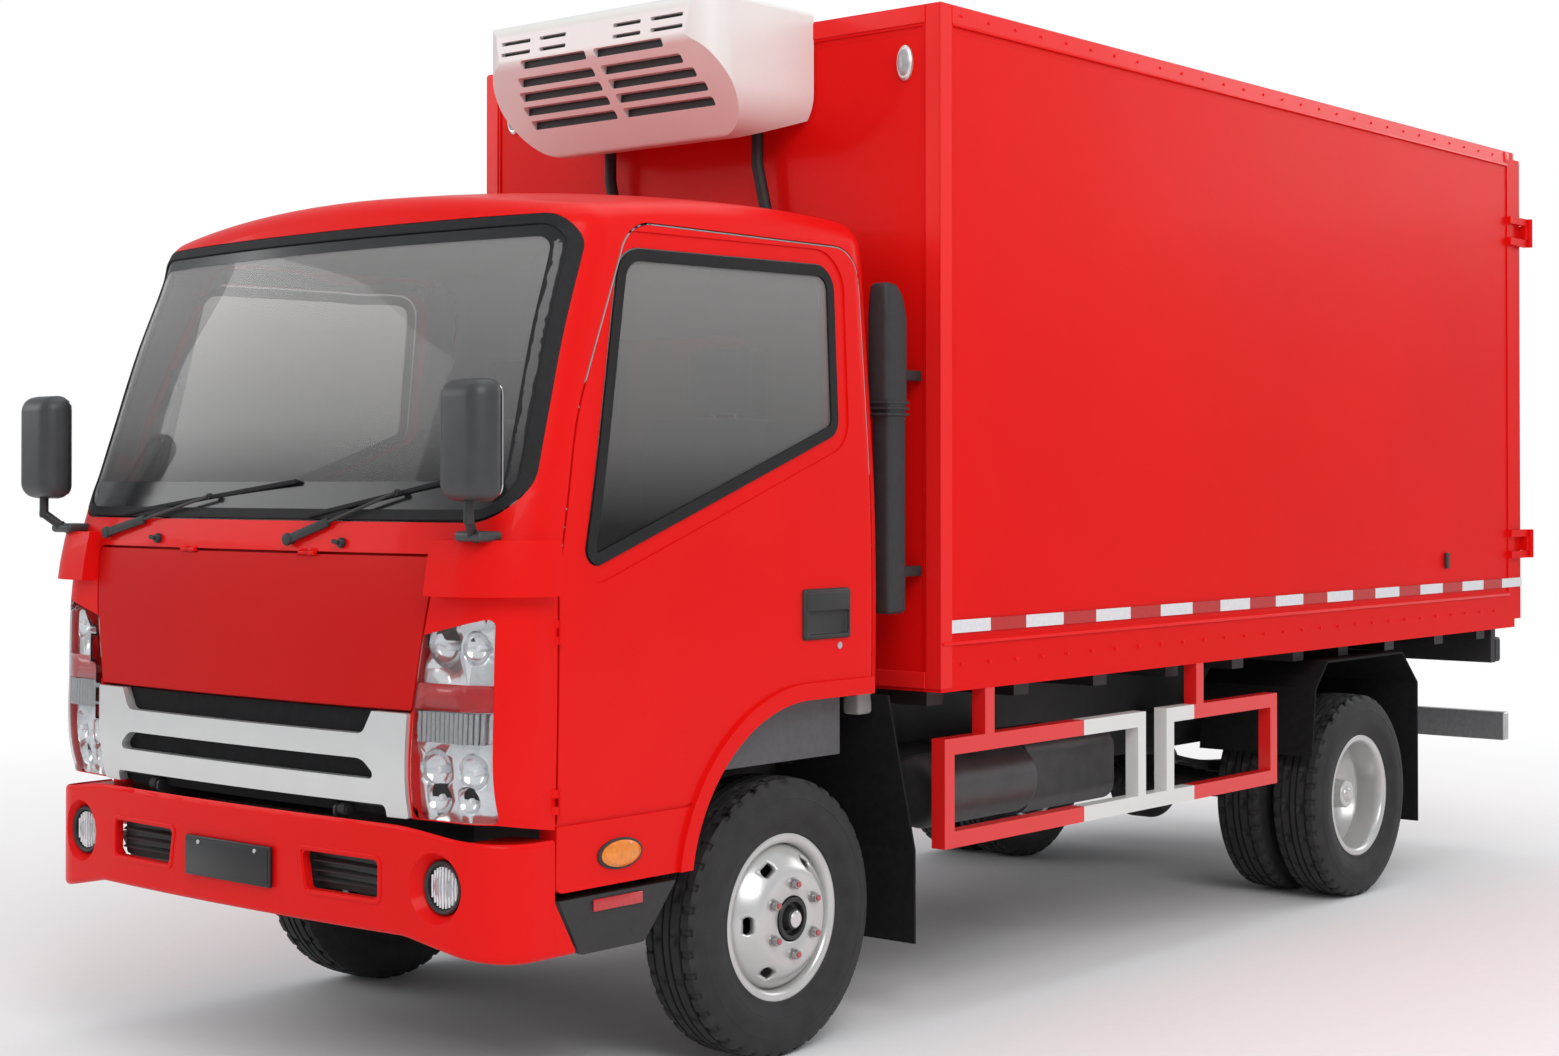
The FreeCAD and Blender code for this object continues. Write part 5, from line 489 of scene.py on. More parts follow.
zinc = finish_of("zinc_steel", (0.55, 0.56, 0.57), 0.38, spread=0.1, grain=60, Metallic=0.85)
iron = finish_of("cast_iron", (0.06, 0.057, 0.053), 0.6, spread=0.3, grain=25, bump=200, Metallic=0.5)
engine_alloy = finish_of("engine_alloy", (0.25, 0.25, 0.25), 0.45, spread=0.2, grain=18, bump=200,
                         Metallic=0.7)
unit_paint = finish_of("unit_white", (0.80, 0.79, 0.76), 0.35, spread=0.02, grain=6, Coat_Weight=0.3,
                       Coat_Roughness=0.12)
trim_silver = finish_of("trim_silver", (0.68, 0.68, 0.67), 0.32, spread=0.02, grain=10, wear=0.02,
                        Metallic=0.6)
dash_grey = finish_of("dash_grey", (0.09, 0.09, 0.095), 0.6, spread=0.1, grain=60, bump=500)
tank_paint = finish_of("tank_paint", (0.045, 0.045, 0.047), 0.45, spread=0.2, grain=15, bump=200)
floor_lining = finish_of("floor_lining", (0.018, 0.018, 0.019), 0.8, spread=0.2, grain=50, bump=300)

dress(red_paint, "cab_shell", "cab_door_left", "cab_door_right", "front_bumper")
dress(lid_red_shaded, "front_lid")
dress(box_paint, "box_walls", "box_roof", "box_trims", "box_rear_frame", "box_door_left", "box_door_right")
dress(black_paint, "chassis_frame", "leaf_springs", "rear_axle", "box_floor", "front_axle")
dress(iron, "knuckle_left", "knuckle_right")
dress(engine_alloy, "engine")
dress(liner_black, "arch_liners", "mudguards", "grille_backing")
dress(plastic, "step_boxes", "cooling_hoses")
dress(floor_lining, "cab_floor")
dress(grey_plastic, "air_intake", "door_handle_left", "door_handle_right", "mirrors", "steering_wheel")
dress(trim_silver, "grille")
dress(dash_grey, "dashboard")
dress(tank_paint, "tanks")
dress(zinc, "lock_gear_left", "lock_gear_right", "rear_underrun")
dress(unit_paint, "cooling_unit")
dress(grey_plastic, "seats", "tail_lamps")

# Glass: laminated screen and tempered door panes, grey tinted. The colour runs up each pane from
# the dark tint to a pale painted reflection of the bright surroundings near the top.


def glass_with_painted_reflection(name, low, high, dark, pale, clear):
    """Glass whose colour runs from its dark tint at the height low to a pale painted reflection at the height
    high.
    """
    glass = finish_of(name, (0.5, 0.5, 0.5), 0.02, wear=0.01, Transmission_Weight=clear, IOR=1.2)
    nodes, links = glass.node_tree.nodes, glass.node_tree.links
    place, ruler = nodes.new("ShaderNodeTexCoord"), nodes.new("ShaderNodeSeparateXYZ")
    span, tint_and_reflection = nodes.new("ShaderNodeMapRange"), nodes.new("ShaderNodeValToRGB")
    span.inputs["From Min"].default_value, span.inputs["From Max"].default_value = low, high
    tint_and_reflection.color_ramp.elements[0].color, tint_and_reflection.color_ramp.elements[1].color = (*dark, 1), (*pale, 1)
    middle = tint_and_reflection.color_ramp.elements.new(0.3)
    middle.color = (*(0.45 * d + 0.55 * p for d, p in zip(dark, pale)), 1)
    links.new(place.outputs["Object"], ruler.inputs["Vector"])
    links.new(ruler.outputs["Z"], span.inputs["Value"])
    links.new(span.outputs["Result"], tint_and_reflection.inputs["Fac"])
    links.new(tint_and_reflection.outputs["Color"], nodes["Principled BSDF"].inputs["Base Color"])
    return glass


screen_glass = glass_with_painted_reflection("screen_glass", 1.50, 2.22, (0.10, 0.10, 0.10), (0.78, 0.77, 0.76), 0.80)
side_glass = glass_with_painted_reflection("side_glass", 1.45, 2.15, (0.06, 0.06, 0.06), (0.66, 0.65, 0.64), 0.76)
dress(screen_glass, "cab_glass")
dress(side_glass, "door_glass_left", "door_glass_right")

# Screen seal and print: a rubber profile holds the bonded screen, and a black band is printed
# inside its edge, wider along the bottom. Both are cut as flat rings and pressed on the glass.
SCREEN_EDGE = [(-0.908, 1.469, 0.112), (0.908, 1.469, 0.112), (0.858, 2.234, 0.092), (-0.858, 2.234, 0.092)]
FOOT_EDGE = [(-0.85, 1.50, 0.02), (0.85, 1.50, 0.02), (0.86, 1.565, 0.02), (-0.86, 1.565, 0.02)]
SEAL_WIDE, SEAL_THICK = 0.026, 0.007
PRINT_WIDE, PRINT_THICK = 0.032, 0.0008
FOOT_CUT = 0.1


def spot(x, y, z):
    """Place in the frame of a point whose y is given from the front axle."""
    return (x, y + FRONT_AXLE_Y, z)


def rounded_line(corners, pitch=0.05, arc_steps=8):
    """Points along a closed outline of (u, v, radius) corners, close enough to follow a curve."""
    arcs = []
    for i, (u, v, radius) in enumerate(corners):
        here = Vector((u, v))
        back = (Vector(corners[i - 1][:2]) - here).normalized()
        ahead = (Vector(corners[(i + 1) % len(corners)][:2]) - here).normalized()
        half = back.angle(ahead) / 2
        radius = max(radius, 0.0005)
        centre = here + (back + ahead).normalized() * (radius / math.sin(half))
        tangent = radius / math.tan(half)
        start = (here + back * tangent - centre).normalized()
        end = (here + ahead * tangent - centre).normalized()
        arcs.append([centre + start.slerp(end, k / arc_steps) * radius for k in range(arc_steps + 1)])
    points = []
    for i, arc in enumerate(arcs):
        points += arc
        following = arcs[(i + 1) % len(arcs)][0]
        gaps = int((following - arc[-1]).length / pitch)
        points += [arc[-1].lerp(following, k / (gaps + 1)) for k in range(1, gaps + 1)]
    return [(p.x, p.y) for p in points]


def outlined(name, points, lay):
    """Flat face inside an outline, laid in space by lay(u, v)."""
    piece = drawn_line(name, [lay(*p) for p in points])
    bpy.ops.object.mode_set(mode="EDIT")
    bpy.ops.mesh.select_all(action="SELECT")
    bpy.ops.mesh.edge_face_add()
    bpy.ops.object.mode_set(mode="OBJECT")
    return piece


def ring_of(name, points, lay, width):
    """Flat ring between an outline and the same outline drawn in by a width."""
    piece = outlined(name, points, lay)
    bpy.ops.object.mode_set(mode="EDIT")
    bpy.ops.mesh.select_mode(type="FACE")
    bpy.ops.mesh.select_all(action="SELECT")
    bpy.ops.mesh.inset(thickness=width, use_even_offset=True)
    bpy.ops.mesh.delete(type="FACE")
    bpy.ops.mesh.select_mode(type="VERT")
    bpy.ops.object.mode_set(mode="OBJECT")
    return piece


def with_modifier(piece, kind, **values):
    """Put a modifier on the piece and apply it."""
    bpy.ops.object.select_all(action="DESELECT")
    bpy.context.view_layer.objects.active = piece
    piece.select_set(True)
    step = piece.modifiers.new("step", kind)
    for key, value in values.items():
        setattr(step, key, value)
    bpy.ops.object.modifier_apply(modifier="step")
    return piece


def pressed_on(piece, node, axis, thickness, lift=0.0):
    """Press a flat piece on a node along an axis (x or y), lift it and give it a thickness."""
    with_modifier(piece, "SHRINKWRAP", target=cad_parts[node], wrap_method="PROJECT",
                  use_project_x=axis == "x", use_project_y=axis == "y", use_negative_direction=True,
                  use_positive_direction=True)
    bpy.ops.object.mode_set(mode="EDIT")
    bpy.ops.mesh.select_all(action="SELECT")
    bpy.ops.mesh.normals_make_consistent(inside=False)
    mesh = bmesh.from_edit_mesh(piece.data)
    outward = sum((f.normal * f.calc_area() for f in mesh.faces), Vector())
    middle = sum((v.co for v in mesh.verts), Vector()) / len(mesh.verts)
    faces_out = outward.y < 0 if axis == "y" else outward.x * middle.x > 0
    if not faces_out:
        bpy.ops.mesh.flip_normals()
    if lift:
        bpy.ops.transform.shrink_fatten(value=lift)
    bpy.ops.object.mode_set(mode="OBJECT")
    with_modifier(piece, "SOLIDIFY", thickness=thickness, offset=1.0, use_even_offset=True)
    bpy.ops.object.shade_smooth_by_angle(angle=math.radians(40))
    return piece


def in_front(u, v):
    return (u, -3.1, v)


seal = ring_of("screen_seal", rounded_line(SCREEN_EDGE), in_front, SEAL_WIDE)
pressed_on(seal, "cab_glass", "y", SEAL_THICK, 0.0005)
rounded(seal, 0.002)
settle(seal, seal_rubber, "cab")
edge = SEAL_WIDE - 0.002
band_edge = [(-0.908 + edge, 1.469 + edge, 0.09), (0.908 - edge, 1.469 + edge, 0.09),
             (0.858 - edge, 2.234 - edge, 0.07), (-0.858 + edge, 2.234 - edge, 0.07)]
band = ring_of("screen_print", rounded_line(band_edge), in_front, PRINT_WIDE)
pressed_on(band, "cab_glass", "y", PRINT_THICK, 0.0002)
print_black = finish_of("printed_black", (0.008, 0.008, 0.009), 0.2, spread=0.2, wear=0.02)
settle(band, print_black, "cab")
foot_band = outlined("screen_foot_print", rounded_line(FOOT_EDGE, 0.04), in_front)
bpy.ops.object.mode_set(mode="EDIT")
for step in range(-8, 9):
    bpy.ops.mesh.select_all(action="SELECT")
    bpy.ops.mesh.bisect(plane_co=(step * FOOT_CUT, 0, 0), plane_no=(1, 0, 0))
bpy.ops.object.mode_set(mode="OBJECT")
pressed_on(foot_band, "cab_glass", "y", PRINT_THICK, 0.0001)
settle(foot_band, print_black, "cab")

# Wipers: pressed arms on two spindles in the cowl, each with a sprung rod and a rubber blade
# that rests on the screen. A washer jet stands beside each of them.
WIPERS = [((-0.664, 1.424), (-0.60, 1.478), (0.163, 1.566)),
          ((0.181, 1.418), (0.235, 1.478), (0.80, 1.588))]
BLADE_LIFT, ROD_LIFT = 0.013, 0.027
ARM_SHARE = 0.38
ROD_RADIUS = 0.0045
JETS = [-0.405, 0.372]
JET_HEIGHT = 1.412


def front_at(x, z, out=0.0, node="cab_glass"):
    """Point on the front of a node at x and z, held out from it."""
    found, point, facing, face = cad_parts[node].ray_cast((x, -5, z), (0, 1, 0))
    return (x, point.y - out, z)


def side_at(y, z, out=0.0, node="cab_door_left"):
    """Point on the left side of a node at y and z, held out from it."""
    found, point, facing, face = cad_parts[node].ray_cast((3, y, z), (-1, 0, 0))
    return (point.x + out, y, z)


def bar(name, start, end, wide, deep, round_off=0.0, facing=(0, -1, 0)):
    """A flat bar from start to end, its depth towards facing."""
    bpy.ops.object.select_all(action="DESELECT")
    start, end = Vector(start), Vector(end)
    ahead = (end - start).normalized()
    across = Vector(facing).cross(ahead).normalized()
    out = ahead.cross(across)
    bpy.ops.mesh.primitive_cube_add(size=1)
    piece = bpy.context.object
    piece.name = piece.data.name = name
    piece.scale = ((end - start).length, wide, deep)
    bpy.ops.object.transform_apply(location=False, rotation=False, scale=True)
    if round_off:
        rounded(piece, round_off)
    piece.rotation_mode = "QUATERNION"
    turn = bpy.context.object.matrix_world.to_3x3()
    turn.col[0], turn.col[1], turn.col[2] = ahead, across, out
    piece.rotation_quaternion = turn.to_quaternion()
    piece.location = (start + end) / 2
    bpy.ops.object.transform_apply(location=True, rotation=True, scale=True)
    return piece


for i, (base, low, high) in enumerate(WIPERS):
    pivot = front_at(*base, 0.012, "cab_shell")
    a, b = front_at(*low, BLADE_LIFT), front_at(*high, BLADE_LIFT)
    middle = front_at((low[0] * 0.45 + high[0] * 0.55), (low[1] * 0.45 + high[1] * 0.55), ROD_LIFT)
    knee = tuple(p + (q - p) * ARM_SHARE for p, q in zip(pivot, middle))
    arm = joined("wiper_arm_%d" % i, [
        rod("spindle", front_at(*base, -0.01, "cab_shell"), pivot, 0.013, 24, 0.002),
        rod("spindle_cap", pivot, (pivot[0], pivot[1] - 0.012, pivot[2]), 0.0165, 24, 0.004),
        bar("arm", (pivot[0], pivot[1] - 0.004, pivot[2]), knee, 0.024, 0.012, 0.004),
        rod("spring_rod", knee, middle, ROD_RADIUS, 12),
        rod("clip", middle, (middle[0], middle[1] + 0.012, middle[2]), 0.008, 12)])
    settle(arm, plastic, "cab")
    blade = joined("wiper_blade_%d" % i, [bar("bow", a, b, 0.012, 0.010, 0.003),
                                          bar("lip", tuple(Vector(a) + Vector((0, 0.006, 0))),
                                              tuple(Vector(b) + Vector((0, 0.006, 0))), 0.006, 0.009)])
    settle(blade, seal_rubber, "cab")
for i, x in enumerate(JETS):
    foot = front_at(x, JET_HEIGHT, -0.004, "cab_shell")
    tip = front_at(x, JET_HEIGHT, 0.014, "cab_shell")
    jet = joined("washer_jet_%d" % i, [
        rod("jet_foot", foot, tip, 0.013, 20, 0.005),
        rod("jet_nozzle", tip, (tip[0] - 0.022, tip[1] - 0.002, tip[2] + 0.004), 0.006, 12, 0.002)])
    settle(jet, plastic, "cab")

# Headlamps: one clear moulded lens over each bright reflector. A red band and a fluted band cross
# the middle, and two bowls with bulbs fill the foot. The lens is the lamp's outer skin.
RED_ZONE = (1.014, 1.077)
RED_BACK = 0.006
FLUTE_ZONE = (0.936, 1.010)
FLUTES, FLUTE_FROM, FLUTE_PITCH, FLUTE_RADIUS, FLUTE_BACK = 14, 0.664, 0.0148, 0.0068, 0.016
HOUSING_BACK = 0.030
LENS_THICK = 0.003
BOWLS = [(0.705, 0.868, 0.052), (0.822, 0.868, 0.046), (0.705, 0.800, 0.044), (0.80, 0.798, 0.036),
         (0.73, 1.165, 0.050), (0.825, 1.165, 0.042)]


def copy_of(node, name):
    """Copy of a node's solid with its triangles merged, to be cut up."""
    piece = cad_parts[node].copy()
    piece.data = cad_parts[node].data.copy()
    piece.name = piece.data.name = name
    for key in list(piece.keys()):
        del piece[key]
    piece.parent = None
    scene.collection.objects.link(piece)
    bpy.ops.object.select_all(action="DESELECT")
    bpy.context.view_layer.objects.active = piece
    piece.select_set(True)
    bpy.ops.object.mode_set(mode="EDIT")
    bpy.ops.mesh.select_all(action="SELECT")
    bpy.ops.mesh.remove_doubles(threshold=0.00001)
    bpy.ops.object.mode_set(mode="OBJECT")
    return piece


def slice_of(piece, name, place, facing):
    """What is left of a copy of the piece behind a plane, closed where it is cut."""
    part = piece.copy()
    part.data = piece.data.copy()
    part.name = part.data.name = name
    scene.collection.objects.link(part)
    bpy.ops.object.select_all(action="DESELECT")
    bpy.context.view_layer.objects.active = part
    part.select_set(True)
    bpy.ops.object.mode_set(mode="EDIT")
    bpy.ops.mesh.select_all(action="SELECT")
    bpy.ops.mesh.bisect(plane_co=place, plane_no=facing, use_fill=True, clear_outer=True)
    bpy.ops.object.mode_set(mode="OBJECT")
    return part


def zone_of(piece, name, low, high):
    """Part of the piece between two heights."""
    under = slice_of(piece, "under", (0, 0, high), (0, 0, 1))
    part = slice_of(under, name, (0, 0, low), (0, 0, -1))
    bpy.data.objects.remove(under, do_unlink=True)
    return part


reflector = finish_of("lamp_reflector", (0.74, 0.75, 0.76), 0.16, spread=0.1, grain=30, bump=60,
                      relief=0.0006, Metallic=0.75)
lamp_clear = finish_of("lamp_clear", (0.9, 0.91, 0.92), 0.03, spread=0.01, wear=0.01,
                       Transmission_Weight=1.0, IOR=1.12, Specular_IOR_Level=0.6)
lamp_red = finish_of("lamp_red", (0.50, 0.012, 0.014), 0.15, spread=0.15, grain=90, Coat_Weight=0.6,
                     Coat_Roughness=0.03)
lamp_grey = finish_of("lamp_fluted", (0.42, 0.42, 0.43), 0.2, spread=0.1, grain=80, Metallic=0.4,
                      Coat_Weight=0.5)
lamp_bulb = finish_of("lamp_bulb", (0.85, 0.86, 0.88), 0.08, spread=0.02, wear=0.02, Specular_IOR_Level=0.7)
lamp_body = copy_of("headlamps", "lamp_body")
lamp_parts = []
for side, sign in (("left", 1), ("right", -1)):
    half = slice_of(lamp_body, "lamp_half", (0, 0, 0), (-sign, 0, 0))
    housing = copy_to(half, "lamp_housing_" + side, (0, HOUSING_BACK, 0))
    for x, z, radius in BOWLS:
        face_y = front_at(sign * x, z, 0, "headlamps")[1] + HOUSING_BACK
        bpy.ops.object.select_all(action="DESELECT")
        bpy.ops.mesh.primitive_uv_sphere_add(segments=32, ring_count=16, radius=radius,
                                             location=(sign * x, face_y - 0.006, z))
        bpy.context.object.scale = (1, 0.85, 1)
        bored(housing, bpy.context.object)
        bulb = rod("lamp_bulb_%s_%d" % (side, int(x * 1000 + z * 100)),
                   (sign * x, face_y + radius * 0.75, z),
                   (sign * x, face_y + 0.004, z), radius * 0.2, 16, radius * 0.09)
        lamp_parts.append((bulb, lamp_bulb, "lamp"))
    bpy.ops.object.select_all(action="DESELECT")
    bpy.context.view_layer.objects.active = housing
    housing.select_set(True)
    bpy.ops.object.shade_smooth_by_angle(angle=math.radians(30))
    lamp_parts.append((housing, reflector, "chrome"))
    red_band = zone_of(half, "lamp_red_band_" + side, *RED_ZONE)
    band = copy_to(red_band, "lamp_red_band_%s_lens" % side, (0, RED_BACK, 0))
    lamp_parts.append((band, lamp_red, "red_lamp"))
    bpy.data.objects.remove(red_band, do_unlink=True)
    flutes = []
    for k in range(FLUTES):
        x = sign * (FLUTE_FROM + k * FLUTE_PITCH)
        low, top = [front_at(x, z, -FLUTE_BACK, "headlamps") for z in FLUTE_ZONE]
        flutes.append(rod("flute", low, top, FLUTE_RADIUS, 10))
    lamp_parts.append((joined("lamp_flutes_" + side, flutes), lamp_grey, "lamp"))
    lens = half
    lens.name = lens.data.name = "lamp_lens_" + side
    pick_faces(lens, lambda face: face.normal.y > -0.2)
    bpy.ops.mesh.delete(type="FACE")
    bpy.ops.object.mode_set(mode="OBJECT")
    with_modifier(lens, "SOLIDIFY", thickness=LENS_THICK, offset=-1.0)
    lamp_parts.append((lens, lamp_clear, "lamp"))
bpy.data.objects.remove(lamp_body, do_unlink=True)
for part, material, slot in lamp_parts:
    settle(part, material, "cab", ["headlamps"])

# Grille insert: black plastic slats stand behind the silver bars and below the lid.
SLATS = [0.770, 0.848, 0.868, 0.955, 0.975]
for i, z in enumerate(SLATS):
    half = 0.575 if z < 0.95 else 0.60
    slat = block("grille_slat_%d" % i, (-half, -2.925, z - 0.0035), (half, -2.905, z + 0.0035), 0.001)
    settle(slat, plastic, "cab")

# Bumper fittings: blank black plate on two screws, black louvred vents with a bevelled rim, and
# ribbed fog lamps in round mouths.
PLATE = [(-0.195, 0.533), (0.163, 0.637)]
VENT_EDGE = [(0.290, 0.545, 0.012), (0.548, 0.545, 0.012), (0.548, 0.640, 0.016), (0.272, 0.640, 0.012)]
VENT_RIM_EDGE = [(0.277, 0.532, 0.018), (0.561, 0.532, 0.018), (0.561, 0.653, 0.022), (0.256, 0.653, 0.018)]
VENT_RIM = 0.010
FOG_X, FOG_Z, FOG_RADIUS = 0.745, 0.590, 0.054
FOG_LENS = [(0.030, 0.0), (0.030, FOG_RADIUS), (0.004, FOG_RADIUS), (-0.002, FOG_RADIUS * 0.9),
            (-0.008, FOG_RADIUS * 0.5), (-0.009, 0.0)]
FOG_COLLAR = [(0.028, FOG_RADIUS), (0.028, FOG_RADIUS + 0.011), (-0.010, FOG_RADIUS + 0.011),
              (-0.013, FOG_RADIUS + 0.007), (-0.008, FOG_RADIUS)]


def bumper_at(x, z, out=0.0):
    return front_at(x, z, out, "front_bumper")


plate_black = finish_of("plate_black", (0.010, 0.010, 0.011), 0.35, spread=0.15, grain=40)
plate_y = bumper_at(0.0, 0.585)[1]
plate = joined("number_plate", [
    block("blank", (PLATE[0][0], plate_y - 0.012, PLATE[0][1]),
          (PLATE[1][0], plate_y - 0.002, PLATE[1][1]), 0.003, 3),
    block("raised_field", (PLATE[0][0] + 0.008, plate_y - 0.0135, PLATE[0][1] + 0.008),
          (PLATE[1][0] - 0.008, plate_y - 0.010, PLATE[1][1] - 0.008), 0.001)])
settle(plate, plate_black, "chassis")
screws = joined("plate_screws", [
    rod("screw", (x, plate_y - 0.016, 0.622), (x, plate_y - 0.008, 0.622), 0.006, 16, 0.002)
    for x in (-0.135, 0.103)])
settle(screws, zinc, "chassis")
for side, sign in (("left", 1), ("right", -1)):
    corners = [(sign * u, v, r) for u, v, r in VENT_EDGE]
    deep_y = bumper_at(sign * 0.20, 0.59)[1] + 0.050
    panel = outlined("vent_panel_" + side, rounded_line(corners, 0.08, 3), lambda u, v: (u, deep_y, v))
    with_modifier(panel, "SOLIDIFY", thickness=0.004, offset=0)
    slats = [panel]
    for z in (0.568, 0.592, 0.616):
        slats.append(bar("vent_slat", (sign * 0.282, deep_y - 0.012, z),
                         (sign * 0.548, deep_y - 0.004, z), 0.018, 0.004, 0.001, (0, -0.5, 1)))
    settle(joined("vent_back_" + side, slats), plastic, "chassis")
    rim_line = rounded_line([(sign * u, v, r) for u, v, r in VENT_RIM_EDGE], 0.03, 4)
    rim = ring_of("vent_rim_" + side, rim_line, in_front, VENT_RIM)
    pressed_on(rim, "front_bumper", "y", 0.005, -0.002)
    rounded(rim, 0.002)
    settle(rim, red_paint, "chassis")
    lamp_y = -2.912
    lamp = spun("fog_lens_" + side, FOG_LENS, (sign * FOG_X, lamp_y, FOG_Z), 32, (0, 1, 0), closed=False)
    settle(lamp, lamp_grey, "chassis", ["small_lamps"])
    ribs = joined("fog_ribs_" + side, [
        rod("rib", (sign * FOG_X + k * 0.0105, lamp_y - 0.007 + abs(k) * 0.001, FOG_Z - reach),
            (sign * FOG_X + k * 0.0105, lamp_y - 0.007 + abs(k) * 0.001, FOG_Z + reach), 0.0028, 8)
        for k in range(-4, 5) for reach in [math.sqrt(FOG_RADIUS ** 2 * 0.86 - (k * 0.0105) ** 2)]])
    settle(ribs, lamp_bulb, "chassis", ["small_lamps"])
    collar = spun("fog_collar_" + side, FOG_COLLAR, (sign * FOG_X, lamp_y, FOG_Z), 48, (0, 1, 0))
    settle(collar, plastic, "chassis", ["small_lamps"])

# Marker lamps: oval grey lenses in silver rims, high on the front wall of the box.
MARKER_X, MARKER_Y, MARKER_Z = 0.835, -1.204, 2.80
MARKER_RIM = [(0.002, 0.0), (0.002, 0.030), (-0.006, 0.030), (-0.011, 0.026), (-0.011, 0.022)]
MARKER_LENS = [(-0.004, 0.0235), (-0.013, 0.0225), (-0.018, 0.016), (-0.020, 0.008), (-0.0205, 0.0)]
for side, sign in (("left", 1), ("right", -1)):
    oval = spun("marker_rim_" + side, MARKER_RIM, (0, 0, 0), 32, (0, 1, 0), closed=False)
    lens = spun("marker_lens_" + side, MARKER_LENS, (0, 0, 0), 32, (0, 1, 0), closed=False)
    for piece, material, slot in ((oval, trim_silver, "chrome"), (lens, lamp_grey, "lamp")):
        piece.scale = (0.92, 1, 1.75)
        piece.location = (sign * MARKER_X, MARKER_Y, MARKER_Z)
        settle(piece, material, "chassis", ["small_lamps"])

# Door trim: rubber round the window, the pull handle in its pocket with a lock below, the orange
# side lamp low on the door and the door's inner card.
WINDOW_EDGE = [(-0.812 + FRONT_AXLE_Y, 1.339, 0.038), (0.201 + FRONT_AXLE_Y, 1.7, 0.058),
               (0.218 + FRONT_AXLE_Y, 2.168, 0.068), (-0.636 + FRONT_AXLE_Y, 2.156, 0.093)]
POCKET = [(0.022, 1.132), (0.226, 1.272)]
LOCK_Y, LOCK_Z = 0.184 + FRONT_AXLE_Y, 1.112
DOOR_LAMP_Y, DOOR_LAMP_Z = -0.676 + FRONT_AXLE_Y, 0.640
DOOR_LAMP = [(0.0, 0.0), (0.0, 0.034), (0.008, 0.033), (0.015, 0.026), (0.018, 0.012), (0.0185, 0.0)]
DOOR_LAMP_FOOT = [(-0.004, 0.0), (-0.004, 0.039), (0.004, 0.039), (0.006, 0.036), (0.006, 0.0)]
lamp_orange = finish_of("lamp_orange", (0.80, 0.23, 0.012), 0.15, spread=0.15, grain=60, Coat_Weight=0.7,
                        Coat_Roughness=0.03)
for side, sign in (("left", 1), ("right", -1)):
    body = "cab_door_" + side

    def beside(u, v, sign=sign):
        return (sign * 1.1, u, v)

    seal = ring_of("window_seal_" + side, rounded_line(WINDOW_EDGE, 0.04), beside, 0.030)
    pressed_on(seal, "door_glass_" + side, "x", 0.006, 0.0005)
    settle(seal, seal_rubber, body)
    middle_y, middle_z = 0.124 + FRONT_AXLE_Y, 1.202
    face = side_at(middle_y, middle_z + 0.1)[0]
    pocket = block("handle_pocket_" + side, (face - 0.030, POCKET[0][0] + FRONT_AXLE_Y, POCKET[0][1]),
                   (face + 0.011, POCKET[1][0] + FRONT_AXLE_Y, POCKET[1][1]), 0.010, 3)
    cup = block("cup", (face + 0.001, POCKET[0][0] + FRONT_AXLE_Y + 0.014, POCKET[0][1] + 0.014),
                (face + 0.03, POCKET[1][0] + FRONT_AXLE_Y - 0.014, POCKET[1][1] - 0.048), 0.008, 3)
    bored(pocket, cup)
    grip = block("grip", (face + 0.002, POCKET[0][0] + FRONT_AXLE_Y + 0.008, POCKET[1][1] - 0.062),
                 (face + 0.015, POCKET[1][0] + FRONT_AXLE_Y - 0.008, POCKET[1][1] - 0.008), 0.006, 3)
    handle = joined("door_pull_" + side, [pocket, grip])
    lock = rod("door_lock_" + side, side_at(LOCK_Y, LOCK_Z, -0.004), side_at(LOCK_Y, LOCK_Z, 0.003),
               0.010, 24, 0.0015)
    pad_x = side_at(DOOR_LAMP_Y, DOOR_LAMP_Z, 0.0)[0]
    lamp = spun("door_lamp_" + side, DOOR_LAMP, (0, 0, 0), 32, closed=False)
    lamp.scale = (1, 2.1, 1)
    lamp.location = (pad_x, DOOR_LAMP_Y, DOOR_LAMP_Z)
    foot = spun("door_lamp_foot_" + side, DOOR_LAMP_FOOT, (0, 0, 0), 32, closed=False)
    foot.scale = (1, 2.05, 1)
    foot.location = (pad_x, DOOR_LAMP_Y, DOOR_LAMP_Z)
    for piece, material, slot, hidden in ((handle, plastic, "black_plastic", ["door_handle_" + side]),
                                          (lock, zinc, "wheel_steel", []), (lamp, lamp_orange, "lamp", []),
                                          (foot, plastic, "black_plastic", [])):
        if side == "right":
            bpy.ops.object.select_all(action="DESELECT")
            bpy.context.view_layer.objects.active = piece
            piece.select_set(True)
            bpy.ops.object.transform_apply(location=True, rotation=True, scale=True)
            wanted_name, piece.name = piece.name, "left_hand_piece"
            mirrored = copy_to(piece, wanted_name, flip=True)
            bpy.data.objects.remove(piece, do_unlink=True)
            piece = mirrored
        settle(piece, material, body, hidden)
    card = block("door_card_" + side, (sign * 0.862, -2.60, 0.80), (sign * 0.874, -1.56, 1.33), 0.004)
    pull = block("arm_rest", (sign * 0.835, -2.25, 1.155), (sign * 0.866, -1.80, 1.205), 0.012, 4)
    settle(joined("door_lining_" + side, [card, pull]), dash_grey, body)

# Steps: black plastic boxes below the doors carry a red reflector each.
for side, sign in (("left", 1), ("right", -1)):
    strip = block("step_reflector_" + side, (sign * 0.914, -0.765 + FRONT_AXLE_Y, 0.505),
                  (sign * 0.921, -0.590 + FRONT_AXLE_Y, 0.535), 0.003, 3)
    settle(strip, lamp_red, "cab")

# Cab lining: grey moulded board under the roof, down the pillars and over the rear wall, and on the
# doors round their windows. It is the inner skin of the pressings, lifted off and given a thickness.
lining_grey = finish_of("lining_grey", (0.33, 0.33, 0.325), 0.8, spread=0.06, grain=70, bump=600,
                        relief=0.0003)


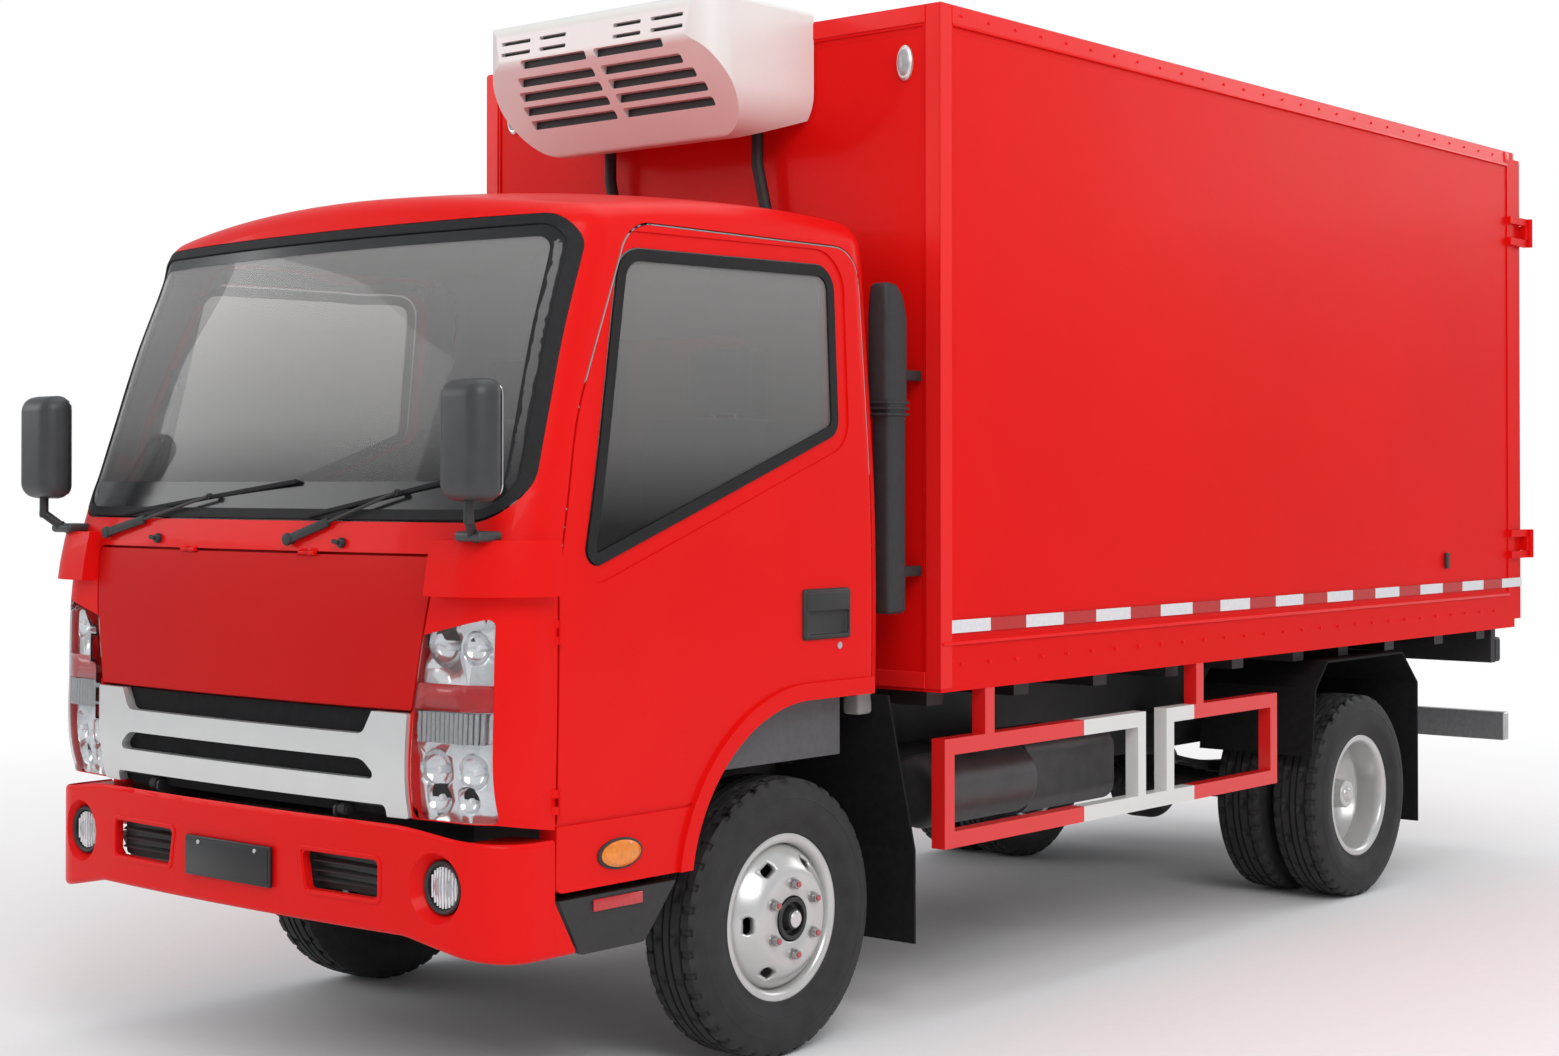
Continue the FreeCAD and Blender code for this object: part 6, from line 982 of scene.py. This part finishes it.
def inner_skin(node, name, keep, lift, thickness):
    """Faces of a node that the test keeps, lifted off and made into board."""
    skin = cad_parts[node].copy()
    skin.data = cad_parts[node].data.copy()
    skin.name = skin.data.name = name
    for key in list(skin.keys()):
        del skin[key]
    skin.parent = None
    scene.collection.objects.link(skin)
    bpy.ops.object.select_all(action="DESELECT")
    bpy.context.view_layer.objects.active = skin
    skin.select_set(True)
    bpy.ops.object.mode_set(mode="EDIT")
    bpy.ops.mesh.select_mode(type="VERT")
    bpy.ops.mesh.select_all(action="SELECT")
    bpy.ops.mesh.remove_doubles(threshold=0.00001)
    bpy.ops.object.mode_set(mode="OBJECT")
    pick_faces(skin, lambda face: not keep(face.calc_center_median(), face.normal))
    bpy.ops.mesh.delete(type="FACE")
    bpy.ops.mesh.select_all(action="SELECT")
    bpy.ops.transform.shrink_fatten(value=lift)
    bpy.ops.mesh.select_mode(type="VERT")
    bpy.ops.object.mode_set(mode="OBJECT")
    with_modifier(skin, "SOLIDIFY", thickness=thickness, offset=1.0)
    return skin


def faces_in(place, normal):
    """Whether a face of the cab looks at the middle of the cab."""
    inward = Vector((0, -2.15, 1.7)) - place
    facing_in = inward.normalized().dot(normal) > 0.25
    return place.z > 1.33 and facing_in and abs(place.x) < 0.90 and -2.80 < place.y < -1.40


roof_lining = inner_skin("cab_shell", "cab_lining", faces_in, 0.003, 0.003)
settle(roof_lining, lining_grey, "cab")
for side, sign in (("left", 1), ("right", -1)):
    door_lining = inner_skin("cab_door_" + side, "door_frame_lining_" + side,
                             lambda place, normal: 1.30 < place.z < 2.20 and normal.x * sign < -0.8, 0.001,
                             0.002)
    settle(door_lining, lining_grey, "cab_door_" + side)

# Mirrors: a moulded grey head on a bent steel arm, whose foot is bolted to the red block beside
# the screen. The glass faces back.
MIRROR_X = 0.888
MIRROR_FRONT = -1.195
ARM_RADIUS = 0.0125
head_plastic = finish_of("mirror_plastic", (0.040, 0.041, 0.043), 0.4, spread=0.1, grain=30, bump=600)
mirror_glass = finish_of("mirror_silver", (0.75, 0.77, 0.78), 0.04, spread=0.01, wear=0.02, Metallic=1.0)
for side, sign in (("left", 1), ("right", -1)):
    x = sign * MIRROR_X
    head = block("mirror_head_" + side, spot(x - 0.087, MIRROR_FRONT, 1.512),
                 spot(x + 0.087, MIRROR_FRONT + 0.088, 1.814))
    pick_faces(head, lambda face: face.normal.y < -0.5)
    bpy.ops.transform.resize(value=(0.80, 1, 0.90), center_override=spot(x, MIRROR_FRONT, 1.66))
    bpy.ops.object.mode_set(mode="OBJECT")
    rounded(head, 0.036, 6, 30)
    pick_faces(head, lambda face: face.normal.y > 0.95)
    bpy.ops.mesh.inset(thickness=0.008)
    bpy.ops.mesh.extrude_region_move(TRANSFORM_OT_translate={"value": (0, -0.005, 0)})
    bpy.ops.object.mode_set(mode="OBJECT")
    glass_line = rounded_line([(x - 0.074, 1.527, 0.030), (x + 0.074, 1.527, 0.030),
                               (x + 0.074, 1.799, 0.030), (x - 0.074, 1.799, 0.030)], 0.1, 6)
    glass = outlined("mirror_glass_" + side, glass_line, lambda u, v: spot(u, MIRROR_FRONT + 0.0845, v))
    with_modifier(glass, "SOLIDIFY", thickness=0.003, offset=0)
    low = spot(x, MIRROR_FRONT + 0.045, 1.52)
    knee = spot(x, MIRROR_FRONT + 0.045, 1.475)
    turn = spot(sign * 0.862, -1.115, 1.442)
    foot_at = spot(sign * 0.850, -1.085, 1.425)
    tubes = [rod("arm", low, knee, ARM_RADIUS, 20), rod("arm", knee, turn, ARM_RADIUS, 20),
             rod("arm", turn, foot_at, ARM_RADIUS, 20)]
    bends = [rod("bend", (p[0], p[1], p[2] - 0.012), (p[0], p[1], p[2] + 0.012), 0.013, 20, 0.006)
             for p in (knee, turn)]
    arm = joined("mirror_arm_" + side, tubes + bends)
    foot = block("mirror_foot_" + side, spot(sign * 0.850 - 0.045, -1.125, 1.422),
                 spot(sign * 0.850 + 0.045, -1.045, 1.447), 0.010, 4)
    settle(head, head_plastic, "cab", ["mirrors"])
    settle(glass, mirror_glass, "cab", ["mirrors"])
    settle(arm, plastic, "cab", ["mirrors"])
    settle(foot, head_plastic, "cab", ["mirrors"])

# Seats: dark cloth over foam, a driver's seat and a wide passenger seat with head rests. Each
# cushion is crowned, drawn in along its seams and fuller in the middle.
CUSHIONS = [("driver_base", (0.185, -2.259, 1.015), (0.675, -1.643, 1.183), (0, 0, 1), 0.5),
            ("driver_back", (0.185, -1.753, 1.165), (0.675, -1.517, 1.760), (0, -1, 0), 0.5),
            ("driver_rest", (0.300, -1.587, 1.760), (0.560, -1.500, 1.960), (0, -1, 0), 0.6),
            ("bench_base", (-0.680, -2.259, 1.015), (-0.080, -1.643, 1.183), (0, 0, 1), 0.5),
            ("bench_back", (-0.680, -1.753, 1.165), (-0.080, -1.517, 1.760), (0, -1, 0), 0.5),
            ("bench_rest_outer", (-0.580, -1.587, 1.760), (-0.320, -1.500, 1.960), (0, -1, 0), 0.6),
            ("bench_rest_inner", (-0.300, -1.587, 1.760), (-0.040, -1.500, 1.960), (0, -1, 0), 0.6)]
CUSHION_CUTS = 15
SEAM_AT, SEAM_WIDE, SEAM_DEEP = 0.62, 0.06, 0.016
CORNER_PULL, CUSHION_FIT = 0.035, 0.97
BACK_THIN, BACK_LEAN = 0.55, 0.16
seat_cloth = finish_of("seat_cloth", (0.060, 0.062, 0.068), 0.85, spread=0.2, grain=120, bump=1400,
                       relief=0.0006, Sheen_Weight=0.3)
for name, low, high, crown, fill in CUSHIONS:
    middle = [(a + b) / 2 for a, b in zip(low, high)]
    half = [(b - a) / 2 for a, b in zip(low, high)]
    leaning = crown[1] < 0 and "rest" not in name
    depth_axis = 2 if crown[2] else 1
    cushion = block("seat_" + name, [m - h for m, h in zip(middle, half)],
                    [m + h for m, h in zip(middle, half)])
    bpy.ops.object.mode_set(mode="EDIT")
    bpy.ops.mesh.select_all(action="SELECT")
    bpy.ops.mesh.subdivide(number_cuts=CUSHION_CUTS)
    mesh = bmesh.from_edit_mesh(cushion.data)
    for vert in mesh.verts:
        part = [c / h for c, h in zip(vert.co, half)]
        flat = [k for k in range(3) if k != depth_axis]
        u, v = part[flat[0]], part[flat[1]]
        out = part[depth_axis] * (1 if depth_axis == 2 else -1)
        swell = (1 - u ** 4) * (1 - v ** 4)
        seam = max(0.0, 1 - abs(abs(u) - SEAM_AT) / SEAM_WIDE) * SEAM_DEEP
        if "rest" in name:
            seam = 0
        pull = CORNER_PULL * (u * u) * (v * v)
        keep = 0.62 + 0.38 * swell
        depth = half[depth_axis] * (keep if out > 0 else 0.96) * part[depth_axis]
        if out > 0.9:
            depth -= seam * (1 if depth_axis == 2 else -1)
        place = [0, 0, 0]
        place[flat[0]] = half[flat[0]] * u * (CUSHION_FIT - pull)
        place[flat[1]] = half[flat[1]] * v * (CUSHION_FIT - pull)
        place[depth_axis] = depth
        if leaning:
            place[1] = place[1] * BACK_THIN + place[2] * BACK_LEAN
        vert.co = place
    bmesh.update_edit_mesh(cushion.data)
    bpy.ops.object.mode_set(mode="OBJECT")
    with_modifier(cushion, "SMOOTH", iterations=3, factor=0.5)
    with_modifier(cushion, "SUBSURF", levels=1, render_levels=1)
    bpy.ops.object.shade_smooth()
    settle(cushion, seat_cloth, "cab", ["seats"])
stays = []
for x in (0.39, 0.47, -0.49, -0.41, -0.21, -0.13):
    stays.append(rod("stay", (x, -1.55, 1.72), (x, -1.545, 1.80), 0.006, 12))
settle(joined("head_rest_stays", stays), steel, "cab", ["seats"])
pans = [block("seat_pan", (0.20, -2.24, 0.990), (0.66, -1.66, 1.020), 0.006),
        block("bench_pan", (-0.665, -2.24, 0.990), (-0.095, -1.66, 1.020), 0.006)]
settle(joined("seat_pans", pans), plastic, "cab", ["seats"])

# Dash fittings: instrument hood, air vents, radio panel and gear lever on the moulded dash, and a
# grab handle on each windscreen pillar.
hood = block("instrument_hood", (0.22, -2.66, 1.405), (0.64, -2.56, 1.480), 0.024, 4)
settle(hood, dash_grey, "cab")
panel = joined("dash_panel", [block("radio", (-0.11, -2.532, 1.25), (0.11, -2.518, 1.34), 0.006),
                              block("vent", (-0.72, -2.532, 1.31), (-0.56, -2.518, 1.38), 0.006),
                              block("vent", (0.66, -2.532, 1.31), (0.77, -2.518, 1.38), 0.006)])
settle(panel, plastic, "cab")
dial_white = finish_of("dial_white", (0.75, 0.75, 0.73), 0.4, spread=0.03)
dials = joined("dials", [rod("dial", (x, -2.562, 1.437), (x, -2.556, 1.437), 0.028, 32, 0.002)
                         for x in (0.36, 0.50)])
settle(dials, dial_white, "cab")
grab_line = [(0.845, -0.83, 1.56), (0.845, -0.79, 1.60), (0.838, -0.72, 1.85), (0.838, -0.755, 1.89)]
grab = joined("grab_handles", [rod("grab", spot(sign * a[0], *a[1:]), spot(sign * b[0], *b[1:]), 0.011, 16)
                               for sign in (1, -1) for a, b in zip(grab_line, grab_line[1:])])
settle(grab, grey_plastic, "cab")
lever = joined("gear_lever", [rod("lever", (0.10, -2.30, 1.0), (0.10, -2.36, 1.24), 0.009, 16),
                              rod("knob", (0.10, -2.36, 1.22), (0.10, -2.37, 1.275), 0.024, 24, 0.010)])
settle(lever, plastic, "cab")

# Box body trims: extruded aluminium angles painted red cover the corners of the panels, set with
# rivets, and a striped reflective tape runs along each side above the lower rail.
BOX_HALF = 0.965
BOX_FRONT, BOX_BACK = 0.612 + FRONT_AXLE_Y, 2.826
BOX_LOW, BOX_TOP = 0.952, 2.964
TAPE_LOW, TAPE_HIGH = 1.122, 1.160
TAPE_FROM, TAPE_TO = 0.656 + FRONT_AXLE_Y, 4.786 + FRONT_AXLE_Y
TAPE_SINK, TAPE_PROUD = 0.001, 0.0012
TRIM_SINK, TRIM_PROUD, TRIM_WIDE, TRIM_EDGE = 0.002, 0.003, 0.052, 0.0015
tape_white = finish_of("tape_white", (0.74, 0.74, 0.76), 0.3, spread=0.05, grain=60)
tape_red = finish_of("tape_red", (0.50, 0.012, 0.012), 0.3, spread=0.08, grain=60)
# The trims' real red is lightened here, a painted highlight along the box's corners.
trim_red_and_highlight = finish_of("trim_red_and_highlight", (0.84, 0.014, 0.013), 0.3, spread=0.03, grain=2, Coat_Weight=0.1,
                       Coat_Roughness=0.08, Specular_IOR_Level=0.15)
gasket = finish_of("gasket_black", (0.015, 0.015, 0.016), 0.7, spread=0.2, grain=50)


for side, sign in (("left", 1), ("right", -1)):
    out = sign * BOX_HALF
    front_post = joined("front_corner_trim_" + side, [
        block("leg", (out - sign * TRIM_SINK, BOX_FRONT - 0.004, BOX_LOW + 0.01),
              (out + sign * TRIM_PROUD, BOX_FRONT + TRIM_WIDE, BOX_TOP - 0.004), TRIM_EDGE, 1),
        block("leg", (out - sign * TRIM_WIDE, BOX_FRONT - 0.004, BOX_LOW + 0.01),
              (out + sign * TRIM_SINK, BOX_FRONT + 0.001, BOX_TOP - 0.004), TRIM_EDGE, 1)])
    settle(front_post, trim_red_and_highlight, "chassis")
    top_rail = joined("top_trim_" + side, [
        block("leg", (out - sign * TRIM_SINK, BOX_FRONT + 0.056, BOX_TOP - 0.056),
              (out + sign * TRIM_PROUD, BOX_BACK - 0.002, BOX_TOP - 0.002), TRIM_EDGE, 1),
        block("bead", (out, BOX_FRONT + 0.056, BOX_TOP - 0.062),
              (out + sign * 0.0045, BOX_BACK - 0.002, BOX_TOP - 0.055), 0.002, 2)])
    settle(top_rail, trim_red_and_highlight, "chassis")
    low_bead = block("low_rail_bead_" + side, (out, BOX_FRONT + 0.004, 1.088),
                     (out + sign * 0.0085, BOX_BACK - 0.002, 1.098), 0.002, 2)
    settle(low_bead, trim_red_and_highlight, "chassis")
    rivets = []
    for k in range(28):
        y = BOX_FRONT + 0.10 + k * 0.14
        if y > BOX_BACK - 0.05:
            break
        for z in (BOX_TOP - 0.028, 1.03):
            rivets.append(rod("rivet", (out, y, z), (out + sign * 0.0075, y, z), 0.0045, 8))
    settle(joined("side_rivets_" + side, rivets), trim_red_and_highlight, "chassis")
    white, red = [], []
    place, i = TAPE_FROM, 0
    while place < TAPE_TO - 0.05:
        length = 0.205 if i % 2 == 0 else 0.187
        piece = block("tape", (out - sign * TAPE_SINK, place, TAPE_LOW),
                      (out + sign * TAPE_PROUD, min(place + length, TAPE_TO), TAPE_HIGH))
        (white if i % 2 == 0 else red).append(piece)
        place += length
        i += 1
    settle(joined("tape_white_" + side, white), tape_white, "chassis")
    settle(joined("tape_red_" + side, red), tape_red, "chassis")
tag = block("side_tag", (BOX_HALF, 4.018 + FRONT_AXLE_Y, 1.218),
            (BOX_HALF + 0.010, 4.048 + FRONT_AXLE_Y, 1.282), 0.004, 3)
settle(tag, plastic, "chassis")
front_top = joined("front_top_trim", [
    block("leg", (0.056 - BOX_HALF, BOX_FRONT - 0.004, BOX_TOP - 0.054),
          (BOX_HALF - 0.056, BOX_FRONT + 0.001, BOX_TOP - 0.004), TRIM_EDGE, 1),
    block("leg", (0.056 - BOX_HALF, BOX_FRONT - 0.004, BOX_LOW + 0.010),
          (BOX_HALF - 0.056, BOX_FRONT + 0.001, BOX_LOW + 0.058), TRIM_EDGE, 1)])
settle(front_top, trim_red_and_highlight, "chassis")

# Rear doors: insulated panels with a double rubber gasket, strap hinges and locking rods. Tape
# strips mark the corners, and the lamps below have red, amber and clear lenses.
REAR_LOW, REAR_HIGH = 0.985, 2.940
door_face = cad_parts["box_door_left"].ray_cast((0.6, 5, 2.0), (0, -1, 0))[1].y
for side, sign in (("left", 1), ("right", -1)):
    body = "box_door_" + side
    gasket_edge = [(sign * 0.012, REAR_LOW + 0.006, 0.02), (sign * 0.918, REAR_LOW + 0.006, 0.02),
                   (sign * 0.918, REAR_HIGH - 0.006, 0.02), (sign * 0.012, REAR_HIGH - 0.006, 0.02)]
    gasket_line = rounded_line(gasket_edge, 0.5, 4)
    rim = ring_of("rear_gasket_" + side, gasket_line, lambda u, v: (u, door_face + 0.0015, v), 0.016)
    with_modifier(rim, "SOLIDIFY", thickness=0.004, offset=0)
    settle(rim, gasket, body)
    marks = []
    for z in (1.02, 2.86):
        marks.append(block("mark", (sign * 0.62, door_face - TAPE_SINK, z),
                           (sign * 0.80, door_face + TAPE_PROUD, z + 0.045)))
    settle(joined("rear_tape_" + side, marks), tape_white, body)
    marks = [block("mark", (sign * 0.44, door_face - 0.001, z), (sign * 0.61, door_face + 0.0012, z + 0.045))
             for z in (1.02, 2.86)]
    settle(joined("rear_tape_red_" + side, marks), tape_red, body)
    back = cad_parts["tail_lamps"].ray_cast((sign * 0.78, 5, 0.85), (0, -1, 0))[1].y
    lenses = ((0.70, 0.765, lamp_red, "red_lamp"), (0.768, 0.822, lamp_orange, "lamp"),
              (0.825, 0.878, lamp_bulb, "lamp"))
    for low, high, material, slot_name in lenses:
        lens = block("tail_lens_%s_%d" % (side, int(low * 1000)), (sign * low, back - 0.002, 0.812),
                     (sign * high, back + 0.012, 0.893), 0.006, 3)
        ribs = [block("rib", (sign * low + sign * 0.004, back + 0.010, 0.822 + k * 0.013),
                      (sign * high - sign * 0.004, back + 0.014, 0.826 + k * 0.013), 0.001, 1)
                for k in range(5)]
        settle(joined(lens.name, [lens] + ribs), material, "chassis")
    corner = block("roof_corner_cap_" + side, (sign * 0.93, BOX_BACK - 0.045, BOX_TOP - 0.05),
                   (sign * 0.972, BOX_BACK + 0.008, BOX_TOP - 0.0005), 0.008, 3)
    settle(corner, trim_red_and_highlight, "chassis")

# Cooling unit: a moulded white shell over a condenser, whose black fins show through the louvres
# of its face and of its brow.
LOUVRES = [(2.858, 0.018, 0.300), (2.811, 0.018, 0.345), (2.772, 0.018, 0.370), (2.733, 0.018, 0.386),
           (2.693, 0.018, 0.385)]
BROW_LOUVRES = [(z, x0, x1) for z in (2.896, 2.930) for x0, x1 in ((0.100, 0.215), (0.255, 0.385))]
coil_black = finish_of("coil_black", (0.010, 0.010, 0.011), 0.6, spread=0.3, grain=200, bump=500)
fins = []
for sign in (1, -1):
    for (z, x0, x1), high in [(l, 0.023) for l in LOUVRES] + [(l, 0.010) for l in BROW_LOUVRES]:
        deep = front_at(sign * (x0 + x1) / 2, z, 0.0, "cooling_unit")[1]
        fins.append(block("fin", (min(sign * x0, sign * x1) + 0.003, deep - 0.030, z - high / 2),
                          (max(sign * x0, sign * x1) - 0.003, deep + 0.004, z + high / 2)))
settle(joined("unit_condenser", fins), coil_black, "chassis")

# Air intake: a blow-moulded grey duct behind the cab with a rolled top that faces forward, ribbed
# at its joint and held to the box by two stays.
INTAKE_X, INTAKE_FRONT, INTAKE_BACK = (0.842, 0.920), -1.402, -1.300
duct = block("air_duct", (INTAKE_X[0], INTAKE_FRONT, 1.185), (INTAKE_X[1], INTAKE_BACK, 2.138))
bpy.ops.object.mode_set(mode="EDIT")
for z in (1.32, 1.74, 1.80, 2.04, 2.10):
    bpy.ops.mesh.select_all(action="SELECT")
    bpy.ops.mesh.bisect(plane_co=(0, 0, z), plane_no=(0, 0, 1))
bpy.ops.object.mode_set(mode="OBJECT")
for high, reach in ((2.136, 0.62), (2.098, 0.86), (1.738, 0.84)):
    bpy.ops.object.select_all(action="DESELECT")
    bpy.context.view_layer.objects.active = duct
    duct.select_set(True)
    bpy.ops.object.mode_set(mode="EDIT")
    bpy.ops.mesh.select_mode(type="VERT")
    bpy.ops.mesh.select_all(action="DESELECT")
    mesh = bmesh.from_edit_mesh(duct.data)
    middle_z = duct.location.z
    for vert in mesh.verts:
        level = vert.co.z + middle_z
        vert.select_set(level > high if high > 2 else abs(level - 1.74) < 0.005 or level < 1.33)
    mesh.select_flush(True)
    bmesh.update_edit_mesh(duct.data)
    bpy.ops.transform.resize(value=(0.86 if high < 2 else 0.9, reach, 1),
                             center_override=(0.88, INTAKE_FRONT + 0.01 if high > 2 else INTAKE_BACK, high))
    bpy.ops.object.mode_set(mode="OBJECT")
rounded(duct, 0.016, 4, 25)
ribs = [block("rib", (INTAKE_X[0] - 0.002, INTAKE_FRONT - 0.002, z),
              (INTAKE_X[1] + 0.002, INTAKE_BACK + 0.002, z + 0.008), 0.003, 2) for z in (1.755, 1.772, 1.789)]
stays = [block("stay", (0.865, INTAKE_BACK - 0.01, z), (0.895, -1.204, z + 0.03), 0.003, 2)
         for z in (1.29, 1.86)]
settle(joined("air_duct", [duct] + ribs + stays), grey_plastic, "chassis", ["air_intake"])

# Cooling hoses: black rubber sleeves that run down from the unit in clips on the box's front wall.
sleeve = finish_of("hose_sleeve", (0.014, 0.014, 0.015), 0.6, spread=0.2, grain=60, bump=300)
dress(sleeve, "cooling_hoses")

# Side guards: square steel tube in red with a white middle length; the paint follows the length.
guard_paint = finish_of("guard_paint", (0.74, 0.74, 0.72), 0.35, spread=0.03, Coat_Weight=0.3,
                        Coat_Roughness=0.1)
tree = guard_paint.node_tree
paint_shader = tree.nodes["Principled BSDF"]
ruler = tree.nodes.new("ShaderNodeSeparateXYZ")
length_place = tree.nodes.new("ShaderNodeTexCoord")
span = tree.nodes.new("ShaderNodeMapRange")
span.inputs["From Min"].default_value = 0.631 + FRONT_AXLE_Y
span.inputs["From Max"].default_value = 2.625 + FRONT_AXLE_Y
bands = tree.nodes.new("ShaderNodeValToRGB")
bands.color_ramp.interpolation = "CONSTANT"
bands.color_ramp.elements[0].color = (0.76, 0.012, 0.011, 1)
bands.color_ramp.elements[1].position = (1.364 - 0.631) / 1.994
bands.color_ramp.elements[1].color = (0.74, 0.74, 0.72, 1)
back_to_red = bands.color_ramp.elements.new((2.047 - 0.631) / 1.994)
back_to_red.color = (0.76, 0.012, 0.011, 1)
tree.links.new(length_place.outputs["Object"], ruler.inputs["Vector"])
tree.links.new(ruler.outputs["Y"], span.inputs["Value"])
tree.links.new(span.outputs["Result"], bands.inputs["Fac"])
tree.links.new(bands.outputs["Color"], paint_shader.inputs["Base Color"])
dress(guard_paint, "side_guards")

# Chassis fittings: steel straps round the tanks, and a grey fluid bottle with a pale cap behind
# the front arch.
bottle_grey = finish_of("bottle_plastic", (0.32, 0.32, 0.31), 0.5, spread=0.08, grain=40)
cap_orange = finish_of("cap_orange", (0.62, 0.30, 0.24), 0.45, spread=0.05)
bottle = joined("fluid_bottle", [block("bottle", (0.800, -1.46, 0.90), (0.862, -1.395, 1.0), 0.012, 4),
                                 rod("neck", (0.832, -1.428, 0.995), (0.832, -1.428, 1.018), 0.016, 20)])
settle(bottle, bottle_grey, "chassis")
bottle_cap = rod("fluid_cap", (0.832, -1.428, 1.015), (0.832, -1.428, 1.040), 0.022, 20, 0.005)
settle(bottle_cap, cap_orange, "chassis")
straps = []
for y in (-0.36, -0.08, 0.20):
    straps.append(block("strap", (-0.866, y, 0.381), (-0.371, y + 0.035, 0.385), 0.001))
    straps.append(block("strap", (-0.866, y, 0.381), (-0.861, y + 0.035, 0.748), 0.001))
settle(joined("tank_straps", straps), steel, "chassis")
